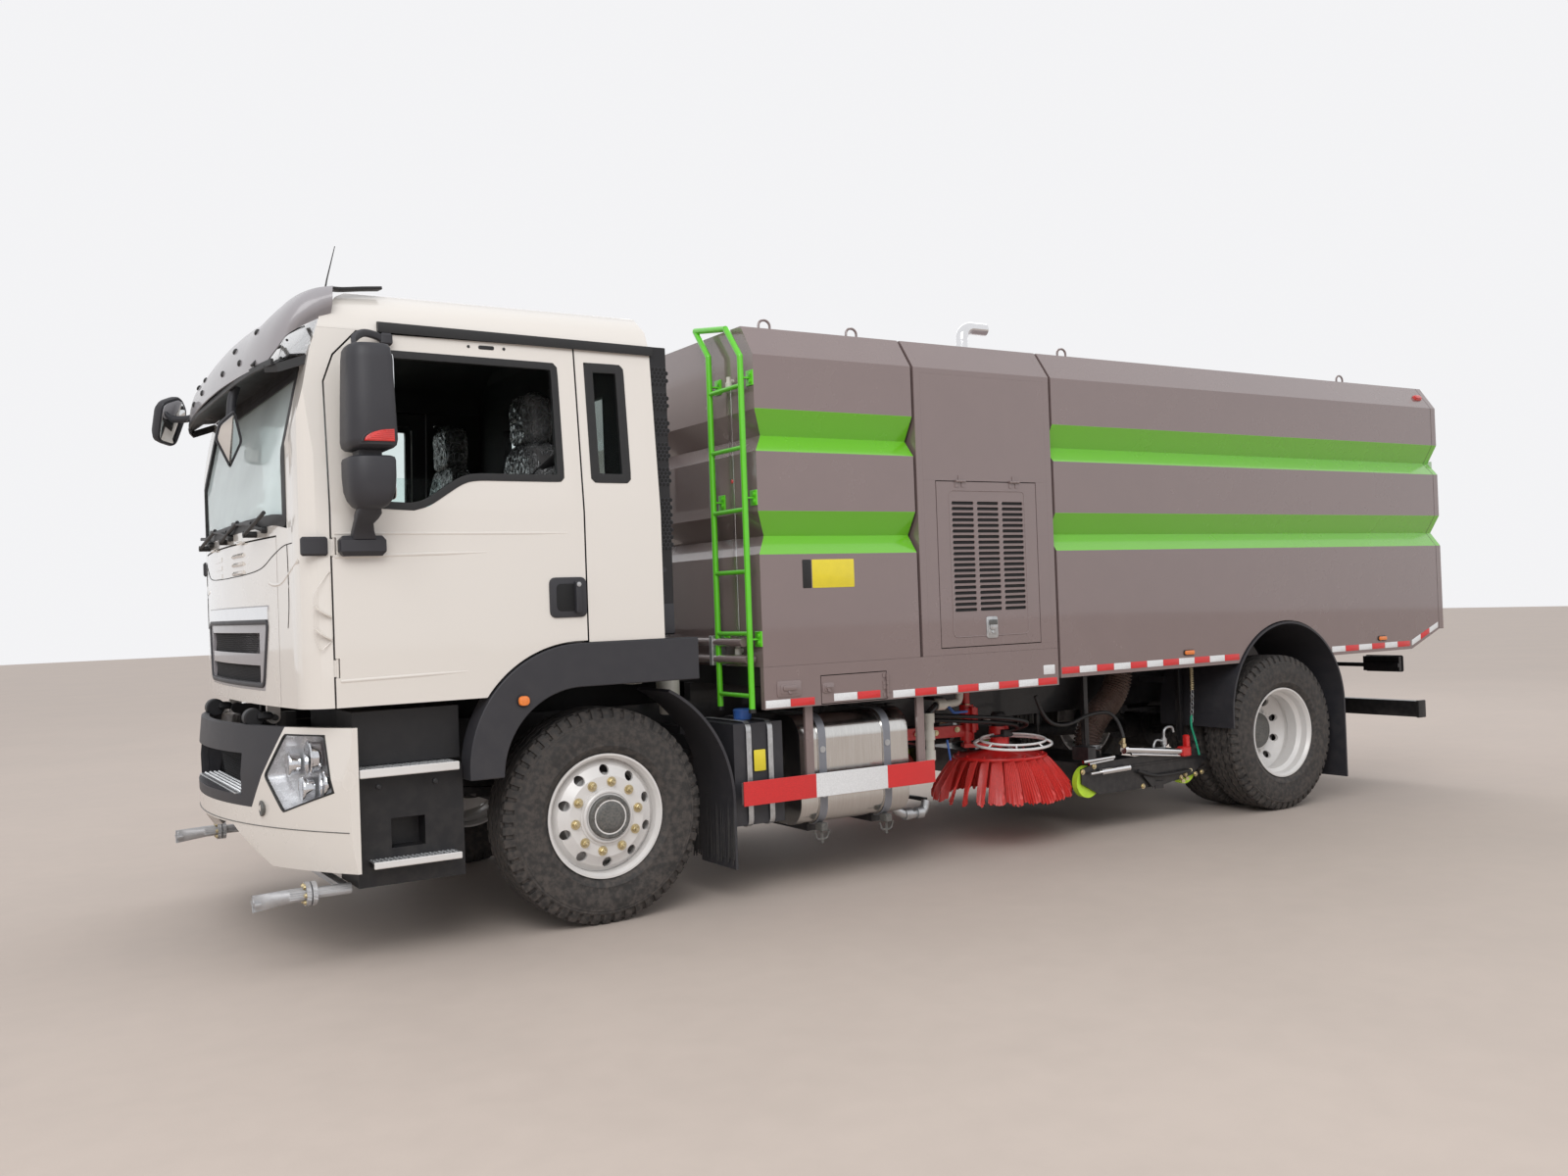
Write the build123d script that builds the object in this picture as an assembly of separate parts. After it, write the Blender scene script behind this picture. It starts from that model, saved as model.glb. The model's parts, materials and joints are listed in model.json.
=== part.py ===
from build123d import *
import math
import os

# Street sweeper truck: two-axle cab-over chassis with a clean-water tank, an auxiliary engine housing,
# a tipping dirt hopper with a rear door, two side brushes and a wide suction nozzle between the axles.
# Lengths are in millimetres. Stations are measured forward of the front axle, and the finished solids
# are moved by body_shift so that the origin lies on the ground under the middle of the whole vehicle.

# Driving dimensions: wheels and axles
wheelbase = 5000.0
tyre_radius = 527.0
tyre_width = 285.0
rim_radius = 303.0
rim_width = 240.0
front_track = 2020.0
rear_track = 1860.0
dual_spacing = 320.0
bolt_circle_radius = 167.5
running_clearance = 0.3
seam = 0.3
kingpin_y = 860.0
kingpin_radius = 22.0
spindle_radius = 38.0
rear_spindle_radius = 50.0
steering_arm = 200.0

# Driving dimensions: frame
rail_outer_y = 430.0
rail_flange = 80.0
rail_wall = 9.0
rail_top = 1000.0
rail_height = 270.0
frame_front = 1300.0
frame_rear = -6600.0
subframe_height = 100.0
bearer_height = 105.0

# Driving dimensions: sweeper body
body_half = 1250.0
body_front = -850.0
tank_rear = -1870.0
housing_front = -1890.0
housing_rear = -2905.0
hopper_front = -2925.0
hopper_rear = -6800.0
sill_bottom = 985.0
hopper_skirt = 1025.0
shoulder_z = 2820.0
roof_z = 2985.0
roof_half = 1136.0
groove_depth = 75.0
groove_heights = [(2540.0, 2410.0, 2320.0), (2010.0, 1885.0, 1785.0)]
body_wall = 45.0
hopper_floor = 95.0
skin = 35.0
rear_door_thickness = 55.0
arch_radius = 600.0
arch_centre_z = 690.0
arch_back = 25.0
hopper_pivot_behind = 1500.0
hopper_pivot_z = 1060.0
hopper_pin_radius = 25.0
hopper_rest_gap = 5.0

# Driving dimensions: cab
cab_half = 1250.0
cab_front = 1500.0
cab_rear = -290.0
cab_bottom = 1150.0
cab_floor = 1210.0
cab_belt = 2000.0
cab_gutter = 2810.0
cab_gutter_half = 1180.0
cab_roof = 3085.0
cab_wall = 50.0
cab_front_radius = 8000.0
cab_corner_radius = 150.0
door_front = 1290.0
door_rear = 120.0
door_gap = 8.0
sill_band_top = 1440.0
cab_pivot_x = 1400.0
cab_pivot_z = 1080.0
bumper_front = 1640.0
bumper_radius = 2200.0
bumper_back = 1208.0
fender_centre = (160.0, 820.0)
fender_radius = 560.0
spray_y = 1100.0
spray_z = 350.0
spray_arm_x = 1240.0
spray_flange_x = 1370.0

# Driving dimensions: sweeping gear
brush_x = -2830.0
brush_y = 780.0
brush_plate_radius = 290.0
brush_tip_radius = 430.0
brush_plate_z = 545.0
brush_tip_z = 250.0
brush_tufts = 24
brush_shaft = 16.0
brush_post_x = -2150.0
brush_post_y = 560.0
brush_lift_x = -2650.0
brush_lift_y = 690.0
nozzle_front = -3450.0
nozzle_rear = -3950.0
nozzle_half = 950.0
nozzle_wheel_radius = 100.0
nozzle_wheel_z = 336.0
nozzle_wheel_stations = (-3365.0, -4250.0)
nozzle_travel = 230.0
brush_travel = 240.0

# Driving dimensions: outer limits that set the origin
front_reach = bumper_front
rear_reach = hopper_rear - rear_door_thickness - 5.0
body_shift = -(front_reach + rear_reach) / 2

rail_bottom = rail_top - rail_height
subframe_top = rail_top + subframe_height
body_floor = subframe_top + bearer_height
hopper_pivot_x = -wheelbase - hopper_pivot_behind
rear_axle = -wheelbase
parts = {}


def box(x0, x1, y0, y1, z0, z1):
    """A block between two corners."""
    return Pos((x0 + x1) / 2, (y0 + y1) / 2, (z0 + z1) / 2) * Box(abs(x1 - x0), abs(y1 - y0), abs(z1 - z0))


def rod_x(y, z, r, x0, x1):
    """A round bar along X."""
    return Pos((x0 + x1) / 2, y, z) * Rot(0, 90, 0) * Cylinder(r, abs(x1 - x0))


def rod_y(x, z, r, y0, y1):
    """A round bar along Y."""
    return Pos(x, (y0 + y1) / 2, z) * Rot(90, 0, 0) * Cylinder(r, abs(y1 - y0))


def rod_z(x, y, r, z0, z1):
    """A round bar along Z."""
    return Pos(x, y, (z0 + z1) / 2) * Cylinder(r, abs(z1 - z0))


def rod_between(a, b, r):
    """A round bar from point a to point b."""
    a, b = Vector(*a), Vector(*b)
    return Plane(origin=(a + b) * 0.5, z_dir=b - a) * Cylinder(r, (b - a).length)


def slab_xz(points, y0, y1):
    """A side-view outline (x, z) made solid from y0 to y1."""
    face = Plane.XZ * make_face(Polyline(*points, close=True))
    return Pos(0, min(y0, y1), 0) * extrude(face, amount=-abs(y1 - y0))


def slab_yz(points, x0, x1):
    """A front-view outline (y, z) made solid from x0 to x1."""
    face = Plane.YZ * make_face(Polyline(*points, close=True))
    return Pos(min(x0, x1), 0, 0) * extrude(face, amount=abs(x1 - x0))


def slab_xy(points, z0, z1):
    """A plan outline (x, y) made solid from z0 to z1."""
    face = make_face(Polyline(*points, close=True))
    return Pos(0, 0, min(z0, z1)) * extrude(face, amount=abs(z1 - z0))


def other_side(shape):
    """The same shape on the right-hand side."""
    return mirror(shape, about=Plane.XZ)


def both_sides(shape):
    """The shape and its mirror image, as separate solids."""
    return [shape, other_side(shape)]


def keep(name, *shapes):
    """Stores a named part made of one or more solids."""
    solids = []
    for shape in shapes:
        if isinstance(shape, (list, tuple)):
            for s in shape:
                solids += s.solids()
        else:
            solids += shape.solids()
    parts[name] = solids


def outer_hinge(length, radius, leaf, out):
    """A barrel hinge with its axis along X, the fixed leaf above and the moving leaf below, both lying
    against a face that is `out` behind the axis. Returns the fixed half and the moving half."""
    third = length / 3
    pin = radius * 0.45
    leaf_thick = 4.0
    fixed = rod_x(0, 0, radius, -third / 2 + 1, third / 2 - 1)
    fixed += box(-third / 2 + 1, third / 2 - 1, -out, -out + leaf_thick, 0, leaf)
    fixed += box(-third / 2 + 1, third / 2 - 1, -out, 0, -radius * 0.35, radius * 0.35)
    fixed += rod_x(0, 0, pin, -length / 2, length / 2)
    moving = None
    for s in (-1, 1):
        a, b = s * third / 2, s * length / 2
        piece = rod_x(0, 0, radius, a, b)
        piece += box(a, b, -out, -out + leaf_thick, -leaf, 0)
        piece += box(a, b, -out, 0, -radius * 0.35, radius * 0.35)
        piece -= rod_x(0, 0, pin + running_clearance, a - s, b + s)
        moving = piece if moving is None else moving + piece
    return fixed, moving


# Wheels: rim rings and discs are turned sections (radius, offset along the axle)
def turned(profile, x, z):
    """A section of (radius, y) turned about the axle line through (x, z)."""
    face = make_face(Polyline(*[(r, y) for r, y in profile], close=True))
    return Pos(x, 0, z) * Rot(0, 0, 0) * revolve(Plane.XY * face, axis=Axis.Y)


def rim_ring(mid):
    """The drop-centre ring of one rim, closed section."""
    half = rim_width / 2
    seat = rim_radius - 19
    well = rim_radius - 41
    wall = 9
    outer = [(rim_radius, half), (rim_radius, half - 8), (seat + 4, half - 16), (seat, half - 58), (well, half - 80)]
    inner = [(well - wall, half - 84), (seat - wall, half - 62), (seat + 4 - wall, half - 20), (rim_radius - 10, half)]
    right = [(r, mid + y) for r, y in outer]
    left = [(r, mid - y) for r, y in reversed(outer)]
    back = [(r, mid - y) for r, y in reversed(inner)]
    front = [(r, mid + y) for r, y in inner]
    return right + left + back + front


def disc_section(face_y, way, edge, tail):
    """The dished disc from the hub bore to the rim; `way` is +1 if it dishes towards the outside, and its
    rim lies between the radii `edge` and `tail`."""
    front = [(141, 0), (196, 0), (245, -28), (edge - 8, -60), (edge, -66)]
    back = [(tail, -82), (tail - 6, -78), (236, -42), (192, -13), (141, -13)]
    return [(r, face_y + way * d) for r, d in front + back]


def hand_holes(shape, x, z, y0, y1, radius):
    """Ten round ventilation holes through a disc."""
    for i in range(10):
        a = math.radians(36 * i + 18)
        shape -= rod_y(x + 224 * math.cos(a), z + 224 * math.sin(a), radius, y0, y1)
    return shape


def tyre(mid, x):
    """One tyre with a flat tread and two-part side walls."""
    half = tyre_width / 2
    section = [(rim_radius - 15, half - 39.5), (395, half), (490, half - 12), (tyre_radius, half - 34)]
    section += [(r, -y) for r, y in reversed(section)]
    return turned([(r, mid + y) for r, y in section], x, tyre_radius)


def front_wheel():
    """Front rim with hub and brake drum, bored for the spindle."""
    mid = front_track / 2
    face = mid + 125
    rim = turned(rim_ring(mid), 0, tyre_radius) + turned(disc_section(face, 1, 273, 262), 0, tyre_radius)
    rim = hand_holes(rim, 0, tyre_radius, face - 90, face + 10, 25)
    hub = rod_y(0, tyre_radius, 141.5, face - 60, face + 6) + rod_y(0, tyre_radius, 98, face + 6, face + 42)
    drum = rod_y(0, tyre_radius, 205, mid - 60, face - 60)
    bore = rod_y(0, tyre_radius, spindle_radius + running_clearance, mid - 80, face + 12)
    return rim + hub + drum - bore


def rear_wheel():
    """Both rear rims of one side on one hub, bored for the spindle."""
    centre = rear_track / 2
    x, z = rear_axle, tyre_radius
    wheel = None
    for way in (1, -1):
        mid = centre + way * dual_spacing / 2
        ring = turned(rim_ring(mid), x, z)
        disc = turned([(r, centre - way * (y - centre)) for r, y in disc_section(centre, 1, 281, 281)], x, z)
        piece = ring + disc
        wheel = piece if wheel is None else wheel + piece
    wheel = hand_holes(wheel, x, z, centre - 90, centre + 90, 25)
    wheel += rod_y(x, z, 141.5, centre - 120, centre + 30) + rod_y(x, z, 118, centre + 30, centre + 75)
    wheel += rod_y(x, z, 205, centre - 250, centre - 110)
    return wheel - rod_y(x, z, rear_spindle_radius + running_clearance, centre - 260, centre + 42)


for side, flip in (("left", False), ("right", True)):
    turn = other_side if flip else (lambda s: s)
    keep(f"wheel_front_{side}", turn(front_wheel()))
    keep(f"tyre_front_{side}", turn(tyre(front_track / 2, 0)))
    keep(f"wheels_rear_{side}", turn(rear_wheel()))
    pair = [turn(tyre(rear_track / 2 + s * dual_spacing / 2, rear_axle)) for s in (1, -1)]
    keep(f"tyres_rear_{side}", pair)

# Front axle beam with kingpin bosses, and the knuckles that turn on them
boss_low, boss_high = tyre_radius - 90, tyre_radius + 90
beam = box(-45, 45, -kingpin_y, kingpin_y, 445, 525)
for s in (1, -1):
    beam += rod_z(0, s * kingpin_y, 40, boss_low, boss_high)
    beam += box(-60, 60, s * 385, s * 490, 525, 560)
for s in (1, -1):
    beam -= rod_z(0, s * kingpin_y, kingpin_radius + running_clearance, boss_low - 5, boss_high + 5)

knuckle = rod_z(0, kingpin_y, kingpin_radius, boss_low - 26, boss_high + 26)
for z0, z1 in ((boss_low - 28, boss_low - 3), (boss_high + 3, boss_high + 28)):
    knuckle += rod_z(0, kingpin_y, 40, z0, z1) + box(-40, 40, kingpin_y, kingpin_y + 68, z0, z1)
knuckle += box(-40, 40, kingpin_y + 50, kingpin_y + 68, boss_low - 28, boss_high + 28)
knuckle += rod_y(0, tyre_radius, 90, kingpin_y + 50, kingpin_y + 78)
knuckle += rod_y(0, tyre_radius, spindle_radius, kingpin_y + 60, front_track / 2 + 125)
arm_low = boss_low - 28
knuckle += box(-steering_arm, 0, kingpin_y - 22, kingpin_y + 22, arm_low, arm_low + 22)
knuckle += rod_z(-steering_arm, kingpin_y, 12, arm_low - 50, arm_low + 22)
keep("knuckle_left", knuckle)
keep("knuckle_right", other_side(knuckle))

tie_rod_z = arm_low - 26
tie_rod = rod_y(-steering_arm, tie_rod_z, 18, -kingpin_y, kingpin_y)
for s in (1, -1):
    tie_rod += rod_z(-steering_arm, s * kingpin_y, 28, tie_rod_z - 24, tie_rod_z + 24)
for s in (1, -1):
    tie_rod -= rod_z(-steering_arm, s * kingpin_y, 12 + running_clearance, tie_rod_z - 30, tie_rod_z + 30)
keep("tie_rod", tie_rod)

# Rear axle: banjo housing, tubes and spindles, with the propeller shaft in front of it
housing = rod_y(rear_axle, tyre_radius, 78, -600, 600)
housing += Pos(rear_axle, 0, tyre_radius) * Rot(90, 0, 0) * Cylinder(190, 230)
housing += rod_x(0, tyre_radius, 95, rear_axle, rear_axle + 330)
for s in (1, -1):
    housing += rod_y(rear_axle, tyre_radius, rear_spindle_radius, s * 600, s * (rear_track / 2 + 30))
    housing += rod_y(rear_axle, tyre_radius, 150, s * 600, s * 625)
    housing += box(rear_axle - 60, rear_axle + 60, s * 385, s * 490, tyre_radius, tyre_radius + 105)
shaft_end_x, shaft_end_z = -420.0, 700.0
pinion_nose = rear_axle + 330
shaft = rod_between((pinion_nose - 10, 0, tyre_radius), (shaft_end_x - 5, 0, shaft_end_z), 48)
shaft -= box(rear_axle, pinion_nose + seam, -120, 120, 300, 800)


def leaf_spring(x, seat_z, reach, rise, side):
    """Stacked leaves with an eye at each end, held by two hangers on the frame rail."""
    y0, y1 = side * 395, side * 475
    leaf = 16
    pack = None
    for i in range(4):
        length = reach * (1 - 0.22 * i)
        top = seat_z + leaf * (4 - i)
        bend = rise * (length / reach) ** 2
        upper = [(x - length, top + bend), (x, top), (x + length, top + bend)]
        lower = [(a, b - leaf) for a, b in reversed(upper)]
        outline = [upper[0], *upper[1:], *lower]
        arc_top = ThreePointArc(*[(a, b) for a, b in upper])
        arc_low = ThreePointArc(*[(a, b) for a, b in lower])
        ends = Line(outline[2], outline[3]) + Line(outline[5], outline[0])
        face = Plane.XZ * make_face(arc_top + arc_low + ends)
        piece = Pos(0, min(y0, y1), 0) * extrude(face, amount=-abs(y1 - y0))
        pack = piece if pack is None else pack + piece
    eye_z = seat_z + leaf * 3.5 + rise
    for s in (1, -1):
        pack += rod_y(x + s * reach, eye_z, 24, y0, y1)
        pack += box(x + s * reach - 45, x + s * reach + 45, y0, y1, eye_z, rail_bottom)
    return pack


for side in (1, -1):
    beam += leaf_spring(0, 560, 760, 70, side)
    housing += leaf_spring(rear_axle, tyre_radius + 105, 760, 10, side)
keep("axles", beam, housing, shaft)

# Chassis frame: channel rails, cross members, subframe, body bearers and brackets, each a member of its own
rail_inner_y = rail_outer_y - rail_flange
channel = [(rail_inner_y, rail_bottom), (rail_outer_y, rail_bottom), (rail_outer_y, rail_top), (rail_inner_y, rail_top),
           (rail_inner_y, rail_top - rail_wall), (rail_outer_y - rail_wall, rail_top - rail_wall),
           (rail_outer_y - rail_wall, rail_bottom + rail_wall), (rail_inner_y, rail_bottom + rail_wall)]
rail = slab_yz(channel, frame_rear, frame_front)
frame = [rail, other_side(rail)]
web_y = rail_outer_y - rail_wall
cross_stations = (1200.0, -520.0, -1500.0, -2500.0, -3300.0, -4400.0, -5620.0, -6480.0)
member = [(-45, 0), (45, 0), (45, 150), (35, 150), (35, 10), (-35, 10), (-35, 150), (-45, 150)]
for x in cross_stations:
    outline = [(x + a, rail_bottom + 40 + b) for a, b in member]
    frame.append(slab_xz(outline, seam - web_y, web_y - seam))
subframe_front = body_front
subframe_rear = hopper_pivot_x + 120
for s in (1, -1):
    frame.append(box(subframe_rear, subframe_front, s * (rail_outer_y - 60), s * (rail_outer_y + 10), rail_top + seam, subframe_top))
    lug = box(hopper_pivot_x - 55, hopper_pivot_x + 55, s * 370, s * 430, rail_top + seam, hopper_pivot_z)
    lug += rod_y(hopper_pivot_x, hopper_pivot_z, 55, s * 370, s * 430)
    frame.append(lug + rod_y(hopper_pivot_x, hopper_pivot_z, hopper_pin_radius, s * 370, s * 490))
bearer_stations = (body_front - 60, tank_rear + 60, housing_front - 60, housing_rear + 60)
for x in bearer_stations:
    frame.append(box(x - 30, x + 30, -body_half + skin, body_half - skin, subframe_top + seam, body_floor))
cab_pivot_half = 520.0
bracket_y = rail_outer_y + seam
for s in (1, -1):
    post = box(cab_pivot_x - 110, cab_pivot_x - 20, s * bracket_y, s * (rail_outer_y + 30), 880, cab_pivot_z + 10)
    post += box(frame_front - 120, frame_front, s * bracket_y, s * (rail_outer_y + 30), 880, 960)
    post += box(cab_pivot_x - 110, cab_pivot_x, s * bracket_y, s * (rail_outer_y + 30), cab_pivot_z - 30, cab_pivot_z + 20)
    post += rod_y(cab_pivot_x, cab_pivot_z, 28, s * bracket_y, s * (rail_outer_y + 30))
    frame.append(post + rod_y(cab_pivot_x, cab_pivot_z, 14, s * bracket_y, s * (cab_pivot_half + 20)))
tow_x, tow_hole = -6615.0, 20.0
frame.append(box(tow_x - 40, cross_stations[-1] - 45 - seam, -60, 60, 820, 850) - rod_z(tow_x, 0, tow_hole, 800, 900))

# Plain heavy masses: road engine with gearbox, and the auxiliary engine inside the housing
engine = box(-120, 1050, -330, 330, 600, 1120) + box(-380, -120, -200, 200, 640, 940)
engine += rod_x(0, shaft_end_z, 60, shaft_end_x, -380)
for x in (650, -60):
    engine += box(x, x + 100, -web_y, web_y, 760, 840)
aux = box(housing_front - 180, housing_rear + 160, -620, 620, body_floor, 2050)
for s in (1, -1):
    aux += box(housing_front - 180, housing_rear + 160, s * (rail_outer_y - 60), s * rail_outer_y, subframe_top, body_floor)
keep("engine_blocks", engine, aux)
pipe_x, pipe_y, pipe_radius = -2700.0, 720.0, 38.0
stack_top = 3205.0
stack_path = FilletPolyline((pipe_x, pipe_y, roof_z), (pipe_x, pipe_y, stack_top), (pipe_x - 190, pipe_y, stack_top), radius=75)
stack = sweep(Plane(origin=(pipe_x, pipe_y, roof_z), z_dir=(0, 0, 1)) * Circle(pipe_radius), path=stack_path)
bore_path = FilletPolyline((pipe_x, pipe_y, roof_z + 20), (pipe_x, pipe_y, stack_top), (pipe_x - 200, pipe_y, stack_top), radius=75)
stack_bore = sweep(Plane(origin=(pipe_x, pipe_y, roof_z + 20), z_dir=(0, 0, 1)) * Circle(pipe_radius - 3), path=bore_path)
keep("exhaust_stack", stack - stack_bore)


# Sweeper body sections (y, z): straight sides with two V grooves and a chamfered shoulder
def body_outline(inset, bottom, grooves=True):
    side = [(body_half - inset, bottom)]
    if grooves:
        for top, middle, low in sorted(groove_heights):
            side += [(body_half - inset, low), (body_half - groove_depth - inset, middle), (body_half - inset, top)]
    side += [(body_half - inset, shoulder_z - inset * 0.4), (roof_half - inset * 0.6, roof_z - inset)]
    return side + [(-y, z) for y, z in reversed(side)]


tank = slab_yz(body_outline(0, body_floor), tank_rear, body_front)
for top, middle, low in groove_heights:
    tank -= slab_xz([(body_front + 1, low), (body_front - groove_depth, middle), (body_front + 1, top)], -1300, 1300)
keep("water_tank", tank)

# Auxiliary engine housing with a top-hung louvred door in each side
door_x0, door_x1 = -2771.0, -2025.0
door_z0, door_z1 = 1247.0, 2184.0
panel_gap = 5.0
shell = slab_yz(body_outline(0, body_floor, False), housing_rear, housing_front)
shell -= slab_yz(body_outline(body_wall, body_floor - 10, False), housing_rear + body_wall, housing_front - body_wall)
wall_y = body_half - body_wall
bay_rear, bay_front = housing_rear + body_wall, housing_front - body_wall
sill_seam, head_seam, roof_seam = door_z0 - panel_gap, door_z1 + panel_gap, 2790.0
for s in (1, -1):
    shell += box(bay_rear + seam, bay_front - seam, s * 660, s * (wall_y - seam), body_floor, body_floor + 20)
    shell -= box(door_x0 - panel_gap, door_x1 + panel_gap, s * 1100, s * 1300, sill_seam, head_seam)
    for z in (sill_seam - seam, head_seam, roof_seam):
        shell -= box(bay_rear, bay_front, s * 1100, s * body_half, z, z + seam)
    shell -= box(bay_rear, bay_front, s * 1090, s * (1090 + seam), 2900, roof_z + 10)
for x in (bay_rear, bay_front - seam):
    shell -= box(x, x + seam, -1300, 1300, body_floor - 10, roof_z + 10)
louvre = box(door_x0, door_x1, body_half - 30, body_half, door_z0, door_z1)
slat_rows, slat_columns = 20, 3
field_x, field_z = 560.0, 640.0
slot_w, slot_h = field_x / slat_columns - 26, field_z / slat_rows * 0.55
for i in range(slat_columns):
    for k in range(slat_rows):
        cx = (door_x0 + door_x1) / 2 + (i - 1) * field_x / slat_columns
        cz = door_z1 - 105 - (k + 0.5) * field_z / slat_rows
        louvre -= box(cx - slot_w / 2, cx + slot_w / 2, body_half - 40, body_half + 10, cz - slot_h / 2, cz + slot_h / 2)
hinge_out = 9.0
louvre_axis = (body_half + hinge_out, door_z1 + panel_gap / 2)
for cx in (door_x0 + 170, door_x1 - 170):
    fixed, moving = outer_hinge(72, 7, 34, hinge_out)
    shell += Pos(cx, louvre_axis[0], louvre_axis[1]) * fixed
    shell += other_side(Pos(cx, louvre_axis[0], louvre_axis[1]) * fixed)
    louvre += Pos(cx, louvre_axis[0], louvre_axis[1]) * moving
keep("engine_housing", shell)
keep("louvre_door_left", louvre)
keep("louvre_door_right", other_side(louvre))

# Lower sill of the front body, with the filler flap in the left one
flap_x0, flap_x1, flap_z0, flap_z1 = -1628.0, -1204.0, sill_bottom + 8, 1138.0
sill = box(housing_rear, body_front, body_half - skin, body_half, sill_bottom, body_floor - 1)
sill_right = other_side(sill)
sill -= box(flap_x0 - panel_gap, flap_x1 + panel_gap, body_half - 100, body_half + 10, flap_z0 - panel_gap, flap_z1 + panel_gap)
flap = box(flap_x0, flap_x1, body_half - 25, body_half, flap_z0, flap_z1)
flap_axis = (flap_x0 - panel_gap / 2, body_half + hinge_out)
for cz in (flap_z0 + 40, flap_z1 - 40):
    fixed, moving = outer_hinge(60, 7, 26, hinge_out)
    place = Pos(flap_axis[0], flap_axis[1], cz) * Rot(0, -90, 0)
    sill += place * fixed
    flap += place * moving
keep("body_sills", sill, sill_right)
keep("filler_flap", flap)

# Tipping hopper: hollow, open at the rear, with side skirts and wheel arches
hopper = slab_yz(body_outline(0, body_floor), hopper_rear, hopper_front)
cavity = slab_yz(body_outline(body_wall, body_floor + hopper_floor), hopper_rear - 10, hopper_front - body_wall)
hopper -= cavity
skirt_line = [(hopper_front, hopper_skirt), (hopper_pivot_x + 50, hopper_skirt), (hopper_rear, hopper_skirt + 133),
              (hopper_rear, body_floor), (hopper_front, body_floor)]
for s in (1, -1):
    hopper += slab_xz(skirt_line, s * (body_half - skin), s * body_half)
arch_x = rear_axle - arch_back
for s in (1, -1):
    hopper -= rod_y(arch_x, arch_centre_z, arch_radius, s * 620, s * 1300)
    hopper += box(hopper_pivot_x + 130, hopper_front, s * (rail_outer_y - 60), s * (rail_outer_y + 10), subframe_top + hopper_rest_gap, body_floor)
    lug = box(hopper_pivot_x - 50, hopper_pivot_x + 50, s * 447, s * 477, hopper_pivot_z, body_floor)
    lug += rod_y(hopper_pivot_x, hopper_pivot_z, 50, s * 447, s * 477)
    hopper += lug - rod_y(hopper_pivot_x, hopper_pivot_z, hopper_pin_radius + running_clearance, s * 440, s * 490)
cylinder_y = 270.0
ram_eye = (hopper_pivot_x + 1000, hopper_pivot_z + 90)
ram_base = (-4510.0, 900.0)
for s in (1, -1):
    for dy in (-46, 46):
        ear = box(ram_eye[0] - 35, ram_eye[0] + 35, s * cylinder_y + dy - 6, s * cylinder_y + dy + 6, ram_eye[1] - 35, body_floor)
        hopper += ear
door_pin = (hopper_rear + 42, roof_z + 30)
door_lug_y = 620.0
for s in (1, -1):
    hopper += box(door_pin[0] - 30, door_pin[0] + 60, s * door_lug_y - 8, s * door_lug_y + 8, roof_z - 1, door_pin[1] + 22)
    hopper += rod_y(door_pin[0], door_pin[1], 12, s * door_lug_y - 40, s * door_lug_y + 40)
keep("hopper", hopper)

rear_door = slab_yz(body_outline(0, hopper_skirt + 135), hopper_rear - rear_door_thickness - 5, hopper_rear - 5)
for s in (1, -1):
    for dy in (-25, 25):
        y0, y1 = s * door_lug_y + dy - 8, s * door_lug_y + dy + 8
        arm = slab_xz([(hopper_rear - 60, roof_z - 60), (hopper_rear - 5, roof_z - 60), (hopper_rear - 5, roof_z + 6),
                       (door_pin[0], roof_z + 6), (door_pin[0], door_pin[1] + 24), (hopper_rear - 60, door_pin[1] + 24)], y0, y1)
        arm += rod_y(door_pin[0], door_pin[1], 24, y0, y1)
        rear_door += arm - rod_y(door_pin[0], door_pin[1], 12 + running_clearance, y0 - 5, y1 + 5)
keep("rear_door", rear_door)

# Tipping rams: barrel on the frame, rod towards the hopper, one pair acting together
ram_dx, ram_dz = ram_eye[0] - ram_base[0], ram_eye[1] - ram_base[1]
ram_length = math.hypot(ram_dx, ram_dz)
ram_dir = (ram_dx / ram_length, ram_dz / ram_length)


def ram_point(distance, y):
    return (ram_base[0] + ram_dir[0] * distance, y, ram_base[1] + ram_dir[1] * distance)


barrels, rods = [], []
for s in (1, -1):
    y = s * cylinder_y
    barrel = rod_between(ram_point(75, y), ram_point(920, y), 52) + rod_y(ram_base[0], ram_base[1], 50, y - 25, y + 25)
    barrel += rod_between(ram_point(0, y), ram_point(80, y), 22)
    barrel -= rod_between(ram_point(120, y), ram_point(930, y), 32 + running_clearance)
    barrel -= rod_y(ram_base[0], ram_base[1], 20 + running_clearance, y - 40, y + 40)
    barrels.append(barrel)
    rods.append(rod_between(ram_point(130, y), ram_point(ram_length - 50, y), 32)
                + rod_between(ram_point(ram_length - 55, y), ram_point(ram_length, y), 20)
                + rod_y(ram_eye[0], ram_eye[1], 34, y - 34, y + 34))
    fork = rod_y(ram_base[0], ram_base[1], 20, y - 48, y + 48)
    for dy in (-40, 40):
        fork += box(ram_base[0] - 45, cross_stations[5] - 45 - seam, y + dy - 8, y + dy + 8, rail_bottom + 60, ram_base[1] + 40)
    frame.append(fork)
keep("tipping_barrels", barrels)
keep("tipping_rods", rods)


# Cab: the common part of a side view, a plan and a front view, at any inset from the outer surface
cab_side_view = [(cab_front, cab_bottom), (cab_front, 1985), (1345, 2700), (1290, 2860), (1200, 2962), (1080, 3030),
                 (-130, cab_roof), (-210, 3048), (cab_rear + 20, 2985), (cab_rear, 2900), (cab_rear, cab_bottom)]
cab_front_view = [(cab_half, cab_bottom - 5), (cab_half, cab_belt), (cab_gutter_half, cab_gutter), (1138, 2908), (1060, 2985),
                  (880, 3032), (700, cab_roof - 25), (0, cab_roof)]


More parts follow.
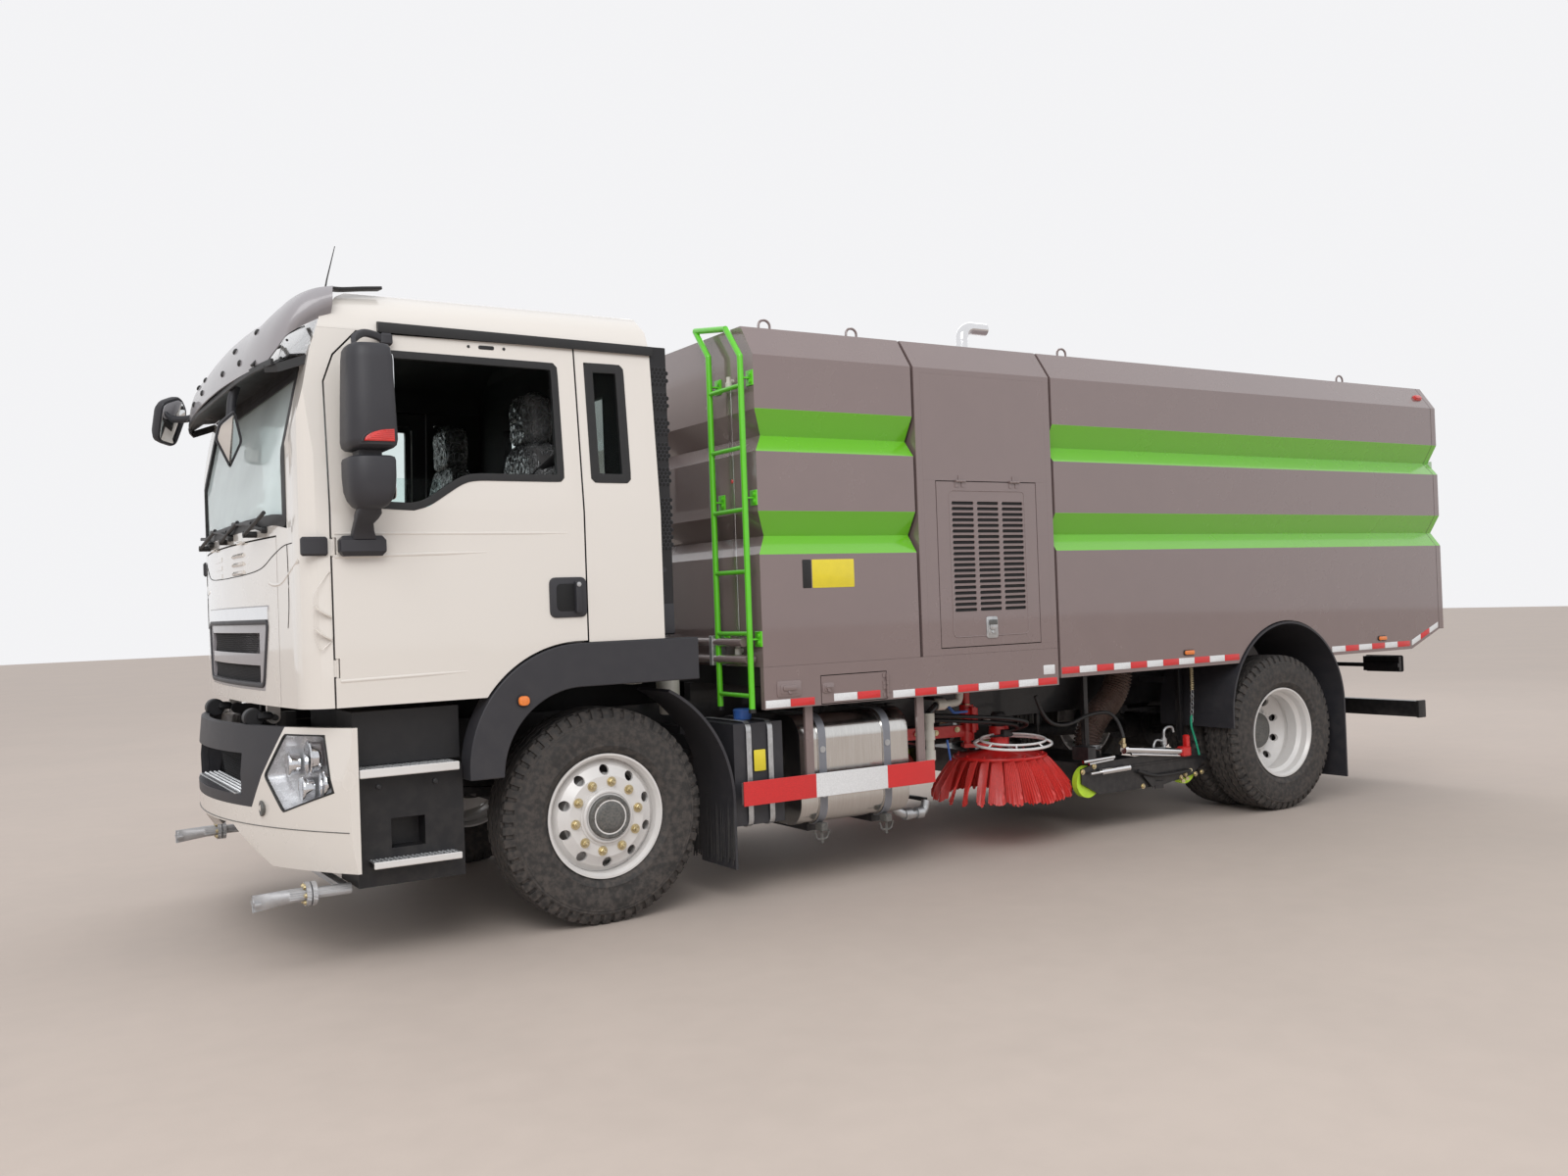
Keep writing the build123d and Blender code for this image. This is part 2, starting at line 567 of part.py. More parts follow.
def inset_line(points, by):
    """An open outline with the solid on its left, moved inwards: each corner slides along its mitre."""
    normals = []
    for (x0, z0), (x1, z1) in zip(points, points[1:]):
        length = math.hypot(x1 - x0, z1 - z0)
        normals.append(((z0 - z1) / length, (x1 - x0) / length))
    befores = normals[:1] + normals
    afters = normals + normals[-1:]
    moved = []
    for (x, z), (ax, az), (bx, bz) in zip(points, befores, afters):
        reach = by / (1 + ax * bx + az * bz)
        moved.append((x + reach * (ax + bx), z + reach * (az + bz)))
    return moved


def cab_solid(inset):
    """The cab's outer form, or the same form moved inwards by an inset."""
    solid = slab_xz(inset_line(cab_side_view, inset), -1400, 1400)
    half = cab_half - inset
    radius = cab_front_radius - inset
    nose = cab_front - inset

    def front_x(y):
        return nose - radius + math.sqrt(radius * radius - y * y)

    corner = cab_corner_radius
    inner_y = half - corner
    mid_y = half - corner * 0.29
    start = (front_x(inner_y), inner_y)
    arc_front = ThreePointArc((start[0], -inner_y), (nose, 0), start)
    arc_left = ThreePointArc(start, (start[0] - corner * 0.30, mid_y), (start[0] - corner, half))
    arc_right = ThreePointArc((start[0] - corner, -half), (start[0] - corner * 0.30, -mid_y), (start[0], -inner_y))
    rear = cab_rear + inset
    rest = Polyline((start[0] - corner, half), (rear, half), (rear, -half), (start[0] - corner, -half))
    plan = make_face(arc_front + arc_left + rest + arc_right)
    solid &= Pos(0, 0, cab_bottom - 10) * extrude(plan, amount=2100)
    left_view = inset_line(cab_front_view, inset)
    outline = left_view + [(-y, z) for y, z in reversed(left_view[:-1])]
    return solid & slab_yz(outline, cab_rear - 50, cab_front + 50)


fx, fz = fender_centre


def over_wheel(radius, y0, y1):
    """Everything under the cab fender line: a rounded front and a straight run to the rear."""
    drum = rod_y(fx, fz, radius, y0, y1)
    return drum + box(cab_rear - 300, fx, y0, y1, fz - 700, fz + radius)


outer_cab = cab_solid(0)
inner_cab = cab_solid(cab_wall) & box(cab_rear, cab_front, -1300, 1300, cab_floor, 3200)
inner_cab -= over_wheel(fender_radius + 55, -1300, 1300)
cab = outer_cab - over_wheel(fender_radius, -1300, 1300) - inner_cab
cab -= box(-400, 1120, -360, 360, 1000, 1215)

# Openings (x, z) in the sides and (y, z) in front
door_outline = [(door_front, cab_bottom - 20), (door_front, 2560), (door_front - 45, 2680), (door_front - 150, 2790),
                (door_rear, 2790), (door_rear, cab_bottom - 20)]
window_outline = [(1130, 2010), (1190, 2300), (1190, 2560), (1120, 2700), (1080, 2720), (225, 2712), (205, 2690),
                  (205, 2160), (225, 2140), (640, 2140), (700, 2125), (860, 2020), (930, 2000)]
quarter_outline = [(100, 2725), (-90, 2725), (-110, 2705), (-110, 2160), (-90, 2140), (80, 2140), (100, 2160)]
screen_outline = [(1050, 1935), (1050, 2640), (990, 2690), (-990, 2690), (-1050, 2640), (-1050, 1935), (-900, 1960), (900, 1960)]
flap_half, flap_top, flap_low = 905.0, 1905.0, cab_bottom
quarter_outline = [(x - 32, z) for x, z in quarter_outline]


def grown(points, by):
    """An outline moved outwards by a gap; the points run either way round."""
    face = make_face(Polyline(*points, close=True))
    return offset(face, amount=by, kind=Kind.INTERSECTION)


def slab_xz_face(face, y0, y1):
    """A side-view face made solid from y0 to y1."""
    return Pos(0, min(y0, y1), 0) * extrude(Plane.XZ * face, amount=-abs(y1 - y0))


door_zone = slab_xz(door_outline, 1050, 1300) & outer_cab
door_hole = slab_xz_face(grown(door_outline, door_gap), 1050, 1300)
door_hole -= box(-400, 1400, 1000, cab_half - cab_wall - 6, 1000, sill_band_top)
window_left = slab_xz(window_outline, 1050, 1300)
door = (door_zone - cab_solid(cab_wall)) - over_wheel(fender_radius + door_gap, 1000, 1300) - window_left
door &= box(door_rear, door_front, 1100, 1300, cab_bottom, 2800)
door -= box(door_rear - 10, door_front + 10, 1050, cab_half - cab_wall, 1000, sill_band_top + door_gap)

screen_hole = slab_yz(screen_outline, 1100, 1600)
flap_zone = box(1300, 1600, -flap_half, flap_half, flap_low, flap_top)
flap_hole = box(1300, 1600, -flap_half - door_gap, flap_half + door_gap, flap_low - 30, flap_top + door_gap)
flap_hole = flap_hole - box(1200, cab_front - 110, -1300, 1300, 1000, 2000)
grille_outline = [(780, 1605), (690, 1215), (-690, 1215), (-780, 1605)]
front_flap = ((outer_cab & flap_zone) - cab_solid(28)) - slab_yz(grille_outline, 1300, 1600)
cab -= flap_hole
cab -= screen_hole
for s in (1, -1):
    hole = door_hole if s == 1 else other_side(door_hole)
    cab -= hole
    cab -= slab_xz(quarter_outline, s * 1050, s * 1300)
rear_window = [(720, 2150), (720, 2650), (160, 2650), (160, 2150)]
cab -= slab_yz(rear_window, cab_rear - 60, cab_rear + 100)
cab -= other_side(slab_yz(rear_window, cab_rear - 60, cab_rear + 100))
for s in (1, -1):
    ear = box(cab_pivot_x - 30, cab_pivot_x + 30, s * 470, s * 500, cab_pivot_z, cab_floor - 10)
    ear += rod_y(cab_pivot_x, cab_pivot_z, 30, s * 470, s * 500)
    cab += ear - rod_y(cab_pivot_x, cab_pivot_z, 14 + running_clearance, s * 460, s * 510)

# Door hinges: a pin and leaf on the pillar inside a notch in the door's front edge
hinge_inset = 9.0
hinge_pin = 6.0
door_hinge_x = door_front - hinge_inset
door_hinge_y = cab_half - hinge_inset
hinge_heights = (1320.0, 1840.0)
for cz in hinge_heights:
    notch = box(door_hinge_x - 9, door_front + 1, door_hinge_y - 9, cab_half + 1, cz - 42, cz + 42)
    notch += rod_z(door_hinge_x, door_hinge_y, hinge_pin + running_clearance, cz - 60, cz + 60)
    door -= notch
    pin = rod_z(door_hinge_x, door_hinge_y, hinge_pin, cz - 56, cz + 56)
    pin += box(door_hinge_x, door_front + door_gap + 12, door_hinge_y - 3, door_hinge_y + 3, cz - 36, cz + 36)
    cab += pin + other_side(pin)

# Front flap hinges below the wipers
flap_axis_x, flap_axis_z = cab_front + 4.0, flap_top + door_gap / 2
for y in (-360.0, 360.0):
    fixed, moving = outer_hinge(80, 8, 26, 20)
    place = Plane(origin=(flap_axis_x, y, flap_axis_z), x_dir=(0, -1, 0), z_dir=(0, 0, 1))
    cab += place * fixed
    front_flap += place * moving
roof_joint = cab_gutter - 10
cab -= box(cab_rear - 50, cab_front + 50, -1300, 1300, roof_joint, roof_joint + seam)
keep("cab_shell", cab)
keep("front_flap", front_flap)
keep("door_left", door)
keep("door_right", other_side(door))

# Glass: a thin layer of the cab form, cut to each opening
glass_layer = cab_solid(14) - cab_solid(20)
windscreen = glass_layer & slab_yz(screen_outline, 1100, 1600)
side_glass = []
for s in (1, -1):
    side_glass.append(glass_layer & slab_xz(quarter_outline, s * 1050, s * 1300))
back = glass_layer & slab_yz(rear_window, cab_rear - 60, cab_rear + 100)
keep("cab_glass", windscreen, side_glass, back, other_side(back))
door_glass = glass_layer & window_left
lowered = door_glass & box(800, 1200, 1000, 1300, 1900, 2145)
keep("door_glass_left", lowered)
keep("door_glass_right", other_side(door_glass))

# Grille in the front flap: frame, bars and a mesh panel behind
grille_zone = Plane.YZ * grown(grille_outline, -seam)
grille = (outer_cab & Pos(1300, 0, 0) * extrude(grille_zone, amount=300)) - cab_solid(30)
for z0, z1 in ((1250, 1330), (1385, 1480)):
    grille -= box(1300, 1600, -620, 620, z0, z1)
layer = cab_solid(22) - cab_solid(28)
grille += layer & box(1300, 1600, -640, 640, 1240, 1500)
keep("grille", grille)

# Cab fenders, intake columns behind the cab, wipers and the kerb mirror: all black trim on the cab
fender_low = 780.0
trim = []
for s in (1, -1):
    lip = rod_y(fx, fz, fender_radius - 2, s * 1130, s * 1262) + box(cab_rear - 180, fx, s * 1130, s * 1262, fz - 100, fz + fender_radius - 2)
    lip -= rod_y(fx, fz - 45, 395, s * 1100, s * 1300) + box(cab_rear - 300, fx, s * 1100, s * 1300, fz - 200, fz - 45 + 395)
    lip &= box(cab_rear - 180, fx + 600, s * 1100, s * 1300, fender_low, 1400)
    liner = rod_y(fx, fz - 45, 407, s * 760, s * 1130) + box(cab_rear - 180, fx, s * 760, s * 1130, fz - 100, fz - 45 + 407)
    liner -= rod_y(fx, fz - 45, 395, s * 700, s * 1200) + box(cab_rear - 300, fx, s * 700, s * 1200, fz - 200, fz - 45 + 395)
    liner &= box(cab_rear - 180, fx + 600, s * 700, s * 1200, fender_low, 1400)
    hanger = box(cab_rear + 20, cab_rear + 60, s * 900, s * 1000, fz - 45 + 400, fz + fender_radius)
    fender = lip + liner + hanger
    column = box(cab_rear - 95, cab_rear, s * 1040, s * 1178, 1395, 2830)
    trim.append(fender)
    trim.append(column)
for y in (-620.0, 0.0, 620.0):
    wiper = rod_x(y, 1934, 15, 1440, 1535) + rod_between((1528, y, 1934), (1505, y + 330, 2010), 9)
    wiper -= outer_cab
    trim.append(wiper)
mirror_arm = rod_between((1255, -1080, 2700), (1500, -1120, 2700), 18)
mirror_arm += Pos(1545, -1130, 2700) * Rot(0, 0, 20) * Box(90, 190, 270)
trim.append(mirror_arm - outer_cab)

# Sun visor: a curved shield in front of the windscreen head
visor_path = [(1560, 2655), (1520, 2800), (1400, 2960), (1260, 3030)]
visor_back = [(x - 10, z - 8) for x, z in reversed(visor_path)]
visor = slab_xz(visor_path + visor_back, -1150, 1150)
visor_arc = 3400.0
bow = Pos(1560 - visor_arc, 0, 2000) * Cylinder(visor_arc, 3000)
visor &= bow
for s in (1, -1):
    visor += box(1270, 1330, s * 900 - 15, s * 900 + 15, 2860, 3012)
visor -= outer_cab
trim.append(visor)
keep("cab_trim", trim)

# Mirrors on the doors: two heads on an arm with a foot on the door corner
arm_x, arm_y = 1165.0, 1395.0
upper_head, lower_head = Box(200, 270, 450), Box(190, 240, 230)
mirror_set = Pos(arm_x, arm_y, 2462) * fillet(upper_head.edges(), 34)
mirror_set += Pos(arm_x, arm_y - 10, 2105) * fillet(lower_head.edges(), 40)
mirror_set += rod_z(arm_x, arm_y - 20, 20, 1870, 2740)
mirror_set += box(1070, door_front - 28, cab_half, cab_half + 55, 1800, 1885)
mirror_set += box(arm_x - 40, arm_x + 40, cab_half, arm_y + 10, 1850, 1885)
mirror_set += rod_between((arm_x, arm_y - 20, 2730), (1110, 1190, 2755), 14)
mirror_set -= outer_cab
keep("mirror_left", mirror_set)
keep("mirror_right", other_side(mirror_set))

# Cab interior: dashboard, floor tunnel, seats and steering wheel on its column
interior = box(1150, 1330, -1080, 1080, cab_floor, 1880) + box(-180, 1150, -300, 300, 1435, 1480)
for y in (640.0, -640.0):
    seat = box(120, 620, y - 260, y + 260, 1435, 1640) + box(60, 180, y - 250, y + 250, 1640, 2240)
    seat += box(70, 160, y - 130, y + 130, 2240, 2440)
    interior += seat
interior += rod_between((1180, 640, 1700), (900, 640, 1915), 30)
interior += Plane(origin=(900, 640, 1915), z_dir=(-0.79, 0, 0.61)) * (Cylinder(230, 30) - Cylinder(200, 40))
interior += Plane(origin=(900, 640, 1915), z_dir=(-0.79, 0, 0.61)) * (Cylinder(60, 34) + Box(420, 40, 20))
interior -= over_wheel(fender_radius + 56, -1300, 1300)
keep("cab_interior", interior)


# Front bumper: lofted between plan sections, with openings for the centre panel and the lamps
def bumper_face(z, nose, inset):
    radius = bumper_radius - inset
    half = body_half - inset
    edge = nose - inset - radius + math.sqrt(radius * radius - half * half)
    arc = ThreePointArc((edge, -half), (nose - inset, 0), (edge, half))
    back = bumper_back - inset
    rest = Polyline((edge, half), (back, half), (back, -half), (edge, -half))
    return Pos(0, 0, z) * make_face(arc + rest)


bumper_levels = [(430, 1612), (560, 1634), (840, bumper_front), (1060, 1618)]
inner_levels = [(400, 1608), (560, 1634), (840, bumper_front), (1100, 1614)]
bumper_outer = loft([bumper_face(z, nose, 0) for z, nose in bumper_levels], ruled=True)
bumper_inner = loft([bumper_face(z, nose, 38) for z, nose in inner_levels], ruled=True)
bumper_shell = bumper_outer - bumper_inner
centre_outline = [(890, 1070), (650, 690), (-650, 690), (-890, 1070)]
lamp_outline = [(885, 1030), (1120, 1030), (1180, 780), (885, 680), (765, 840)]
panel_zone = slab_yz(centre_outline, 1350, 1700)
lamp_zone = slab_yz(lamp_outline, 1150, 1700)
lamp_zones = lamp_zone + other_side(lamp_zone)
belly = Pos(1500, 0, 0) * slab_yz([(-1000, 300), (-450, 600), (450, 600), (1000, 300)], -200, 400)
bumper = bumper_shell - panel_zone - lamp_zones - belly
for s in (1, -1):
    bumper += box(frame_front, 1430, s * 360, s * 400, 640, 760)
    bumper += box(1430, 1640, s * 360, s * 400, 620, 690 - seam) & bumper_outer
keep("front_bumper", bumper)
panel_face = Plane.YZ * grown(centre_outline, -seam)
lamp_face = Plane.YZ * grown(lamp_outline, -seam)
lamp_gap = Pos(1150, 0, 0) * extrude(Plane.YZ * grown(lamp_outline, seam), amount=550)
panel = (bumper_shell & Pos(1350, 0, 0) * extrude(panel_face, amount=350)) - lamp_gap - other_side(lamp_gap)
panel -= box(1300, 1700, -560, 560, 740, 930)
panel += box(1440, 1600, -600, 600, 700, 738) & bumper_outer
panel += box(1440, 1460, -600, 600, 700, 935)
panel += box(1440, 1600, -600, -562, 700, 935) & bumper_outer
panel += box(1440, 1600, 562, 600, 700, 935) & bumper_outer
keep("bumper_panel", panel)
lamp = bumper_shell & Pos(1150, 0, 0) * extrude(lamp_face, amount=550)

# Step boxes behind the bumper, with two treads a side
steps = []
for s in (1, -1):
    step = box(720, 1200, s * 860, s * 1130, 880, 1120) + box(720, 1200, s * 860, s * 1160, 350, 850)
    step += box(720, 1200, s * 860, s * 1100, 840, 890)
    step -= box(900, 1050, s * 1060, s * 1200, 510, 640)
    step += box(1000, 1060, s * rail_outer_y, s * 860, 750, 850)
    step += box(765, 1200, s * 1100, s * 1240, 846, 872)
    step += box(765, 1150, s * 1130, s * 1240, 440, 466)
    steps.append(step)
keep("step_boxes", steps)


# Mudguards on the chassis: rear half of the front arch with a flap, and the full rear arch with a flap
def arc_band(x, z, r0, r1, a0, a1, y0, y1):
    """Part of a ring between two angles, measured from straight ahead."""
    t0, t1 = math.radians(a0), math.radians(a1)
    tm = (t0 + t1) / 2
    def at(r, t):
        return (x + r * math.cos(t), z + r * math.sin(t))
    outer = ThreePointArc(at(r1, t0), at(r1, tm), at(r1, t1))
    inner = ThreePointArc(at(r0, t1), at(r0, tm), at(r0, t0))
    ends = Line(at(r1, t1), at(r0, t1)) + Line(at(r0, t0), at(r1, t0))
    face = Plane.XZ * make_face(outer + inner + ends)
    return Pos(0, min(y0, y1), 0) * extrude(face, amount=-abs(y1 - y0))


guards = []
for s in (1, -1):
    guard = arc_band(-20, tyre_radius, 660, 675, 118, 178, s * 830, s * 1190)
    guard += box(-695, -680, s * 830, s * 1190, 180, 560)
    guard += box(-600, -560, s * rail_outer_y, s * 860, 860, 900)
    guard += arc_band(-20, tyre_radius, 660, 700, 135, 145, s * 830, s * 870)
    guards.append(guard)
    rear = arc_band(arch_x, arch_centre_z, arch_radius - 22, arch_radius - 8, 0, 180, s * 640, s * 1262)
    rear += box(arch_x - arch_radius + 8, arch_x - arch_radius + 22, s * 640, s * 1262, 170, arch_centre_z + 1)
    rear += box(arch_x + arch_radius - 22, arch_x + arch_radius - 8, s * 640, s * 1262, 600, arch_centre_z + 1)
    reach = math.sqrt((arch_radius - 15) ** 2 - (900 - arch_centre_z) ** 2)
    for x in (arch_x - reach, arch_x + reach):
        rear += box(x - 22, x + 22, s * rail_outer_y, s * 660, 880, 920)
    guards.append(rear)
keep("mudguards", guards)

# Fuel tank with straps, and the black additive tank in front of it
tank_face = Plane.YZ * (Pos(855, 630) * RectangleRounded(580, 590, 130))
fuel = Pos(-1840, 0, 0) * extrude(tank_face, amount=720)
fuel += rod_z(-1390, 870, 45, 925, 968)
for x in (-1260.0, -1690.0):
    band = Plane.YZ * (Pos(855, 630) * (RectangleRounded(596, 606, 138) - RectangleRounded(570, 580, 125)))
    fuel += Pos(x - 25, 0, 0) * extrude(band, amount=50)
    fuel += box(x - 25, x + 25, rail_outer_y, 580, 780, 830)
keep("fuel_tank", fuel)
boxes = [box(-1010, -715, 700, 1150, 390, 915) + box(-900, -840, rail_outer_y, 700, 780, 860) + rod_z(-860, 1000, 45, 915, 955)]
boxes.append(box(-1300, -730, -1160, -700, 420, 930) + box(-1060, -980, -700, -rail_outer_y, 780, 860))
reservoir = box(-1760, -1700, -930, -870, 500, 800) + box(-1760, -1700, -900, -rail_outer_y, 760, 800)
for z in (500.0, 760.0):
    reservoir += rod_x(-900, z, 115, -2050, -1340)
boxes.append(reservoir)
keep("chassis_boxes", boxes)

# Side guards: posts under the sill and a reflective rail
rails = []
for s in (1, -1):
    guard = box(-1960, -725, s * 1195, s * 1222, 505, 620)
    for x in (-1180.0, -1925.0):
        guard += box(x, x + 50, s * 1170, s * 1195, 520, sill_bottom + 20)
        guard += box(x, x + 50, s * 1160, s * (body_half - skin), sill_bottom + 20, sill_bottom + 50)
    rails.append(guard)

# Ladder on the front wall of the tank: two rails whose tops lean in over the shoulder, with six rungs
ladder_x, ladder_r = -792.0, 16.0
ladder_rails = [(1220.0, 2810.0, 1085.0, 2975.0), (890.0, 2860.0, 755.0, 3025.0)]
ladder = None
for y, bend_z, top_y, top_z in ladder_rails:
    rail_bar = rod_z(ladder_x, y, ladder_r, 985, bend_z) + Pos(ladder_x, y, bend_z) * Sphere(ladder_r)
    rail_bar += rod_between((ladder_x, y, bend_z), (ladder_x, top_y, top_z), ladder_r)
    for z in (1350.0, 2080.0, 2700.0):
        rail_bar += box(body_front, ladder_x, y - 25, y + 5, z - 4, z + 4)
    ladder = rail_bar if ladder is None else ladder + rail_bar
for i in range(6):
    ladder += rod_y(ladder_x, 1060 + 320 * i, 12, ladder_rails[1][0], ladder_rails[0][0])
ladder += rod_between((ladder_x, 755, 3025), (ladder_x, 1085, 2975), ladder_r)
keep("ladder", ladder)

# Rear underrun bar with its hangers, and the lamp brackets
rear_bar = box(-6780, -6700, -1110, 1110, 495, 615)
for s in (1, -1):
    rear_bar += slab_xz([(-6600, rail_bottom + 10), (-6450, rail_bottom + 10), (-6640, 520), (-6700, 520), (-6700, 600)], s * rail_outer_y, s * (rail_outer_y + 12))
    rear_bar += box(-6700, -6560, s * (rail_outer_y), s * (rail_outer_y + 12), 500, 610)
    rear_bar += box(-6600, -6540, s * (rail_outer_y), s * (rail_outer_y + 12), 600, 900)
    rear_bar += box(-6560, -6530, s * rail_outer_y, s * 1080, 880, 910)
    rear_bar += box(-6575, -6545, s * 780, s * 1080, 850, 960)
keep("guard_rails", rear_bar, rails)
tail = [box(-6600, -6575, s * 790, s * 1070, 855, 955) for s in (1, -1)]
keep("lamps", lamp, other_side(lamp), tail)

# Front spray nozzles under the bumper's corners: an arm from the rail, a flanged pipe and a flat duckbill
for s in (1, -1):
    y = s * spray_y
    spray = box(spray_arm_x - 20, spray_arm_x + 20, s * rail_outer_y, y, spray_z - 10, spray_z + 15)
    spray += box(spray_arm_x - 20, spray_arm_x + 20, s * (rail_outer_y - 20), s * rail_outer_y, spray_z - 10, rail_bottom - seam)
    spray += rod_x(y, spray_z, 24, spray_arm_x - 20, spray_flange_x)
    for x in (spray_flange_x, spray_flange_x + 26):
        spray += rod_x(y, spray_z, 52, x, x + 20)
    spray += rod_x(y, spray_z, 30, spray_flange_x + 10, spray_flange_x + 110)
    spray += loft([Plane(origin=(spray_flange_x + 100, y, spray_z), z_dir=(1, 0, 0)) * Circle(30),
                   Plane(origin=(spray_flange_x + 260, y, spray_z - 12), z_dir=(1, 0, 0)) * Rectangle(70, 16)], ruled=True)
    frame.append(spray)

# Side brushes: swinging arm on a post, a head that lowers on a guide, and the brush that spins under it
post = rod_z(brush_post_x, brush_post_y, 28, 560, 900)
for z in (575.0, 865.0):
    post += box(brush_post_x - 40, brush_post_x + 40, bracket_y, brush_post_y, z, z + 25)
post += box(brush_post_x - 60, brush_post_x + 60, bracket_y, rail_outer_y + 12, 560, 900)
frame += [post, other_side(post)]
arm = rod_z(brush_post_x, brush_post_y, 48, 606, 780)
lift_dx, lift_dy = brush_lift_x - brush_post_x, brush_lift_y - brush_post_y
arm_length = math.hypot(lift_dx, lift_dy)
arm_angle = math.degrees(math.atan2(lift_dy, lift_dx))
arm += Pos(brush_post_x, brush_post_y, 700) * Rot(0, 0, arm_angle) * Pos(arm_length / 2, 0, 0) * Box(arm_length, 60, 70)
arm += rod_z(brush_lift_x, brush_lift_y, 44, 640, 860)
arm -= rod_z(brush_post_x, brush_post_y, 28 + running_clearance, 500, 900)
arm -= rod_z(brush_lift_x, brush_lift_y, 24 + running_clearance, 600, 900)
head = rod_z(brush_lift_x, brush_lift_y, 24, 600, 1050) + rod_z(brush_x, brush_y, 62, 596, 720)
head_dx, head_dy = brush_x - brush_lift_x, brush_y - brush_lift_y
head_length = math.hypot(head_dx, head_dy)
head_angle = math.degrees(math.atan2(head_dy, head_dx))
head += Pos(brush_lift_x, brush_lift_y, 608) * Rot(0, 0, head_angle) * Pos(head_length / 2, 0, 0) * Box(head_length + 60, 90, 24)
head += rod_z(brush_x, brush_y, brush_shaft, brush_plate_z - 5, 600)


def side_brush():
    """A dished plate with a ring of flared bristle tufts."""
    bore = brush_shaft + running_clearance
    section = [(bore, 30), (110, 36), (brush_plate_radius, -4), (brush_plate_radius, -14), (110, 20), (bore, 8)]
    face = Plane.XZ * make_face(Polyline(*section, close=True))
    brush = revolve(face, axis=Axis.Z)
    for i in range(brush_tufts):
        a = 360.0 / brush_tufts * i
        root_r, tip_r = brush_plate_radius - 32, brush_tip_radius - 12
        drop = brush_plate_z - brush_tip_z
        top = Plane(origin=(root_r, 0, 0), x_dir=(0, 1, 0), z_dir=(0, 0, -1)) * Rectangle(58, 40)
        low = Plane(origin=(tip_r, 0, -drop), x_dir=(0, 1, 0), z_dir=(0, 0, -1)) * Rectangle(98, 22)
        brush += Rot(0, 0, a) * loft([top, low], ruled=True)
    return brush


brush = Pos(brush_x, brush_y, brush_plate_z) * side_brush()
for side, flip in (("left", False), ("right", True)):
    turn = other_side if flip else (lambda s: s)
    keep(f"brush_arm_{side}", turn(arm))
    keep(f"brush_head_{side}", turn(head))
    keep(f"side_brush_{side}", turn(brush))

# Suction nozzle: an open-bottomed box with side plates, carried on four small wheels
nozzle_low, nozzle_high = 255.0, 430.0
nozzle = box(nozzle_rear, nozzle_front, -nozzle_half, nozzle_half, nozzle_low, nozzle_high)
nozzle -= box(nozzle_rear + 15, nozzle_front - 15, -nozzle_half + 15, nozzle_half - 15, nozzle_low - 10, nozzle_high - 15)
hose_y, hose_radius = 640.0, 88.0
hose_x = -3720.0
plate_line = [(-3290, 330), (-3290, 420), (-3420, 450), (-4300, 470), (-4460, 400), (-4300, 290), (-4000, 250), (-3440, 250)]
for s in (1, -1):
    nozzle += slab_xz(plate_line, s * 1005, s * 1017)
    nozzle += box(nozzle_rear + 20, nozzle_front - 20, s * nozzle_half, s * 1010, 330, 380)
    for x in nozzle_wheel_stations:
        nozzle += rod_y(x, nozzle_wheel_z, 12, s * 930, s * 1010)
    nozzle += rod_z(hose_x, s * hose_y, hose_radius, nozzle_high - 10, nozzle_high + 50)
    nozzle -= rod_z(hose_x, s * hose_y, hose_radius - 6, nozzle_high - 30, nozzle_high + 60)
roof_low = nozzle_high - 15
nozzle -= box(nozzle_rear, nozzle_front, -nozzle_half, nozzle_half, roof_low - seam, roof_low)
for x in (nozzle_rear + 15, nozzle_front - 15 - seam):
    nozzle -= box(x, x + seam, -nozzle_half, nozzle_half, nozzle_low, roof_low)
guides = []
for s in (1, -1):
    nozzle -= box(nozzle_rear, nozzle_front, s * (1005 - seam), s * 1005, 300, 400)
    guides.append(rod_z(-3600, s * 300, 14, nozzle_high + seam, 755 + nozzle_travel))
keep("suction_nozzle", nozzle, guides)
for s in (1, -1):
    shelf_z = rail_bottom + rail_wall + seam
    sleeve = rod_z(-3600, s * 300, 30, 640, 790) + box(-3640, -3560, s * 290, s * (web_y - seam), shelf_z, shelf_z + 50)
    sleeve -= rod_z(-3600, s * 300, 14 + running_clearance, 600, 800)
    frame.append(sleeve)
keep("chassis_frame", frame)
for side, s in (("left", 1), ("right", -1)):
    for label, x in zip(("front", "rear"), nozzle_wheel_stations):
        wheel = rod_y(x, nozzle_wheel_z, nozzle_wheel_radius, s * 956, s * 998)
        wheel -= rod_y(x, nozzle_wheel_z, 12 + running_clearance, s * 900, s * 1050)
        keep(f"nozzle_wheel_{label}_{side}", wheel)

# Suction hoses: two corrugated ducts from the nozzle to the hopper floor
hose_top_x, hose_top_z = -4050.0, body_floor - hopper_rest_gap
hose_start = nozzle_high + 50
hoses = []
for s in (1, -1):
    points = [(hose_x, s * hose_y, hose_start), (hose_x, s * hose_y, hose_start + 200),
              (hose_top_x, s * hose_y, hose_top_z - 220), (hose_top_x, s * hose_y, hose_top_z)]
    path = FilletPolyline(*points, radius=230)
    ring = Plane(origin=points[0], z_dir=(0, 0, 1)) * Circle(hose_radius)
    core = Plane(origin=points[0], z_dir=(0, 0, 1)) * Circle(hose_radius - 10)
    hoses.append(sweep(ring, path=path) - sweep(core, path=path))
keep("suction_hoses", hoses)

# Every part is written once, moved so that the origin is under the middle of the vehicle
os.makedirs("parts", exist_ok=True)
for name, solids in parts.items():
    moved = Pos(body_shift, 0, 0) * Compound(children=list(solids)) if len(solids) > 1 else Pos(body_shift, 0, 0) * solids[0]
    export_step(moved, f"parts/{name}.step")
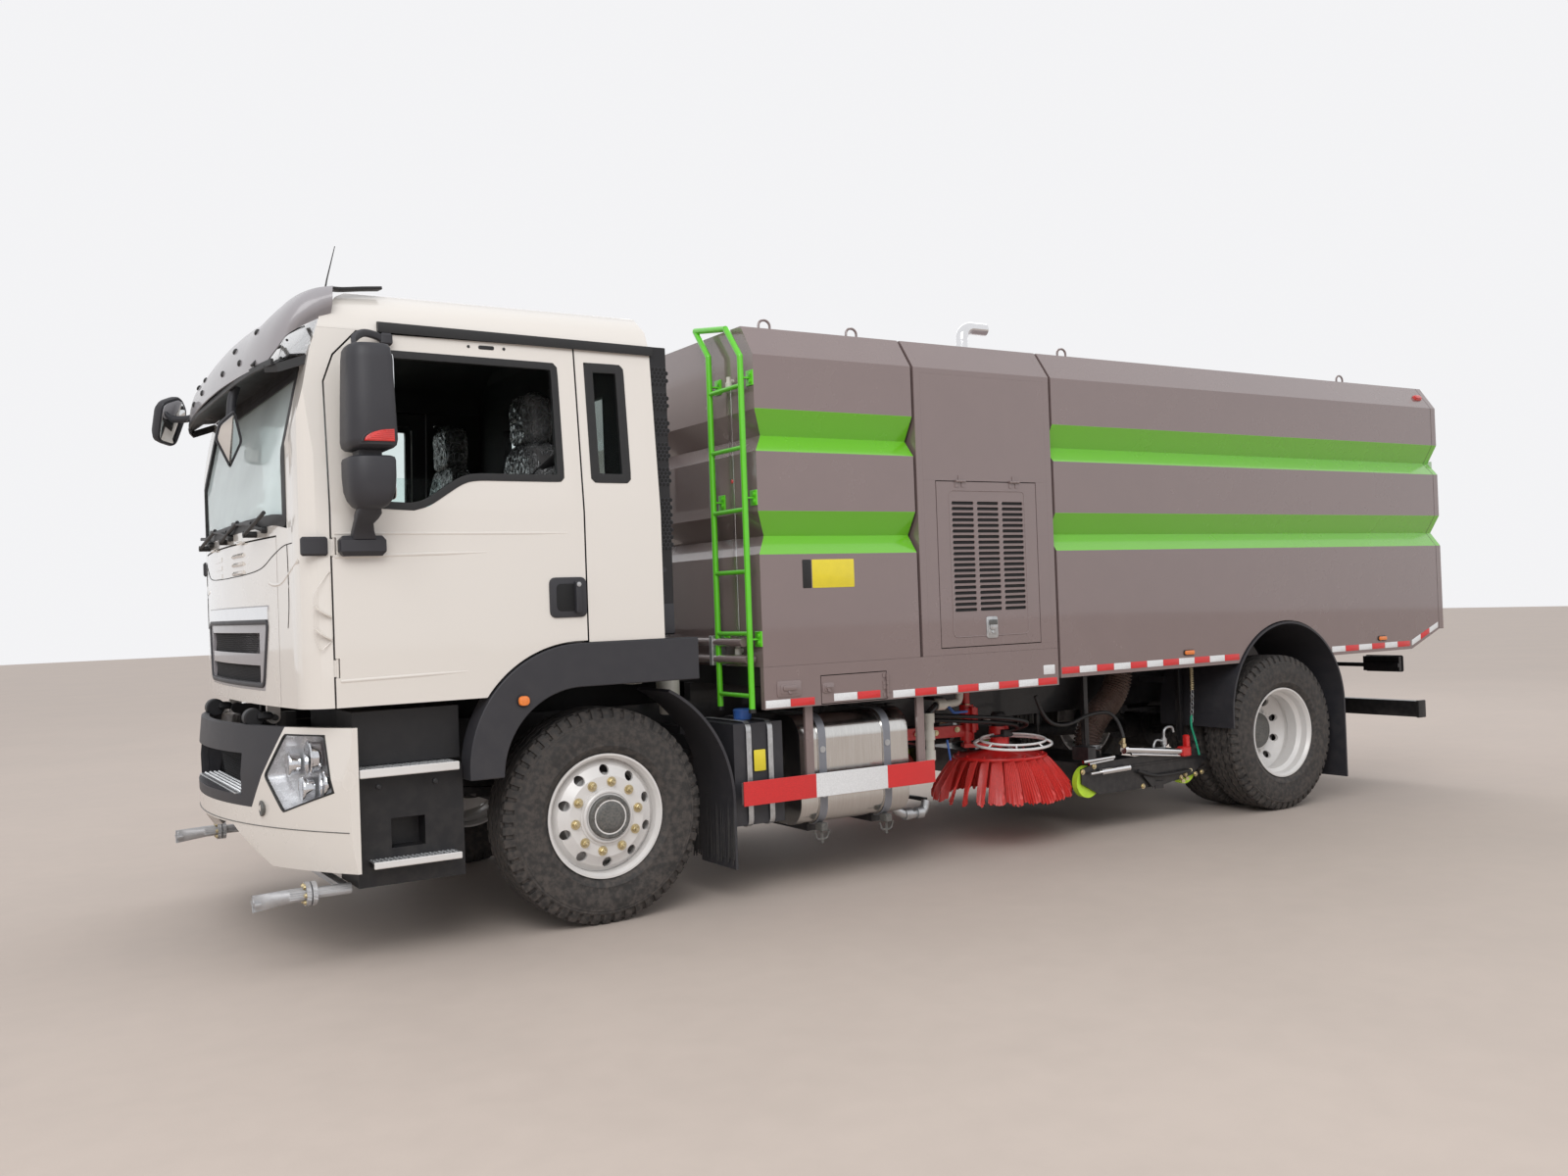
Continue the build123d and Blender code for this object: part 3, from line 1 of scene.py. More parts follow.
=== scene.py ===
"""Dresses the street sweeper truck: camera, light and floor, finishes for the solids, and the pieces
that the solids leave plain, such as tread, lamps, louvres, bristles and trim.

Lengths are in metres. Stations are measured forward of the front axle, as the vehicle's own frame does,
and every new mesh is moved by axle_x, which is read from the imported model. A shape is a pair: an array of
points, and a list of face blocks, each an array with one row of point numbers for each face.
"""
import json
import math

import bmesh
import bpy
import numpy as np
from mathutils import Matrix, Vector

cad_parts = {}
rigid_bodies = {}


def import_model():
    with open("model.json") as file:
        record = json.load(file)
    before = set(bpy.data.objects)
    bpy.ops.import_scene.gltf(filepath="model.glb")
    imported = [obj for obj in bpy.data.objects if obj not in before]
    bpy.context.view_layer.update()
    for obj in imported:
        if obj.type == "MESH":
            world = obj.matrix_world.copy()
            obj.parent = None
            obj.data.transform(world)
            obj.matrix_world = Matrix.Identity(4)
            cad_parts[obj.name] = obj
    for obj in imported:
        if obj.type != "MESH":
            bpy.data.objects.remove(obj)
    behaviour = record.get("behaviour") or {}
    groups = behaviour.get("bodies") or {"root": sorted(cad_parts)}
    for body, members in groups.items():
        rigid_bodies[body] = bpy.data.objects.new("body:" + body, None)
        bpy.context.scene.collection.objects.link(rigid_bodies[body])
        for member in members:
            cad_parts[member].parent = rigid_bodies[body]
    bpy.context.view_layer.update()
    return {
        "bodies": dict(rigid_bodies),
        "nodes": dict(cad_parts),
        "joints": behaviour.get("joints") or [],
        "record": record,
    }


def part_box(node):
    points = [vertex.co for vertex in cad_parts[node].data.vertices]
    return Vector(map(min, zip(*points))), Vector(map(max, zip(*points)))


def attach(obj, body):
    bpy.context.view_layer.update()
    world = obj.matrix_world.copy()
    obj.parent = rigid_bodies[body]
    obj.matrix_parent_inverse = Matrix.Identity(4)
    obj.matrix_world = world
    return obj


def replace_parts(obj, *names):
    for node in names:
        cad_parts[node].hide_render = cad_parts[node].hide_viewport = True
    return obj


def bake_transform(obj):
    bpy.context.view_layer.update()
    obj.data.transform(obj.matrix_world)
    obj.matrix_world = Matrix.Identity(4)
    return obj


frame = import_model()
nodes = frame["nodes"]


def middle(node):
    """The centre of a solid's box."""
    low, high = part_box(node)
    return (low + high) / 2


axle_x = middle("tyre_front_left").x
wheel_z = middle("tyre_front_left").z
rear_axle = middle("tyres_rear_left").x - axle_x
tyre_radius = wheel_z
body_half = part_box("water_tank")[1].y
body_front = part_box("water_tank")[1].x - axle_x

# The photograph's frame in pixels, and the camera that was solved from it
photo_width = 1600
focal_pixels = 1358.5
camera_place = (2.7011, 7.1013, 1.5377)
camera_azimuth = -2.13375808
camera_elevation = 0.01035254
camera_roll = -0.03576927
sensor_width = 36.0


# Camera
def make_camera():
    """The photograph's viewpoint: azimuth and elevation give the view line, roll turns the frame about it."""
    look = Vector((math.cos(camera_elevation) * math.cos(camera_azimuth),
                   math.cos(camera_elevation) * math.sin(camera_azimuth), math.sin(camera_elevation)))
    level = look.cross(Vector((0, 0, 1))).normalized()
    up = level.cross(look)
    right = level * math.cos(camera_roll) + up * math.sin(camera_roll)
    top = up * math.cos(camera_roll) - level * math.sin(camera_roll)
    data = bpy.data.cameras.new("camera")
    data.sensor_width = sensor_width
    data.lens = focal_pixels / photo_width * sensor_width
    data.clip_end = 300
    camera = bpy.data.objects.new("camera", data)
    bpy.context.scene.collection.objects.link(camera)
    turn = Matrix((right, top, -look)).transposed().to_4x4()
    camera.matrix_world = Matrix.Translation(Vector(camera_place) + Vector((axle_x, 0, 0))) @ turn
    bpy.context.scene.camera = camera
    bpy.context.scene.view_settings.view_transform = "Standard"


# Finishes, as shader nodes
def feed(tree, socket, value):
    """Links a socket to another one, or sets its number, vector or colour."""
    if isinstance(value, bpy.types.NodeSocket):
        tree.links.new(value, socket)
    elif socket.type == "RGBA":
        socket.default_value = (*value, 1.0)
    else:
        socket.default_value = value


def add(tree, kind, inputs=(), **properties):
    """A node of that kind with its properties set and its inputs fed, by name or number."""
    node = tree.nodes.new(kind)
    for name, value in properties.items():
        setattr(node, name, value)
    for key, value in dict(inputs).items():
        if value is not None:
            feed(tree, node.inputs[key], value)
    return node


def math_node(tree, operation, a, b=None, clamp=False):
    """One sum on two sockets or numbers, and its result."""
    return add(tree, "ShaderNodeMath", {0: a, 1: b}, operation=operation, use_clamp=clamp).outputs[0]


def mix_colour(tree, factor, first, second):
    """Two colours, sockets or values, mixed by a factor."""
    return add(tree, "ShaderNodeMix", {0: factor, 6: first, 7: second}, data_type="RGBA").outputs[2]


def split(tree, vector):
    """The x, y and z of a vector."""
    return add(tree, "ShaderNodeSeparateXYZ", {0: vector}).outputs


def patches(tree, coords, size, detail=3.0, stretch=(1, 1, 1)):
    """Noise with features of about `size` metres, as a factor."""
    mapping = add(tree, "ShaderNodeMapping", {"Vector": coords, "Scale": stretch})
    noise = {"Vector": mapping.outputs[0], "Scale": 1 / size, "Detail": detail, "Roughness": 0.55}
    return add(tree, "ShaderNodeTexNoise", noise).outputs[0]


def ramp(tree, factor, low, high, start=0.0, end=1.0):
    """factor stretched from low..high to start..end, smoothly."""
    limits = {0: factor, 1: low, 2: high, 3: start, 4: end}
    return add(tree, "ShaderNodeMapRange", limits, interpolation_type="SMOOTHSTEP").outputs[0]


def start_material(name):
    """A new material, its tree and its object coordinates."""
    material = bpy.data.materials.new(name)
    material.use_nodes = True
    tree = material.node_tree
    return material, tree, add(tree, "ShaderNodeTexCoord").outputs["Object"]


def shade(tree, inputs):
    """Feeds the inputs of a material's shader."""
    for name, value in inputs.items():
        feed(tree, tree.nodes["Principled BSDF"].inputs[name], value)


def bumped(tree, height, depth):
    """Relief of a depth in metres, on the shader's normal."""
    bump = add(tree, "ShaderNodeBump", {"Strength": 1.0, "Distance": depth, "Height": height})
    shade(tree, {"Normal": bump.outputs[0]})


def finish(name, colour, rough=0.5, metal=0.0, coat=0.0, change=0.06, patch=0.6, rough_change=0.06,
           grain=0.0, grain_size=0.003, stretch=(1, 1, 1), dust=0.0, dust_top=1.2,
           dust_colour=(0.36, 0.31, 0.26)):
    """A surface whose colour varies by `change` over patches, whose roughness varies with it, with a bump
    `grain` metres deep, and with dust that thins out towards the height dust_top."""
    material, tree, coords = start_material(name)
    wide = patches(tree, coords, patch, stretch=stretch)
    fine = patches(tree, coords, patch / 9, 5.0, stretch)
    scales = math_node(tree, "ADD", math_node(tree, "MULTIPLY", wide, 0.6),
                       math_node(tree, "MULTIPLY", fine, 0.4))
    dark = tuple(c * (1 - change) for c in colour)
    light = tuple(min(1.0, c * (1 + change)) for c in colour)
    tint = mix_colour(tree, ramp(tree, scales, 0.3, 0.7), dark, light)
    roughness = ramp(tree, scales, 0.25, 0.75, max(0.02, rough - rough_change),
                     min(1.0, rough + rough_change))
    if dust:
        low = ramp(tree, split(tree, coords)[2], 0.0, dust_top, 1.0, 0.15)
        veil = math_node(tree, "MULTIPLY", low, ramp(tree, fine, 0.35, 0.7))
        veil = math_node(tree, "MULTIPLY", veil, dust, True)
        tint = mix_colour(tree, veil, tint, dust_colour)
        roughness = math_node(tree, "ADD", roughness, math_node(tree, "MULTIPLY", veil, 0.4), True)
    shade(tree, {"Base Color": tint, "Roughness": roughness, "Metallic": metal, "Coat Weight": coat,
                 "Coat Roughness": 0.04})
    if grain:
        bumped(tree, patches(tree, coords, grain_size, 2.0), grain)
    return material


taupe = (0.216, 0.160, 0.155)
apple_green = (0.150, 0.52, 0.012)
groove_bands = [(2.320, 2.541), (1.785, 2.011)]


def body_finish():
    """Glossy taupe, with apple green on the faces of the V grooves that look to a side."""
    material = finish("body_paint_grooved", taupe, 0.26, coat=1.0, change=0.035, patch=1.6, grain=0.00025,
                      grain_size=0.16)
    tree = material.node_tree
    tint = tree.nodes["Principled BSDF"].inputs["Base Color"].links[0].from_socket
    texture = add(tree, "ShaderNodeTexCoord")
    _, across, height = split(tree, texture.outputs["Object"])
    facing = split(tree, texture.outputs["Normal"])[1]
    inside = 0.0
    for low, high in groove_bands:
        above = math_node(tree, "GREATER_THAN", height, low)
        below = math_node(tree, "LESS_THAN", height, high)
        inside = math_node(tree, "ADD", math_node(tree, "MULTIPLY", above, below), inside)
    outer = math_node(tree, "GREATER_THAN", math_node(tree, "ABSOLUTE", across), body_half - 0.08)
    sideways = math_node(tree, "GREATER_THAN", math_node(tree, "ABSOLUTE", facing), 0.35)
    mask = math_node(tree, "MULTIPLY", math_node(tree, "MULTIPLY", inside, outer), sideways)
    shade(tree, {"Base Color": mix_colour(tree, mask, tint, apple_green)})
    return material


def glass(name, tint, rough=0.02, see=1.0):
    """Thin glass, tinted, with faint smears in its gloss: clear by the share `see`, the rest a diffuse tint.
    """
    material, tree, coords = start_material(name)
    smear = patches(tree, coords, 0.25, 4.0)
    colour = mix_colour(tree, ramp(tree, smear, 0.3, 0.7), tint, tuple(c * 0.94 for c in tint))
    shade(tree, {"Base Color": colour, "Roughness": ramp(tree, smear, 0.4, 0.7, rough, rough + 0.05),
                 "Transmission Weight": see, "IOR": 1.1})
    return material


def film_finish():
    """Crumpled clear protective film: sharp creases that catch the light."""
    material, tree, coords = start_material("clear_film")
    creases = {"Vector": coords, "Scale": 26.0}
    creases = add(tree, "ShaderNodeTexVoronoi", creases, feature="DISTANCE_TO_EDGE").outputs[0]
    bumped(tree, creases, 0.012)
    shade(tree, {"Base Color": (0.9, 0.92, 0.93), "Roughness": ramp(tree, creases, 0.0, 0.1, 0.3, 0.06),
                 "Transmission Weight": 0.92, "IOR": 1.3})
    return material


def tyre_finish():
    """Rubber: near black on the tread, dusty brown on the side walls, with fine moulding rings."""
    return finish("tyre_rubber", (0.030, 0.028, 0.027), 0.66, change=0.12, patch=0.25, grain=0.0002,
                  grain_size=0.002, dust=0.70, dust_top=2.6, dust_colour=(0.115, 0.098, 0.088))


def weave_finish(name, colour):
    """Seat cloth: a fine two-way weave over a mottled colour."""
    material = finish(name, colour, 0.85, change=0.2, patch=0.08, grain=0.0008, grain_size=0.0022)
    shade(material.node_tree, {"Sheen Weight": 0.3})
    return material


def brushed_finish(name, colour, rough, stretch):
    """Polished metal with fine drawn lines along one axis."""
    return finish(name, colour, rough, 1.0, change=0.08, patch=0.15, rough_change=0.08, grain=0.00006,
                  grain_size=0.004, stretch=stretch)


def reflector_finish(name, colour):
    """Prismatic reflective sheet: a honeycomb of small cells under a clear layer."""
    material, tree, coords = start_material(name)
    cells = add(tree, "ShaderNodeTexVoronoi", {"Vector": coords, "Scale": 190.0}).outputs["Distance"]
    tint = mix_colour(tree, ramp(tree, cells, 0.2, 0.6), colour, tuple(c * 0.86 for c in colour))
    shade(tree, {"Base Color": tint, "Roughness": 0.35, "Coat Weight": 0.5})
    return material


# Plain finishes, by columns: material name, colour, roughness, metal, coat, change of colour over patches,
# patch size, depth and size of the grain, and dust
plain_finishes = {
    "bowl": ("lamp_bowl", (0.74, 0.74, 0.76), 0.26, 0.25, 0, 0.08, 0.04, 0.0002, 0.01, 0),
    "white_bar": ("white_bar", (0.78, 0.78, 0.77), 0.35, 0, 0.5, 0.04, 0.1, 0, 0.003, 0.1),
    "spray": ("cast_silver", (0.42, 0.42, 0.43), 0.45, 0.5, 0, 0.15, 0.08, 0.0005, 0.005, 0.15),
    "strap": ("strap_grey", (0.235, 0.245, 0.275), 0.38, 0.3, 0.3, 0.06, 0.2, 0.0001, 0.004, 0),
    # near-black lining for the cab's inside faces: painted shade of the cab's inside
    "lining": ("painted_shade_lining", (0.022, 0.022, 0.024), 0.75, 0, 0, 0.12, 0.3, 0.0003, 0.002, 0),
    "cab": ("cab_paint_gloss", (0.745, 0.705, 0.655), 0.24, 0, 1.0, 0.006, 2.6, 0.00006, 0.05, 0.07),
    "plain_body": ("body_paint_plain", taupe, 0.26, 0, 1.0, 0.035, 1.6, 0.00025, 0.16, 0),
    "green": ("ladder_green", (0.115, 0.60, 0.012), 0.32, 0, 0.6, 0.05, 0.3, 0.0002, 0.01, 0),
    "red": ("gear_red", (0.66, 0.012, 0.012), 0.35, 0, 0.5, 0.10, 0.2, 0.0002, 0.008, 0.10),
    "bristle": ("bristle_red", (0.62, 0.045, 0.038), 0.45, 0, 0.2, 0.14, 0.06, 0.0008, 0.005, 0),
    "chassis": ("chassis_black", (0.012, 0.012, 0.014), 0.40, 0, 0.25, 0.15, 0.4, 0.0002, 0.006, 0.06),
    "plastic": ("charcoal_plastic", (0.030, 0.030, 0.036), 0.52, 0, 0, 0.05, 0.6, 0.00012, 0.0018, 0.04),
    "step": ("step_plastic", (0.0075, 0.0075, 0.0095), 0.50, 0, 0, 0.08, 0.5, 0.00012, 0.002, 0.05),
    "visor": ("visor_grey", (0.30, 0.285, 0.300), 0.34, 0, 0.5, 0.04, 0.6, 0.00005, 0.004, 0),
    "cast": ("cast_iron", (0.030, 0.030, 0.033), 0.60, 0.3, 0, 0.2, 0.2, 0.0006, 0.005, 0.12),
    "silver": ("wheel_silver", (0.74, 0.725, 0.71), 0.40, 0.15, 0, 0.04, 0.3, 0.00008, 0.004, 0.08),
    "hub": ("hub_grey", (0.115, 0.118, 0.115), 0.48, 0.3, 0, 0.2, 0.08, 0.0006, 0.005, 0.3),
    "brass": ("yellow_zinc", (0.62, 0.53, 0.33), 0.34, 0.9, 0, 0.2, 0.03, 0.0002, 0.003, 0),
    "chrome": ("bright_chrome", (0.80, 0.80, 0.81), 0.08, 1.0, 0, 0.04, 0.1, 0, 0.003, 0),
    "steel": ("galvanised_steel", (0.52, 0.53, 0.54), 0.38, 0.85, 0, 0.18, 0.04, 0.0005, 0.006, 0),
    "grey_rubber": ("black_rubber", (0.012, 0.012, 0.013), 0.5, 0, 0, 0.12, 0.2, 0.00015, 0.002, 0.05),
    "hose": ("suction_hose", (0.155, 0.105, 0.088), 0.28, 0, 0.9, 0.15, 0.1, 0, 0.003, 0),
    "lime": ("lime_rubber", (0.56, 0.86, 0.04), 0.5, 0, 0, 0.1, 0.05, 0.0005, 0.004, 0.15),
    "dash": ("dash_plastic", (0.060, 0.060, 0.062), 0.6, 0, 0, 0.1, 0.3, 0.0005, 0.003, 0),
    "yellow": ("blank_yellow_label", (0.80, 0.66, 0.03), 0.35, 0, 0.4, 0.04, 0.05, 0, 0.003, 0),
    "amber": ("amber_lens", (0.85, 0.22, 0.03), 0.18, 0, 0.8, 0.12, 0.02, 0.0012, 0.006, 0),
    "ruby": ("red_lens", (0.62, 0.03, 0.025), 0.18, 0, 0.8, 0.12, 0.02, 0.0012, 0.006, 0),
    "blue": ("blue_plastic", (0.03, 0.10, 0.34), 0.4, 0, 0, 0.1, 0.05, 0.0004, 0.003, 0),
    "rope": ("green_rope", (0.015, 0.33, 0.18), 0.8, 0, 0, 0.3, 0.01, 0.002, 0.004, 0),
    "mirror": ("mirror_glass", (0.75, 0.77, 0.78), 0.03, 1.0, 0, 0.01, 0.3, 0, 0.003, 0),
    "canister": ("filter_cream", (0.62, 0.60, 0.54), 0.4, 0, 0.3, 0.08, 0.1, 0.0003, 0.005, 0.2),
    # near-black sheet: painted shade in slots, holes, recesses and body gaps, and the dark seams of the front
    # flap
    "black_void": ("painted_shade_and_seam_black", (0.008, 0.008, 0.009), 0.8, 0, 0, 0.2, 0.1, 0, 0.003, 0),
}
# What a few of them have besides
finish_extras = {
    "cab": {"dust_top": 1.0},
    "bristle": {"stretch": (6, 6, 0.6)},
    "plastic": {"dust_top": 1.6},
    "silver": {"rough_change": 0.05, "dust_top": 1.6},
    "hub": {"dust_top": 1.6},
    "chrome": {"rough_change": 0.04},
    "mirror": {"rough_change": 0.01},
}


def from_table(key, name, colour, rough, metal, coat, change, patch, grain, grain_size, dust):
    """The finish of one row of the table."""
    return finish(name, colour, rough, metal, coat, change, patch, grain=grain, grain_size=grain_size,
                  dust=dust, **finish_extras.get(key, {}))


paint = {key: from_table(key, *row) for key, row in plain_finishes.items()}
paint.update({
    # the windscreen is only half clear: its pale diffuse half is a painted sky reflection
    "screen": glass("windscreen_glass_painted_sky", (0.86, 0.95, 0.95), see=0.50),
    "body": body_finish(),
    "tyre": tyre_finish(),
    "alloy": brushed_finish("polished_alloy", (0.66, 0.65, 0.63), 0.20, (30, 1, 1)),
    "window": glass("window_glass", (0.80, 0.90, 0.88)),
    "clear": glass("lamp_cover", (0.95, 0.96, 0.97), 0.01),
    "trim": weave_finish("seat_cloth", (0.075, 0.072, 0.072)),
    "film": film_finish(),
    "white_sheet": reflector_finish("white_reflector", (0.84, 0.85, 0.86)),
    "red_sheet": reflector_finish("red_reflector", (0.72, 0.020, 0.022)),
})

node_finish = {
    "cab": ["cab_shell", "door_left", "door_right", "front_flap", "front_bumper"],
    "body": ["water_tank", "hopper", "rear_door"],
    "plain_body": ["engine_housing", "louvre_door_left", "louvre_door_right", "body_sills", "filler_flap"],
    "green": ["ladder"],
    "red": ["brush_arm_left", "brush_arm_right", "brush_head_left", "brush_head_right"],
    "bristle": ["side_brush_left", "side_brush_right"],
    "chassis": ["chassis_frame", "guard_rails", "suction_nozzle", "tipping_barrels"],
    "plastic": ["cab_trim", "mirror_left", "mirror_right", "mudguards", "chassis_boxes", "grille",
                "bumper_panel"],
    "step": ["step_boxes"],
    "cast": ["engine_blocks", "axles", "knuckle_left", "knuckle_right", "tie_rod"],
    "silver": ["wheel_front_left", "wheel_front_right", "wheels_rear_left", "wheels_rear_right"],
    "tyre": ["tyre_front_left", "tyre_front_right", "tyres_rear_left", "tyres_rear_right"],
    "alloy": ["fuel_tank"],
    "chrome": ["exhaust_stack", "tipping_rods"],
    "window": ["cab_glass", "door_glass_left", "door_glass_right"],
    "clear": ["lamps"],
    "dash": ["cab_interior"],
    "hose": ["suction_hoses"],
    "lime": ["nozzle_wheel_front_left", "nozzle_wheel_front_right", "nozzle_wheel_rear_left",
             "nozzle_wheel_rear_right"],
}


def dress_nodes():
    """Every solid gets its finish."""
    for name, members in node_finish.items():
        for member in members:
            data = nodes[member].data
            data.materials.clear()
            data.materials.append(paint[name])


# Each side's name and the way it lies
sides = (("left", 1), ("right", -1))

# An outline's two axes exchanged
swap_axes = np.array([[0, 1], [1, 0]])


# Shape making: grids, sweeps, turned forms and plates, all as whole arrays
def grid(points, close_rows=False, close_columns=False, caps=False):
    """Four-cornered faces over an array of points (rows, columns, 3); caps fill the first and last row."""
    rows, columns = points.shape[:2]
    index = np.arange(rows * columns).reshape(rows, columns)
    ring = index
    if close_rows:
        ring = np.vstack([ring, ring[:1]])
    if close_columns:
        ring = np.hstack([ring, ring[:, :1]])
    quads = np.stack([ring[:-1, :-1], ring[1:, :-1], ring[1:, 1:], ring[:-1, 1:]], -1).reshape(-1, 4)
    blocks = [quads]
    if caps:
        blocks += [index[:1, ::-1], index[-1:, :]]
    return points.reshape(-1, 3), blocks


def joined(*forms):
    """Several shapes as one."""
    points, blocks, base = [], [], 0
    for form_points, form_blocks in forms:
        points.append(form_points)
        blocks += [block + base for block in form_blocks]
        base += len(form_points)
    return np.vstack(points), blocks


def moved(form, by):
    """The shape shifted."""
    return form[0] + np.array(by, float), form[1]


def mirrored(form):
    """The shape on the right-hand side."""
    return form[0] * np.array([1, -1, 1]), [block[:, ::-1] for block in form[1]]


def both(form):
    """The shape and its mirror image."""
    return joined(form, mirrored(form))


def repeated(form, matrices):
    """The shape at each of several 4x4 matrices: points times every matrix at once."""
    points, blocks = form
    flat = np.c_[points, np.ones(len(points))]
    matrices = np.asarray(matrices, float)
    spread = np.einsum("kij,nj->kni", matrices, flat)[..., :3].reshape(-1, 3)
    shift = (np.arange(len(matrices)) * len(points))[:, None, None]
    return spread, [(block[None] + shift).reshape(-1, block.shape[1]) for block in blocks]


def at_places(form, places):
    """The shape copied to each of several points."""
    matrices = np.tile(np.eye(4), (len(places), 1, 1))
    matrices[:, :3, 3] = places
    return repeated(form, matrices)


def turned_copies(form, angles, centre, axis):
    """The shape turned by each angle about an axis (x, y or z) through a centre."""
    first, second = {"x": (1, 2), "y": (2, 0), "z": (0, 1)}[axis]
    matrices = np.tile(np.eye(4), (len(angles), 1, 1))
    cos, sin = np.cos(angles), np.sin(angles)
    matrices[:, first, first] = cos
    matrices[:, second, second] = cos
    matrices[:, first, second] = -sin
    matrices[:, second, first] = sin
    centre = np.array(centre, float)
    matrices[:, :3, 3] = centre - np.einsum("kij,j->ki", matrices[:, :3, :3], centre)
    return repeated(form, matrices)


def unit(vector):
    """A vector, or rows of vectors, of length one."""
    vector = np.asarray(vector, float)
    return vector / np.maximum(np.linalg.norm(vector, axis=-1, keepdims=True), 1e-12)


def smooth_path(points, steps=8):
    """A curve through the points: Catmull-Rom spans, each cut into `steps`."""
    p = np.asarray(points, float)
    p = np.vstack([2 * p[0] - p[1], p, 2 * p[-1] - p[-2]])
    t = np.linspace(0, 1, steps, endpoint=False)[None, :, None]
    a, b, c, d = (p[i:len(p) - 3 + i][:, None, :] for i in range(4))
    spans = 0.5 * (2 * b + (c - a) * t + (2 * a - 5 * b + 4 * c - d) * t ** 2
                   + (3 * b - a - 3 * c + d) * t ** 3)
    return np.vstack([spans.reshape(-1, 3), p[-2:-1]])


def swept(profile, path, up=(0, 0, 1), close_path=False, sizes=None):
    """A closed outline (n, 2) carried along a path (m, 3): its first axis is the path's direction crossed
    with up, its second completes the frame, and sizes scales it at each point."""
    path = np.asarray(path, float)
    profile = np.asarray(profile, float)
    if close_path:
        along = unit(np.roll(path, -1, 0) - np.roll(path, 1, 0))
    else:
        along = unit(np.gradient(path, axis=0))
    side = unit(np.cross(along, np.broadcast_to(np.asarray(up, float), along.shape)))
    above = np.cross(side, along)
    scale = np.ones(len(path)) if sizes is None else np.asarray(sizes, float)
    points = path[:, None, :] + scale[:, None, None] * (profile[None, :, :1] * side[:, None]
                                                        + profile[None, :, 1:] * above[:, None])
    return grid(points, close_rows=close_path, close_columns=True, caps=not close_path)


def ring_outline(radius, sides=16):
    """A circle as an outline."""
    angle = np.linspace(0, 2 * np.pi, sides, endpoint=False)
    return np.c_[radius * np.cos(angle), radius * np.sin(angle)]


def tube(path, radius, up=(0, 0, 1), sides=14, close_path=False, sizes=None):
    """A round bar or pipe along a path."""
    return swept(ring_outline(radius, sides), path, up, close_path, sizes)


def bent(points, radius, up=(0, 0, 1), sides=14, steps=6):
    """A round bar or pipe bent smoothly through points."""
    return tube(smooth_path(points, steps), radius, up, sides)


def straight(a, b, radius, sides=14):
    """A round bar between two points."""
    up = (1, 0, 0) if abs(unit(np.subtract(b, a))[2]) > 0.9 else (0, 0, 1)
    return tube([a, b], radius, up, sides)


def lathe(profile, centre, axis="y", steps=64):
    """A profile (n, 2) of radius and distance along the axis, turned about the axis through the centre.
    A profile that ends at radius zero is closed by its caps, so it starts and ends near the axis."""
    profile = np.asarray(profile, float)
    angle = np.linspace(0, 2 * np.pi, steps, endpoint=False)
    first, second, third = {"x": (1, 2, 0), "y": (2, 0, 1), "z": (0, 1, 2)}[axis]
    points = np.zeros((len(profile), steps, 3))
    points[..., first] = profile[:, :1] * np.cos(angle)
    points[..., second] = profile[:, :1] * np.sin(angle)
    points[..., third] = profile[:, 1:]
    return grid(points + np.array(centre, float), close_columns=True, caps=True)


def drum(radius, low, high, centre, axis="y", steps=64):
    """A plain round form along an axis, from low to high."""
    return lathe([(0.001, low), (radius, low), (radius, high), (0.001, high)], centre, axis, steps)


def rounded(corners, radius, steps=5):
    """An outline with each corner rounded by an arc-like quadratic bend of that reach."""
    p = np.asarray(corners, float)
    back = np.roll(p, 1, 0) - p
    ahead = np.roll(p, -1, 0) - p
    reach = np.broadcast_to(np.asarray(radius, float), len(p))[:, None]
    back_reach = np.minimum(reach, 0.49 * np.linalg.norm(back, axis=1, keepdims=True))
    ahead_reach = np.minimum(reach, 0.49 * np.linalg.norm(ahead, axis=1, keepdims=True))
    start = p + unit(back) * back_reach
    end = p + unit(ahead) * ahead_reach
    t = np.linspace(0, 1, steps)[None, :, None]
    bend = (1 - t) ** 2 * start[:, None] + 2 * t * (1 - t) * p[:, None] + t ** 2 * end[:, None]
    return bend.reshape(-1, 2)


def rectangle(width, height, radius=0.004, steps=4):
    """A rounded rectangle about the origin."""
    w, h = width / 2, height / 2
    return rounded([(-w, -h), (w, -h), (w, h), (-w, h)], radius, steps)


def shrunk(outline, by):
    """An outline moved inwards along its own normals; it runs anticlockwise."""
    ahead = np.roll(outline, -1, 0) - np.roll(outline, 1, 0)
    normal = unit(np.c_[ahead[:, 1], -ahead[:, 0]])
    area = np.sum(outline[:, 0] * np.roll(outline[:, 1], -1) - np.roll(outline[:, 0], -1) * outline[:, 1])
    return outline - np.sign(area) * by * normal


def stacked(levels, caps=True):
    """Outlines (n, 2), each at its height, joined into a form."""
    rings = [np.c_[shape, np.full(len(shape), level)] for shape, level in levels]
    return grid(np.stack(rings), close_columns=True, caps=caps)


def plate(outline, depth, edge=0.002):
    """An outline made solid from 0 to depth, with its front edge chamfered and bevelled in two steps."""
    edge = min(edge, depth * 0.45)
    return stacked([(outline, 0.0), (outline, depth - edge),
                    (shrunk(outline, edge * 0.3), depth - edge * 0.3), (shrunk(outline, edge), depth)])


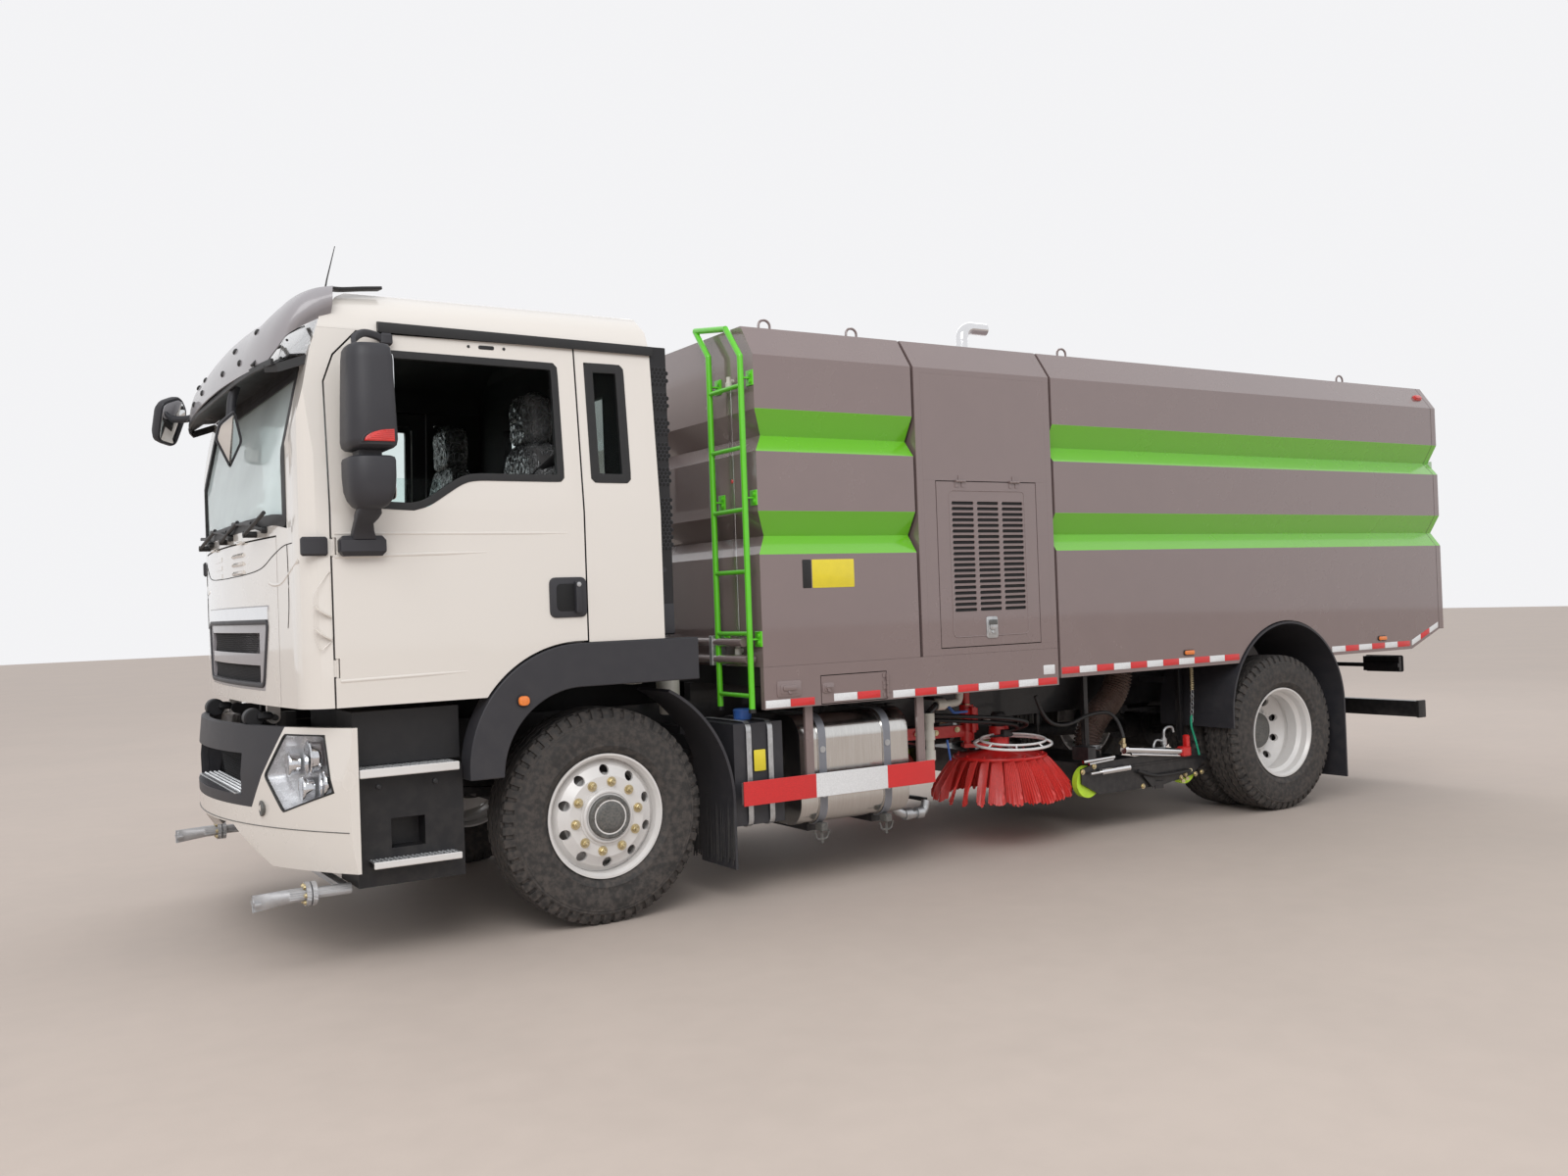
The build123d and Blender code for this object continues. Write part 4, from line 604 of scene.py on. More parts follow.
def shell(skin, thickness):
    """A closed sheet: a grid of points (rows, columns, 3), its copy moved along its normal, and the rim."""
    along, down = np.gradient(skin, axis=1), np.gradient(skin, axis=0)
    inner = skin - thickness * unit(np.cross(along, down))
    rows, columns = skin.shape[:2]
    points, blocks = grid(np.concatenate([skin, inner[::-1]]), close_rows=True)
    index = np.arange(2 * rows * columns).reshape(2 * rows, columns)
    for column in (0, columns - 1):
        outer_line, inner_line = index[:rows, column], index[rows:, column][::-1]
        blocks.append(np.stack([outer_line[:-1], outer_line[1:], inner_line[1:], inner_line[:-1]], -1))
    return points, blocks


def lofted(levels, corner_steps=7):
    """Rounded rectangles in plan, one for each level (height, x, y, length, width, corner), joined."""
    return stacked([(rectangle(length, width, corner, corner_steps) + [x, y], z)
                    for z, x, y, length, width, corner in levels])


def placed(form, origin, across, upward=(0, 0, 1)):
    """A form in its own x, y, z set at an origin, with x along `across` and y along `upward`."""
    across = unit(across)
    out = unit(np.cross(across, upward))
    upward = np.cross(out, across)
    return form[0] @ np.stack([across, upward, out]) + np.array(origin, float), form[1]


def block(x, y, z, edge=0.004):
    """A block between pairs of limits, with all its edges chamfered."""
    (x0, x1), (y0, y1), (z0, z1) = sorted(x), sorted(y), sorted(z)
    edge = min(edge, 0.3 * min(x1 - x0, y1 - y0, z1 - z0))
    outline = rectangle(x1 - x0, y1 - y0, edge, 3) + [(x0 + x1) / 2, (y0 + y1) / 2]
    inner = shrunk(outline, edge)
    return stacked([(inner, z0), (outline, z0 + edge), (outline, z1 - edge), (inner, z1)])


def facing_left(form, y):
    """A form in x, y (as x, z) and depth (as y), measured out from y."""
    points = form[0]
    return np.c_[points[:, 0], y + points[:, 2], points[:, 1]], form[1]


def side_plate(outline, y, depth, edge=0.003):
    """A side-view outline (x, z) standing out to the left from y by depth."""
    form = plate(np.asarray(outline, float), depth, edge)
    return placed(form, (0, y, 0), (1, 0, 0)) if depth < 0 else facing_left(form, y)


def facing_rear(outline, x, depth, edge=0.002):
    """A front-view outline (y, z) standing out rearwards from x by depth."""
    points, blocks = plate(np.asarray(outline, float), depth, edge)
    return np.c_[x - points[:, 2], points[:, 0], points[:, 1]], blocks


def band_ring(outline, width, depth):
    """A thin raised lip around an outline in x and y, standing out by depth."""
    outer = shrunk(outline, -width)
    loops = [(outline, -0.004), (outline, depth * 0.6), (shrunk(outline, -width / 2), depth), (outer, 0.0)]
    return stacked(loops, caps=False)


def bolt(radius=0.012, height=0.010):
    """A hexagon head on a washer, standing along +z."""
    hexagon = ring_outline(radius, 6)
    washer = ring_outline(radius * 1.45, 18)
    disc = stacked([(washer, 0.0), (washer, height * 0.25)])
    return joined(disc, stacked([(hexagon, height * 0.2), (hexagon, height * 0.9),
                                 (hexagon * 0.85, height)]))


# The slot that goes with a finish, where a piece names no other
slot_finishes = {
    "black_plastic": ["grey_rubber", "plastic", "step", "visor"],
    "chrome": ["steel", "brass", "chrome"],
    "body_paint": ["plain_body"],
    "ladder_paint": ["green"],
    "chassis_paint": ["chassis", "spray"],
    "cab_paint": ["cab"],
    "lamp": ["amber", "ruby", "bowl"],
    "gear_paint": ["red", "bristle", "white_bar"],
    "tyre": ["tyre"],
    "wheel_paint": ["silver"],
    "cast": ["cast"],
    "window": ["mirror", "window", "screen", "film", "clear"],
    "trim": ["dash", "trim"],
}
usual_slot = {name: slot for slot, names in slot_finishes.items() for name in names}


def show(name, form, body, finish_name, slot="usual", sharp=32.0):
    """Makes one piece of a shape: moves it by the axle's place, turns its faces outwards, shades it smooth
    up to the `sharp` angle, and lets it ride on a body, if one is given."""
    points, blocks = form
    mesh = bpy.data.meshes.new(name)
    faces = [face for rows in blocks for face in rows.tolist()]
    mesh.from_pydata((points + np.array([axle_x, 0, 0])).tolist(), [], faces)
    work = bmesh.new()
    work.from_mesh(mesh)
    bmesh.ops.recalc_face_normals(work, faces=work.faces)
    work.to_mesh(mesh)
    work.free()
    mesh.shade_smooth()
    mesh.set_sharp_from_angle(angle=math.radians(sharp))
    mesh.materials.append(paint[finish_name])
    piece = bpy.data.objects.new(name, mesh)
    bpy.context.scene.collection.objects.link(piece)
    if body:
        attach(piece, body)
    if slot == "usual":
        slot = usual_slot.get(finish_name)
    return piece


def show_pair(name, form, body, finish_name, slot="usual", sharp=32.0):
    """The same piece on both sides, riding on the left and right bodies of that name."""
    left = show(f"{name}_left", form, f"{body}_left", finish_name, slot, sharp)
    right = show(f"{name}_right", mirrored(form), f"{body}_right", finish_name, slot, sharp)
    return left, right


def show_stretched(name, form, finish_name, sharp):
    """The same piece on both sides, on no body, with its place baked into its points."""
    for side, way in sides:
        piece = show(f"{name}_{side}", form if way > 0 else mirrored(form), None, finish_name, None, sharp)
        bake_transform(piece)


# Floor, lamps and sky
def make_stage():
    """A wide pale floor with faint mottling, a soft sky and two large soft lamps."""
    half = 60.0
    corners = np.array([[-half, -half, 0], [half, -half, 0], [half, half, 0], [-half, half, 0]], float)
    mesh = bpy.data.meshes.new("floor")
    mesh.from_pydata(corners.tolist(), [], [(0, 1, 2, 3)])
    floor = bpy.data.objects.new("floor", mesh)
    bpy.context.scene.collection.objects.link(floor)
    mesh.materials.append(finish("pale_floor", (0.51, 0.435, 0.385), 0.75, change=0.035, patch=1.4,
                                 grain=0.0004, grain_size=0.01))
    world = bpy.data.worlds.new("soft_sky")
    bpy.context.scene.world = world
    world.use_nodes = True
    tree = world.node_tree
    height = split(tree, add(tree, "ShaderNodeTexCoord").outputs["Generated"])[2]
    sky = mix_colour(tree, ramp(tree, height, -0.05, 0.55), (0.52, 0.53, 0.55), (0.98, 0.985, 1.0))
    rays = add(tree, "ShaderNodeLightPath")
    seen = math_node(tree, "ADD", rays.outputs["Is Camera Ray"], rays.outputs["Is Glossy Ray"])
    seen = math_node(tree, "ADD", seen, rays.outputs["Is Transmission Ray"], True)
    background = tree.nodes["Background"]
    feed(tree, background.inputs["Color"], mix_colour(tree, seen, sky, (0.90, 0.90, 0.915)))
    background.inputs["Strength"].default_value = 1.0
    for name, place, size, power in (("key_lamp", (5.0, 9.0, 9.0), 7.0, 620.0),
                                     ("back_lamp", (-9.0, -7.0, 8.0), 7.0, 260.0)):
        lamp = bpy.data.lights.new(name, "AREA")
        lamp.size = size
        lamp.energy = power
        lamp_object = bpy.data.objects.new(name, lamp)
        bpy.context.scene.collection.objects.link(lamp_object)
        lamp_object.location = (place[0] + axle_x, place[1], place[2])
        aim = Vector((axle_x - 2.5, 0, 1.2)) - lamp_object.location
        lamp_object.rotation_euler = aim.to_track_quat("-Z", "Y").to_euler()


# Tyres: a grid of profile points by turning angle, with lugs cut into the shoulders and zigzag grooves
tread_depth = 0.014
groove_swing = 0.0055
shoulder_lugs = 54


def tyre_form(mid, x):
    """Profile points (y, radius) run from one bead over the tread to the other. Where the lug wave is low,
    shoulder points sink by the tread depth, and the grooves between the ribs swing sideways in a zigzag."""
    r = tyre_radius
    half = [(0.0000, r, 0), (0.0200, r, 1), (0.0220, r - tread_depth, 1), (0.0300, r - tread_depth, 1),
            (0.0320, r, 1), (0.0600, r - 0.001, 0), (0.0715, r - 0.001, 1), (0.0735, r - tread_depth, 1),
            (0.0815, r - tread_depth, 1), (0.0835, r - 0.0015, 1), (0.0880, r - 0.002, 2),
            (0.0895, r - 0.002, 3), (0.1070, r - 0.004, 3), (0.1200, r - 0.022, 3), (0.1265, r - 0.040, 3),
            (0.1290, r - 0.050, 2), (0.1335, r - 0.056, 0), (0.1350, r - 0.058, 0), (0.1350, r - 0.066, 0),
            (0.1385, r - 0.071, 0), (0.1385, r - 0.083, 0), (0.1405, r - 0.088, 0), (0.1425, r - 0.125, 0),
            (0.1415, r - 0.150, 0), (0.1370, r - 0.178, 0), (0.1385, r - 0.184, 0), (0.1365, r - 0.190, 0),
            (0.1270, r - 0.205, 0), (0.1150, r - 0.217, 0), (0.1080, r - 0.224, 0), (0.1030, r - 0.238, 0)]
    profile = np.array(half[:0:-1] + half, float)
    profile[:len(half) - 1, 0] *= -1
    y, radius, kind = profile.T
    pitch = np.array([0.0, 0.06, 0.11, 0.40, 0.45, 0.50, 0.75])
    turn = (np.arange(shoulder_lugs)[:, None] + pitch[None]).ravel() / shoulder_lugs * 2 * np.pi
    phase = np.tile(pitch, shoulder_lugs)
    notch = ((phase > 0.08) & (phase < 0.42)).astype(float)
    swing = np.abs(phase * 2 - 1) * 2 - 1
    sink = np.where(kind == 3, tread_depth, 0.0)[:, None] * notch[None]
    outward = np.clip((np.abs(y) - 0.10) / 0.03, 0, 1)[:, None]
    ring = radius[:, None] - sink * (1 - 0.6 * outward)
    zigzag = np.where(kind == 1, groove_swing, 0.0)[:, None] * swing[None]
    across = y[:, None] - np.sign(y)[:, None] * sink * 0.8 * outward + zigzag
    points = np.stack([x + ring * np.cos(turn), mid + across, wheel_z + ring * np.sin(turn)], -1)
    return grid(points, close_columns=True, close_rows=True)


def make_tyres():
    """Front single tyres and rear pairs, each standing for its solids."""
    low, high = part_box("tyre_front_left")
    front_mid = (low.y + high.y) / 2
    pair_low, pair_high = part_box("tyres_rear_left")
    width = high.y - low.y
    inner_mid, outer_mid = pair_low.y + width / 2, pair_high.y - width / 2
    for piece in show_pair("tread_tyre_front", tyre_form(front_mid, 0), "wheel_front", "tyre", sharp=28):
        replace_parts(piece, piece.name.replace("tread_tyre", "tyre"))
    pair = joined(tyre_form(inner_mid, rear_axle), tyre_form(outer_mid, rear_axle))
    for piece in show_pair("tread_tyres_rear", pair, "wheels_rear", "tyre", sharp=28):
        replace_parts(piece, piece.name.replace("tread_tyres", "tyres"))


# Wheels: nuts and hub caps on the solid rims
nut_circle = 0.1675


def make_wheel_trim():
    """Ten nuts with studs on each wheel, and the hub caps: dished with bolts in front, domed behind."""
    mid = middle("tyre_front_left").y
    face = mid + 0.125
    nut = joined(bolt(0.0165, 0.020),
                 lathe([(0.001, 0.0), (0.009, 0.0), (0.009, 0.032), (0.006, 0.036), (0.001, 0.036)],
                       (0, 0, 0), "z", 12))
    nut = placed(nut, (0, 0, 0), (0, 0, 1), (1, 0, 0))
    angles = np.arange(10) * math.radians(36) + math.radians(8)
    nuts = turned_copies(moved(nut, (nut_circle, face - 0.001, wheel_z)), angles, (0, 0, wheel_z), "y")
    show_pair("wheel_nuts_front", nuts, "wheel_front", "brass")
    ring = lathe([(0.112, 0.006), (0.130, 0.006), (0.130, 0.017), (0.124, 0.022), (0.117, 0.022),
                  (0.112, 0.017)], (0, face, wheel_z))
    cap = lathe([(0.001, 0.052), (0.050, 0.052), (0.062, 0.050), (0.074, 0.044), (0.080, 0.040),
                 (0.086, 0.043), (0.100, 0.043), (0.105, 0.038), (0.105, 0.004), (0.001, 0.004)],
                (0, face, wheel_z))
    small = placed(bolt(0.0065, 0.007), (0, 0, 0), (0, 0, 1), (1, 0, 0))
    cap_bolts = turned_copies(moved(small, (0.093, face + 0.043, wheel_z)), np.arange(8) * math.radians(45),
                              (0, 0, wheel_z), "y")
    show_pair("hub_cap_front", joined(cap, cap_bolts), "wheel_front", "hub", "cast")
    show_pair("hub_ring_front", ring, "wheel_front", "silver")
    centre = middle("tyres_rear_left").y
    rear_nuts = turned_copies(moved(nut, (rear_axle + nut_circle, centre - 0.001, wheel_z)), angles,
                              (rear_axle, 0, wheel_z), "y")
    show_pair("wheel_nuts_rear", rear_nuts, "wheels_rear", "silver")
    rear_cap = lathe([(0.001, 0.090), (0.060, 0.090), (0.096, 0.084), (0.104, 0.078), (0.121, 0.076),
                      (0.123, 0.070), (0.123, 0.050), (0.001, 0.050)], (rear_axle, centre, wheel_z), "y",
                     48)
    show_pair("hub_cap_rear", rear_cap, "wheels_rear", "hub", "cast")


# Strips, lamps and fittings on the sweeper body
hopper_roof = 2.985
strip_height = 0.040
stripe_starts = (("red", 0), ("white", 1))
strip_rows = [
    # (carrier on the left, carrier on the right, first x, last x, blocks, starts white, low edge at each end)
    ("root", "root", -0.856, -1.160, 2, True, 0.992, 0.992),
    ("filler_flap", "root", -1.281, -1.588, 2, True, 1.001, 1.001),
    ("root", "root", -1.672, -2.892, 8, True, 0.992, 0.992),
    ("hopper", "hopper", -2.932, -4.532, 11, False, 1.047, 1.047),
    ("hopper", "hopper", -5.511, -6.430, 6, True, 1.047, 1.047),
    ("hopper", "hopper", -6.452, -6.790, 3, True, 1.050, 1.172),
]


def strip_blocks(first, last, count, white_first, z_start, z_end, white):
    """Every second block of a row, as thin rounded sheets on the skin."""
    forms = []
    length = (last - first) / count
    for k in range(count):
        if ((k % 2 == 0) == white_first) != white:
            continue
        x0, x1 = first + length * k, first + length * (k + 0.985)
        za = z_start + (z_end - z_start) * k / count
        zb = z_start + (z_end - z_start) * (k + 1) / count
        outline = [(x1, zb), (x0, za), (x0, za + strip_height), (x1, zb + strip_height)]
        forms.append(side_plate(rounded(outline, 0.002, 3), body_half, 0.0012, 0.0004))
    return joined(*forms)


def make_strips():
    """Red and white reflective sheet in blocks along the lower edge of both sides."""
    for number, (left_body, right_body, *row) in enumerate(strip_rows):
        for white, name in ((True, "white"), (False, "red")):
            form = strip_blocks(*row, white)
            show(f"{name}_strip_left_{number}", form, left_body, f"{name}_sheet")
            show(f"{name}_strip_right_{number}", mirrored(form), right_body, f"{name}_sheet")


door_front_x, door_rear_x = -2.025, -2.771
door_low, door_high = 1.247, 2.184
slat_rows, slat_columns = 20, 3
slat_field = (0.560, 0.640)
latch_x, latch_z = -2.397, 1.349


def make_louvres():
    """Black backs of painted shade and fine lips in the louvred doors' slots, a frame around, and a latch
    below.
    """
    pitch_x, pitch_z = slat_field[0] / slat_columns, slat_field[1] / slat_rows
    mid = (door_front_x + door_rear_x) / 2
    top = door_high - 0.105
    centres = [(mid + (i - 1) * pitch_x, body_half, top - (k + 0.5) * pitch_z)
               for i in range(slat_columns) for k in range(slat_rows)]
    slot = rectangle(pitch_x - 0.026, pitch_z * 0.56, pitch_z * 0.28, 5)
    # the black backs in the slots are painted shade of the housing behind them
    backs = at_places(side_plate(slot, -0.006, 0.002, 0.0005), centres)
    lips = at_places(facing_left(band_ring(slot, 0.003, 0.0016), 0.0), centres)
    show_pair("louvre_slots", backs, "louvre_door", "black_void")
    show_pair("louvre_lips", lips, "louvre_door", "plain_body")
    border = rounded([(door_rear_x + 0.09, door_low + 0.055), (door_front_x - 0.09, door_low + 0.055),
                      (door_front_x - 0.09, door_high - 0.05), (door_rear_x + 0.09, door_high - 0.05)],
                     0.03)
    rim = tube(np.c_[border[:, 0], np.full(len(border), body_half), border[:, 1]], 0.0035, (0, 1, 0), 8,
               close_path=True)
    show_pair("louvre_rim", rim, "louvre_door", "plain_body")
    show_pair("louvre_latch", moved(paddle_latch(0.085, 0.125), (latch_x, body_half, latch_z)),
              "louvre_door", "steel")
    paddle = side_plate(rectangle(0.058, 0.030, 0.005) + [latch_x, latch_z + 0.029], body_half + 0.012,
                        0.006, 0.002)
    show_pair("louvre_paddle", paddle, "louvre_door", "hub", "black_plastic")


def paddle_latch(width, height):
    """A flush latch on a side: dished plate, paddle and key barrel, centred on the origin."""
    plate_form = side_plate(rectangle(width, height, 0.016), 0.0, 0.006)
    bowl = side_plate(rectangle(width * 0.72, height * 0.66, 0.012), 0.005, 0.004)
    paddle = side_plate(rectangle(width * 0.56, height * 0.34, 0.010) + [0, height * 0.06], 0.008, 0.009,
                        0.004)
    key = lathe([(0.001, 0.0), (0.010, 0.0), (0.010, 0.013), (0.008, 0.015), (0.001, 0.015)],
                (0, 0, -height * 0.22), "y", 20)
    return joined(plate_form, bowl, paddle, key)


def oval_lamp(length=0.098, height=0.036, depth=0.017):
    """A side marker lamp on a side face: dark base with a domed lens. Returns base and lens."""
    base = side_plate(rectangle(length, height, height / 2, 7), 0.0, depth * 0.45, 0.002)
    levels = [(1.0, 0.4), (0.985, 0.75), (0.90, 0.93), (0.70, 1.0)]
    shape = rectangle(length * 0.9, height * 0.78, height * 0.39, 7)
    points = np.stack([np.c_[shape[:, 0] * k, np.full(len(shape), depth * d), shape[:, 1] * k]
                       for k, d in levels])
    return base, grid(points, close_columns=True, caps=True)


def make_body_fittings():
    """Marker lamps, lifting eyes, blank labels, latches, and the gauge and pipes by the ladder."""
    base, lens = oval_lamp()
    places = [(-4.043, body_half, 1.12), (-6.089, body_half, 1.12)]
    show("marker_bases", both(at_places(base, places)), "hopper", "grey_rubber")
    show("marker_lenses", both(at_places(lens, places)), "hopper", "amber")
    red = repeated(joined(*oval_lamp(0.09, 0.045, 0.022)),
                   [np.array([[1, 0, 0, -6.72], [0, 0.823, -0.568, 1.196], [0, 0.568, 0.823, 2.898],
                              [0, 0, 0, 1]])])
    show("rear_shoulder_lamps", both(red), "hopper", "ruby")
    arch = [(0.035 * math.cos(t), 0, 0.034 + 0.030 * math.sin(t)) for t in np.linspace(0, math.pi, 13)]
    eye = joined(tube([(0.035, 0, 0.0)] + arch + [(-0.035, 0, 0.0)], 0.007, (0, 1, 0), 10),
                 block((-0.055, 0.055), (-0.02, 0.02), (0.0, 0.008), 0.003))
    show("lifting_eyes_front",
         both(at_places(eye, [(-1.05, 1.05, hopper_roof), (-1.62, 1.05, hopper_roof)])), "root",
         "plain_body", None)
    show("lifting_eyes_rear", both(at_places(eye, [(-3.22, 1.05, hopper_roof), (-6.0, 1.05, hopper_roof)])),
         "hopper", "plain_body", None)
    label = side_plate(rectangle(0.270, 0.150, 0.006) + [-1.305, 1.680], body_half, 0.0012, 0.0004)
    edge = side_plate(rectangle(0.055, 0.150, 0.006) + [-1.137, 1.680], body_half, 0.0014, 0.0004)
    show("blank_label", label, "root", "yellow")
    show("label_edge", edge, "root", "grey_rubber", None)
    small_label = side_plate(rectangle(0.090, 0.055) + [-2.83, 1.08], body_half, 0.0012, 0.0004)
    show("blank_small_label", small_label, "root", "white_sheet")
    show("sill_latch", moved(paddle_latch(0.15, 0.085), (-1.0, body_half, 1.085)), "root", "plain_body")
    show("filler_latch", moved(paddle_latch(0.075, 0.055), (-1.245, body_half, 1.075)), "filler_flap",
         "plain_body")
    gauge_x, gauge_y = body_front + 0.028, 1.045
    show("gauge_tube", straight((gauge_x, gauge_y, 1.30), (gauge_x, gauge_y, 2.72), 0.010), "root",
         "clear")
    ends = joined(*(lathe([(0.001, -0.03), (0.018, -0.03), (0.018, 0.0), (0.013, 0.004), (0.013, 0.03),
                           (0.001, 0.03)], (gauge_x, gauge_y, z), "z", 20) for z in (1.30, 2.70)))
    elbows = joined(*(straight((body_front, gauge_y, z), (gauge_x, gauge_y, z), 0.011, 12)
                      for z in (1.29, 2.71)))
    show("gauge_fittings", joined(ends, elbows), "root", "canister")
    show("gauge_float",
         lathe([(0.001, -0.011), (0.006, -0.009), (0.0085, 0.0), (0.006, 0.009), (0.001, 0.011)],
               (gauge_x, gauge_y, 2.18), "z", 16), "root", "ruby", None)
    pipe_x = body_front + 0.055
    pipes = []
    for z, y0, y1 in ((1.335, -0.95, 1.12), (1.245, -0.60, 1.16)):
        path = smooth_path([(body_front, y0, z), (pipe_x - 0.01, y0 + 0.01, z), (pipe_x, y0 + 0.06, z),
                            (pipe_x, 0.0, z), (pipe_x, y1 - 0.06, z), (pipe_x - 0.01, y1 - 0.01, z),
                            (body_front, y1, z)], 6)
        pipes.append(tube(path, 0.024, (0, 0, 1), 16))
    clamps = joined(*(block((body_front, pipe_x + 0.03), (y - 0.015, y + 0.015), (1.21, 1.37), 0.003)
                      for y in (-0.5, 0.2, 0.85)))
    show("tank_front_pipes", joined(*pipes), "root", "plain_body", None)
    show("pipe_clamps", clamps, "root", "steel", None)


def make_ladder_fittings():
    """Bolted tabs at the ladder's brackets and a round cap on each foot."""
    rails = (1.220, 0.890)
    heights = (1.350, 2.080, 2.700)
    tab = joined(block((-0.004, 0.006), (-0.035, 0.03), (-0.04, 0.04), 0.002),
                 placed(bolt(0.010, 0.009), (0.006, 0.012, 0.018), (0, 1, 0)),
                 placed(bolt(0.010, 0.009), (0.006, 0.012, -0.018), (0, 1, 0)))
    places = [(body_front + 0.002, y, z) for y in rails for z in heights]
    caps = [drum(0.019, -0.012, 0.008, (-0.792, y, 0.985), "z", 20) for y in rails]
    show("ladder_tabs", at_places(tab, places), "root", "green")
    show("ladder_feet", joined(*caps), "root", "grey_rubber")


# Cab surfaces: where the painted skin is, as functions that pieces are laid on
cab_half = 1.25
cab_nose = 1.5
cab_nose_radius = 8.0
side_heights = [1.15, 2.000, 2.810, 2.908, 2.985]
side_halves = [cab_half, cab_half, 1.180, 1.138, 1.060]
nose_heights = [1.15, 1.985, 2.700, 2.860, 2.962, 3.030]
nose_stations = [cab_nose, cab_nose, 1.345, 1.290, 1.200, 1.080]
bumper_radius = 2.2
bumper_heights = [0.430, 0.560, 0.840, 1.060]
bumper_stations = [1.612, 1.634, 1.640, 1.618]


def side_y(z):
    """Half width of the cab at a height."""
    return np.interp(z, side_heights, side_halves)


def nose_x(y, z):
    """The cab's front face: the lesser of the plan's arc and the side view's line."""
    arc = cab_nose - cab_nose_radius + np.sqrt(cab_nose_radius ** 2 - np.asarray(y, float) ** 2)
    return np.minimum(arc, np.interp(z, nose_heights, nose_stations))


def on_side(outline, lift):
    """Side-view points (x, z) set on the cab's left skin, lifted outwards."""
    outline = np.asarray(outline, float)
    return np.c_[outline[:, 0], side_y(outline[:, 1]) + lift, outline[:, 1]]


def on_nose(outline, lift):
    """Front-view points (y, z) set on the cab's front skin, lifted outwards."""
    outline = np.asarray(outline, float)
    return np.c_[nose_x(outline[:, 0], outline[:, 1]) + lift, outline[:, 0], outline[:, 1]]


def band(outline, width, place, lift, depth):
    """A flat seal inside a closed outline: `place` lays it on the skin, down from `lift` by `depth`."""
    inner = shrunk(outline, width)
    mid = shrunk(outline, width / 2)
    loops = [place(outline, lift - depth), place(outline, lift * 0.6), place(mid, lift),
             place(inner, lift * 0.6), place(inner, lift - depth)]
    return grid(np.stack(loops), close_columns=True, close_rows=True)


def dense(outline, step=0.05):
    """A closed outline with its long edges cut into steps."""
    outline = np.asarray(outline, float)
    pieces = []
    for a, b in zip(outline, np.roll(outline, -1, 0)):
        count = max(1, int(np.linalg.norm(b - a) / step))
        pieces.append(a + (b - a) * np.linspace(0, 1, count, endpoint=False)[:, None])
    return np.vstack(pieces)


window_corners = [(1.130, 2.010), (1.190, 2.300), (1.190, 2.560), (1.120, 2.700), (1.080, 2.720),
                  (0.225, 2.712), (0.205, 2.690), (0.205, 2.160), (0.225, 2.140), (0.640, 2.140),
                  (0.700, 2.125), (0.860, 2.020), (0.930, 2.000)]
quarter_corners = [(0.068, 2.725), (-0.122, 2.725), (-0.142, 2.705), (-0.142, 2.160), (-0.122, 2.140),
                   (0.048, 2.140), (0.068, 2.160)]
screen_corners = [(1.050, 1.935), (1.050, 2.640), (0.990, 2.690), (-0.990, 2.690), (-1.050, 2.640),
                  (-1.050, 1.935), (-0.900, 1.960), (0.900, 1.960)]


def make_seals():
    """Black rubber around the door windows, the quarter windows and the windscreen."""
    window = dense(rounded(window_corners, 0.05))
    quarter = dense(rounded(quarter_corners, 0.03, 4))
    screen = dense(rounded(screen_corners, 0.06), 0.04)
    show_pair("window_seal", band(window, 0.034, on_side, 0.004, 0.030), "door", "grey_rubber", sharp=60)
    show("quarter_seals", both(band(quarter, 0.045, on_side, 0.004, 0.024)), "cab", "grey_rubber", sharp=60)
    pane_bar = dense(np.array([(0.064, 2.150), (0.064, 2.718), (0.020, 2.718), (0.020, 2.150)]))
    bar = grid(np.stack([on_side(pane_bar, -0.012), on_side(shrunk(pane_bar, 0.002), -0.004)]),
               close_columns=True, caps=True)
    show("quarter_bars", both(bar), "cab", "grey_rubber")
    show("windscreen_seal", band(screen, 0.050, on_nose, 0.003, 0.026), "cab", "grey_rubber", sharp=60)


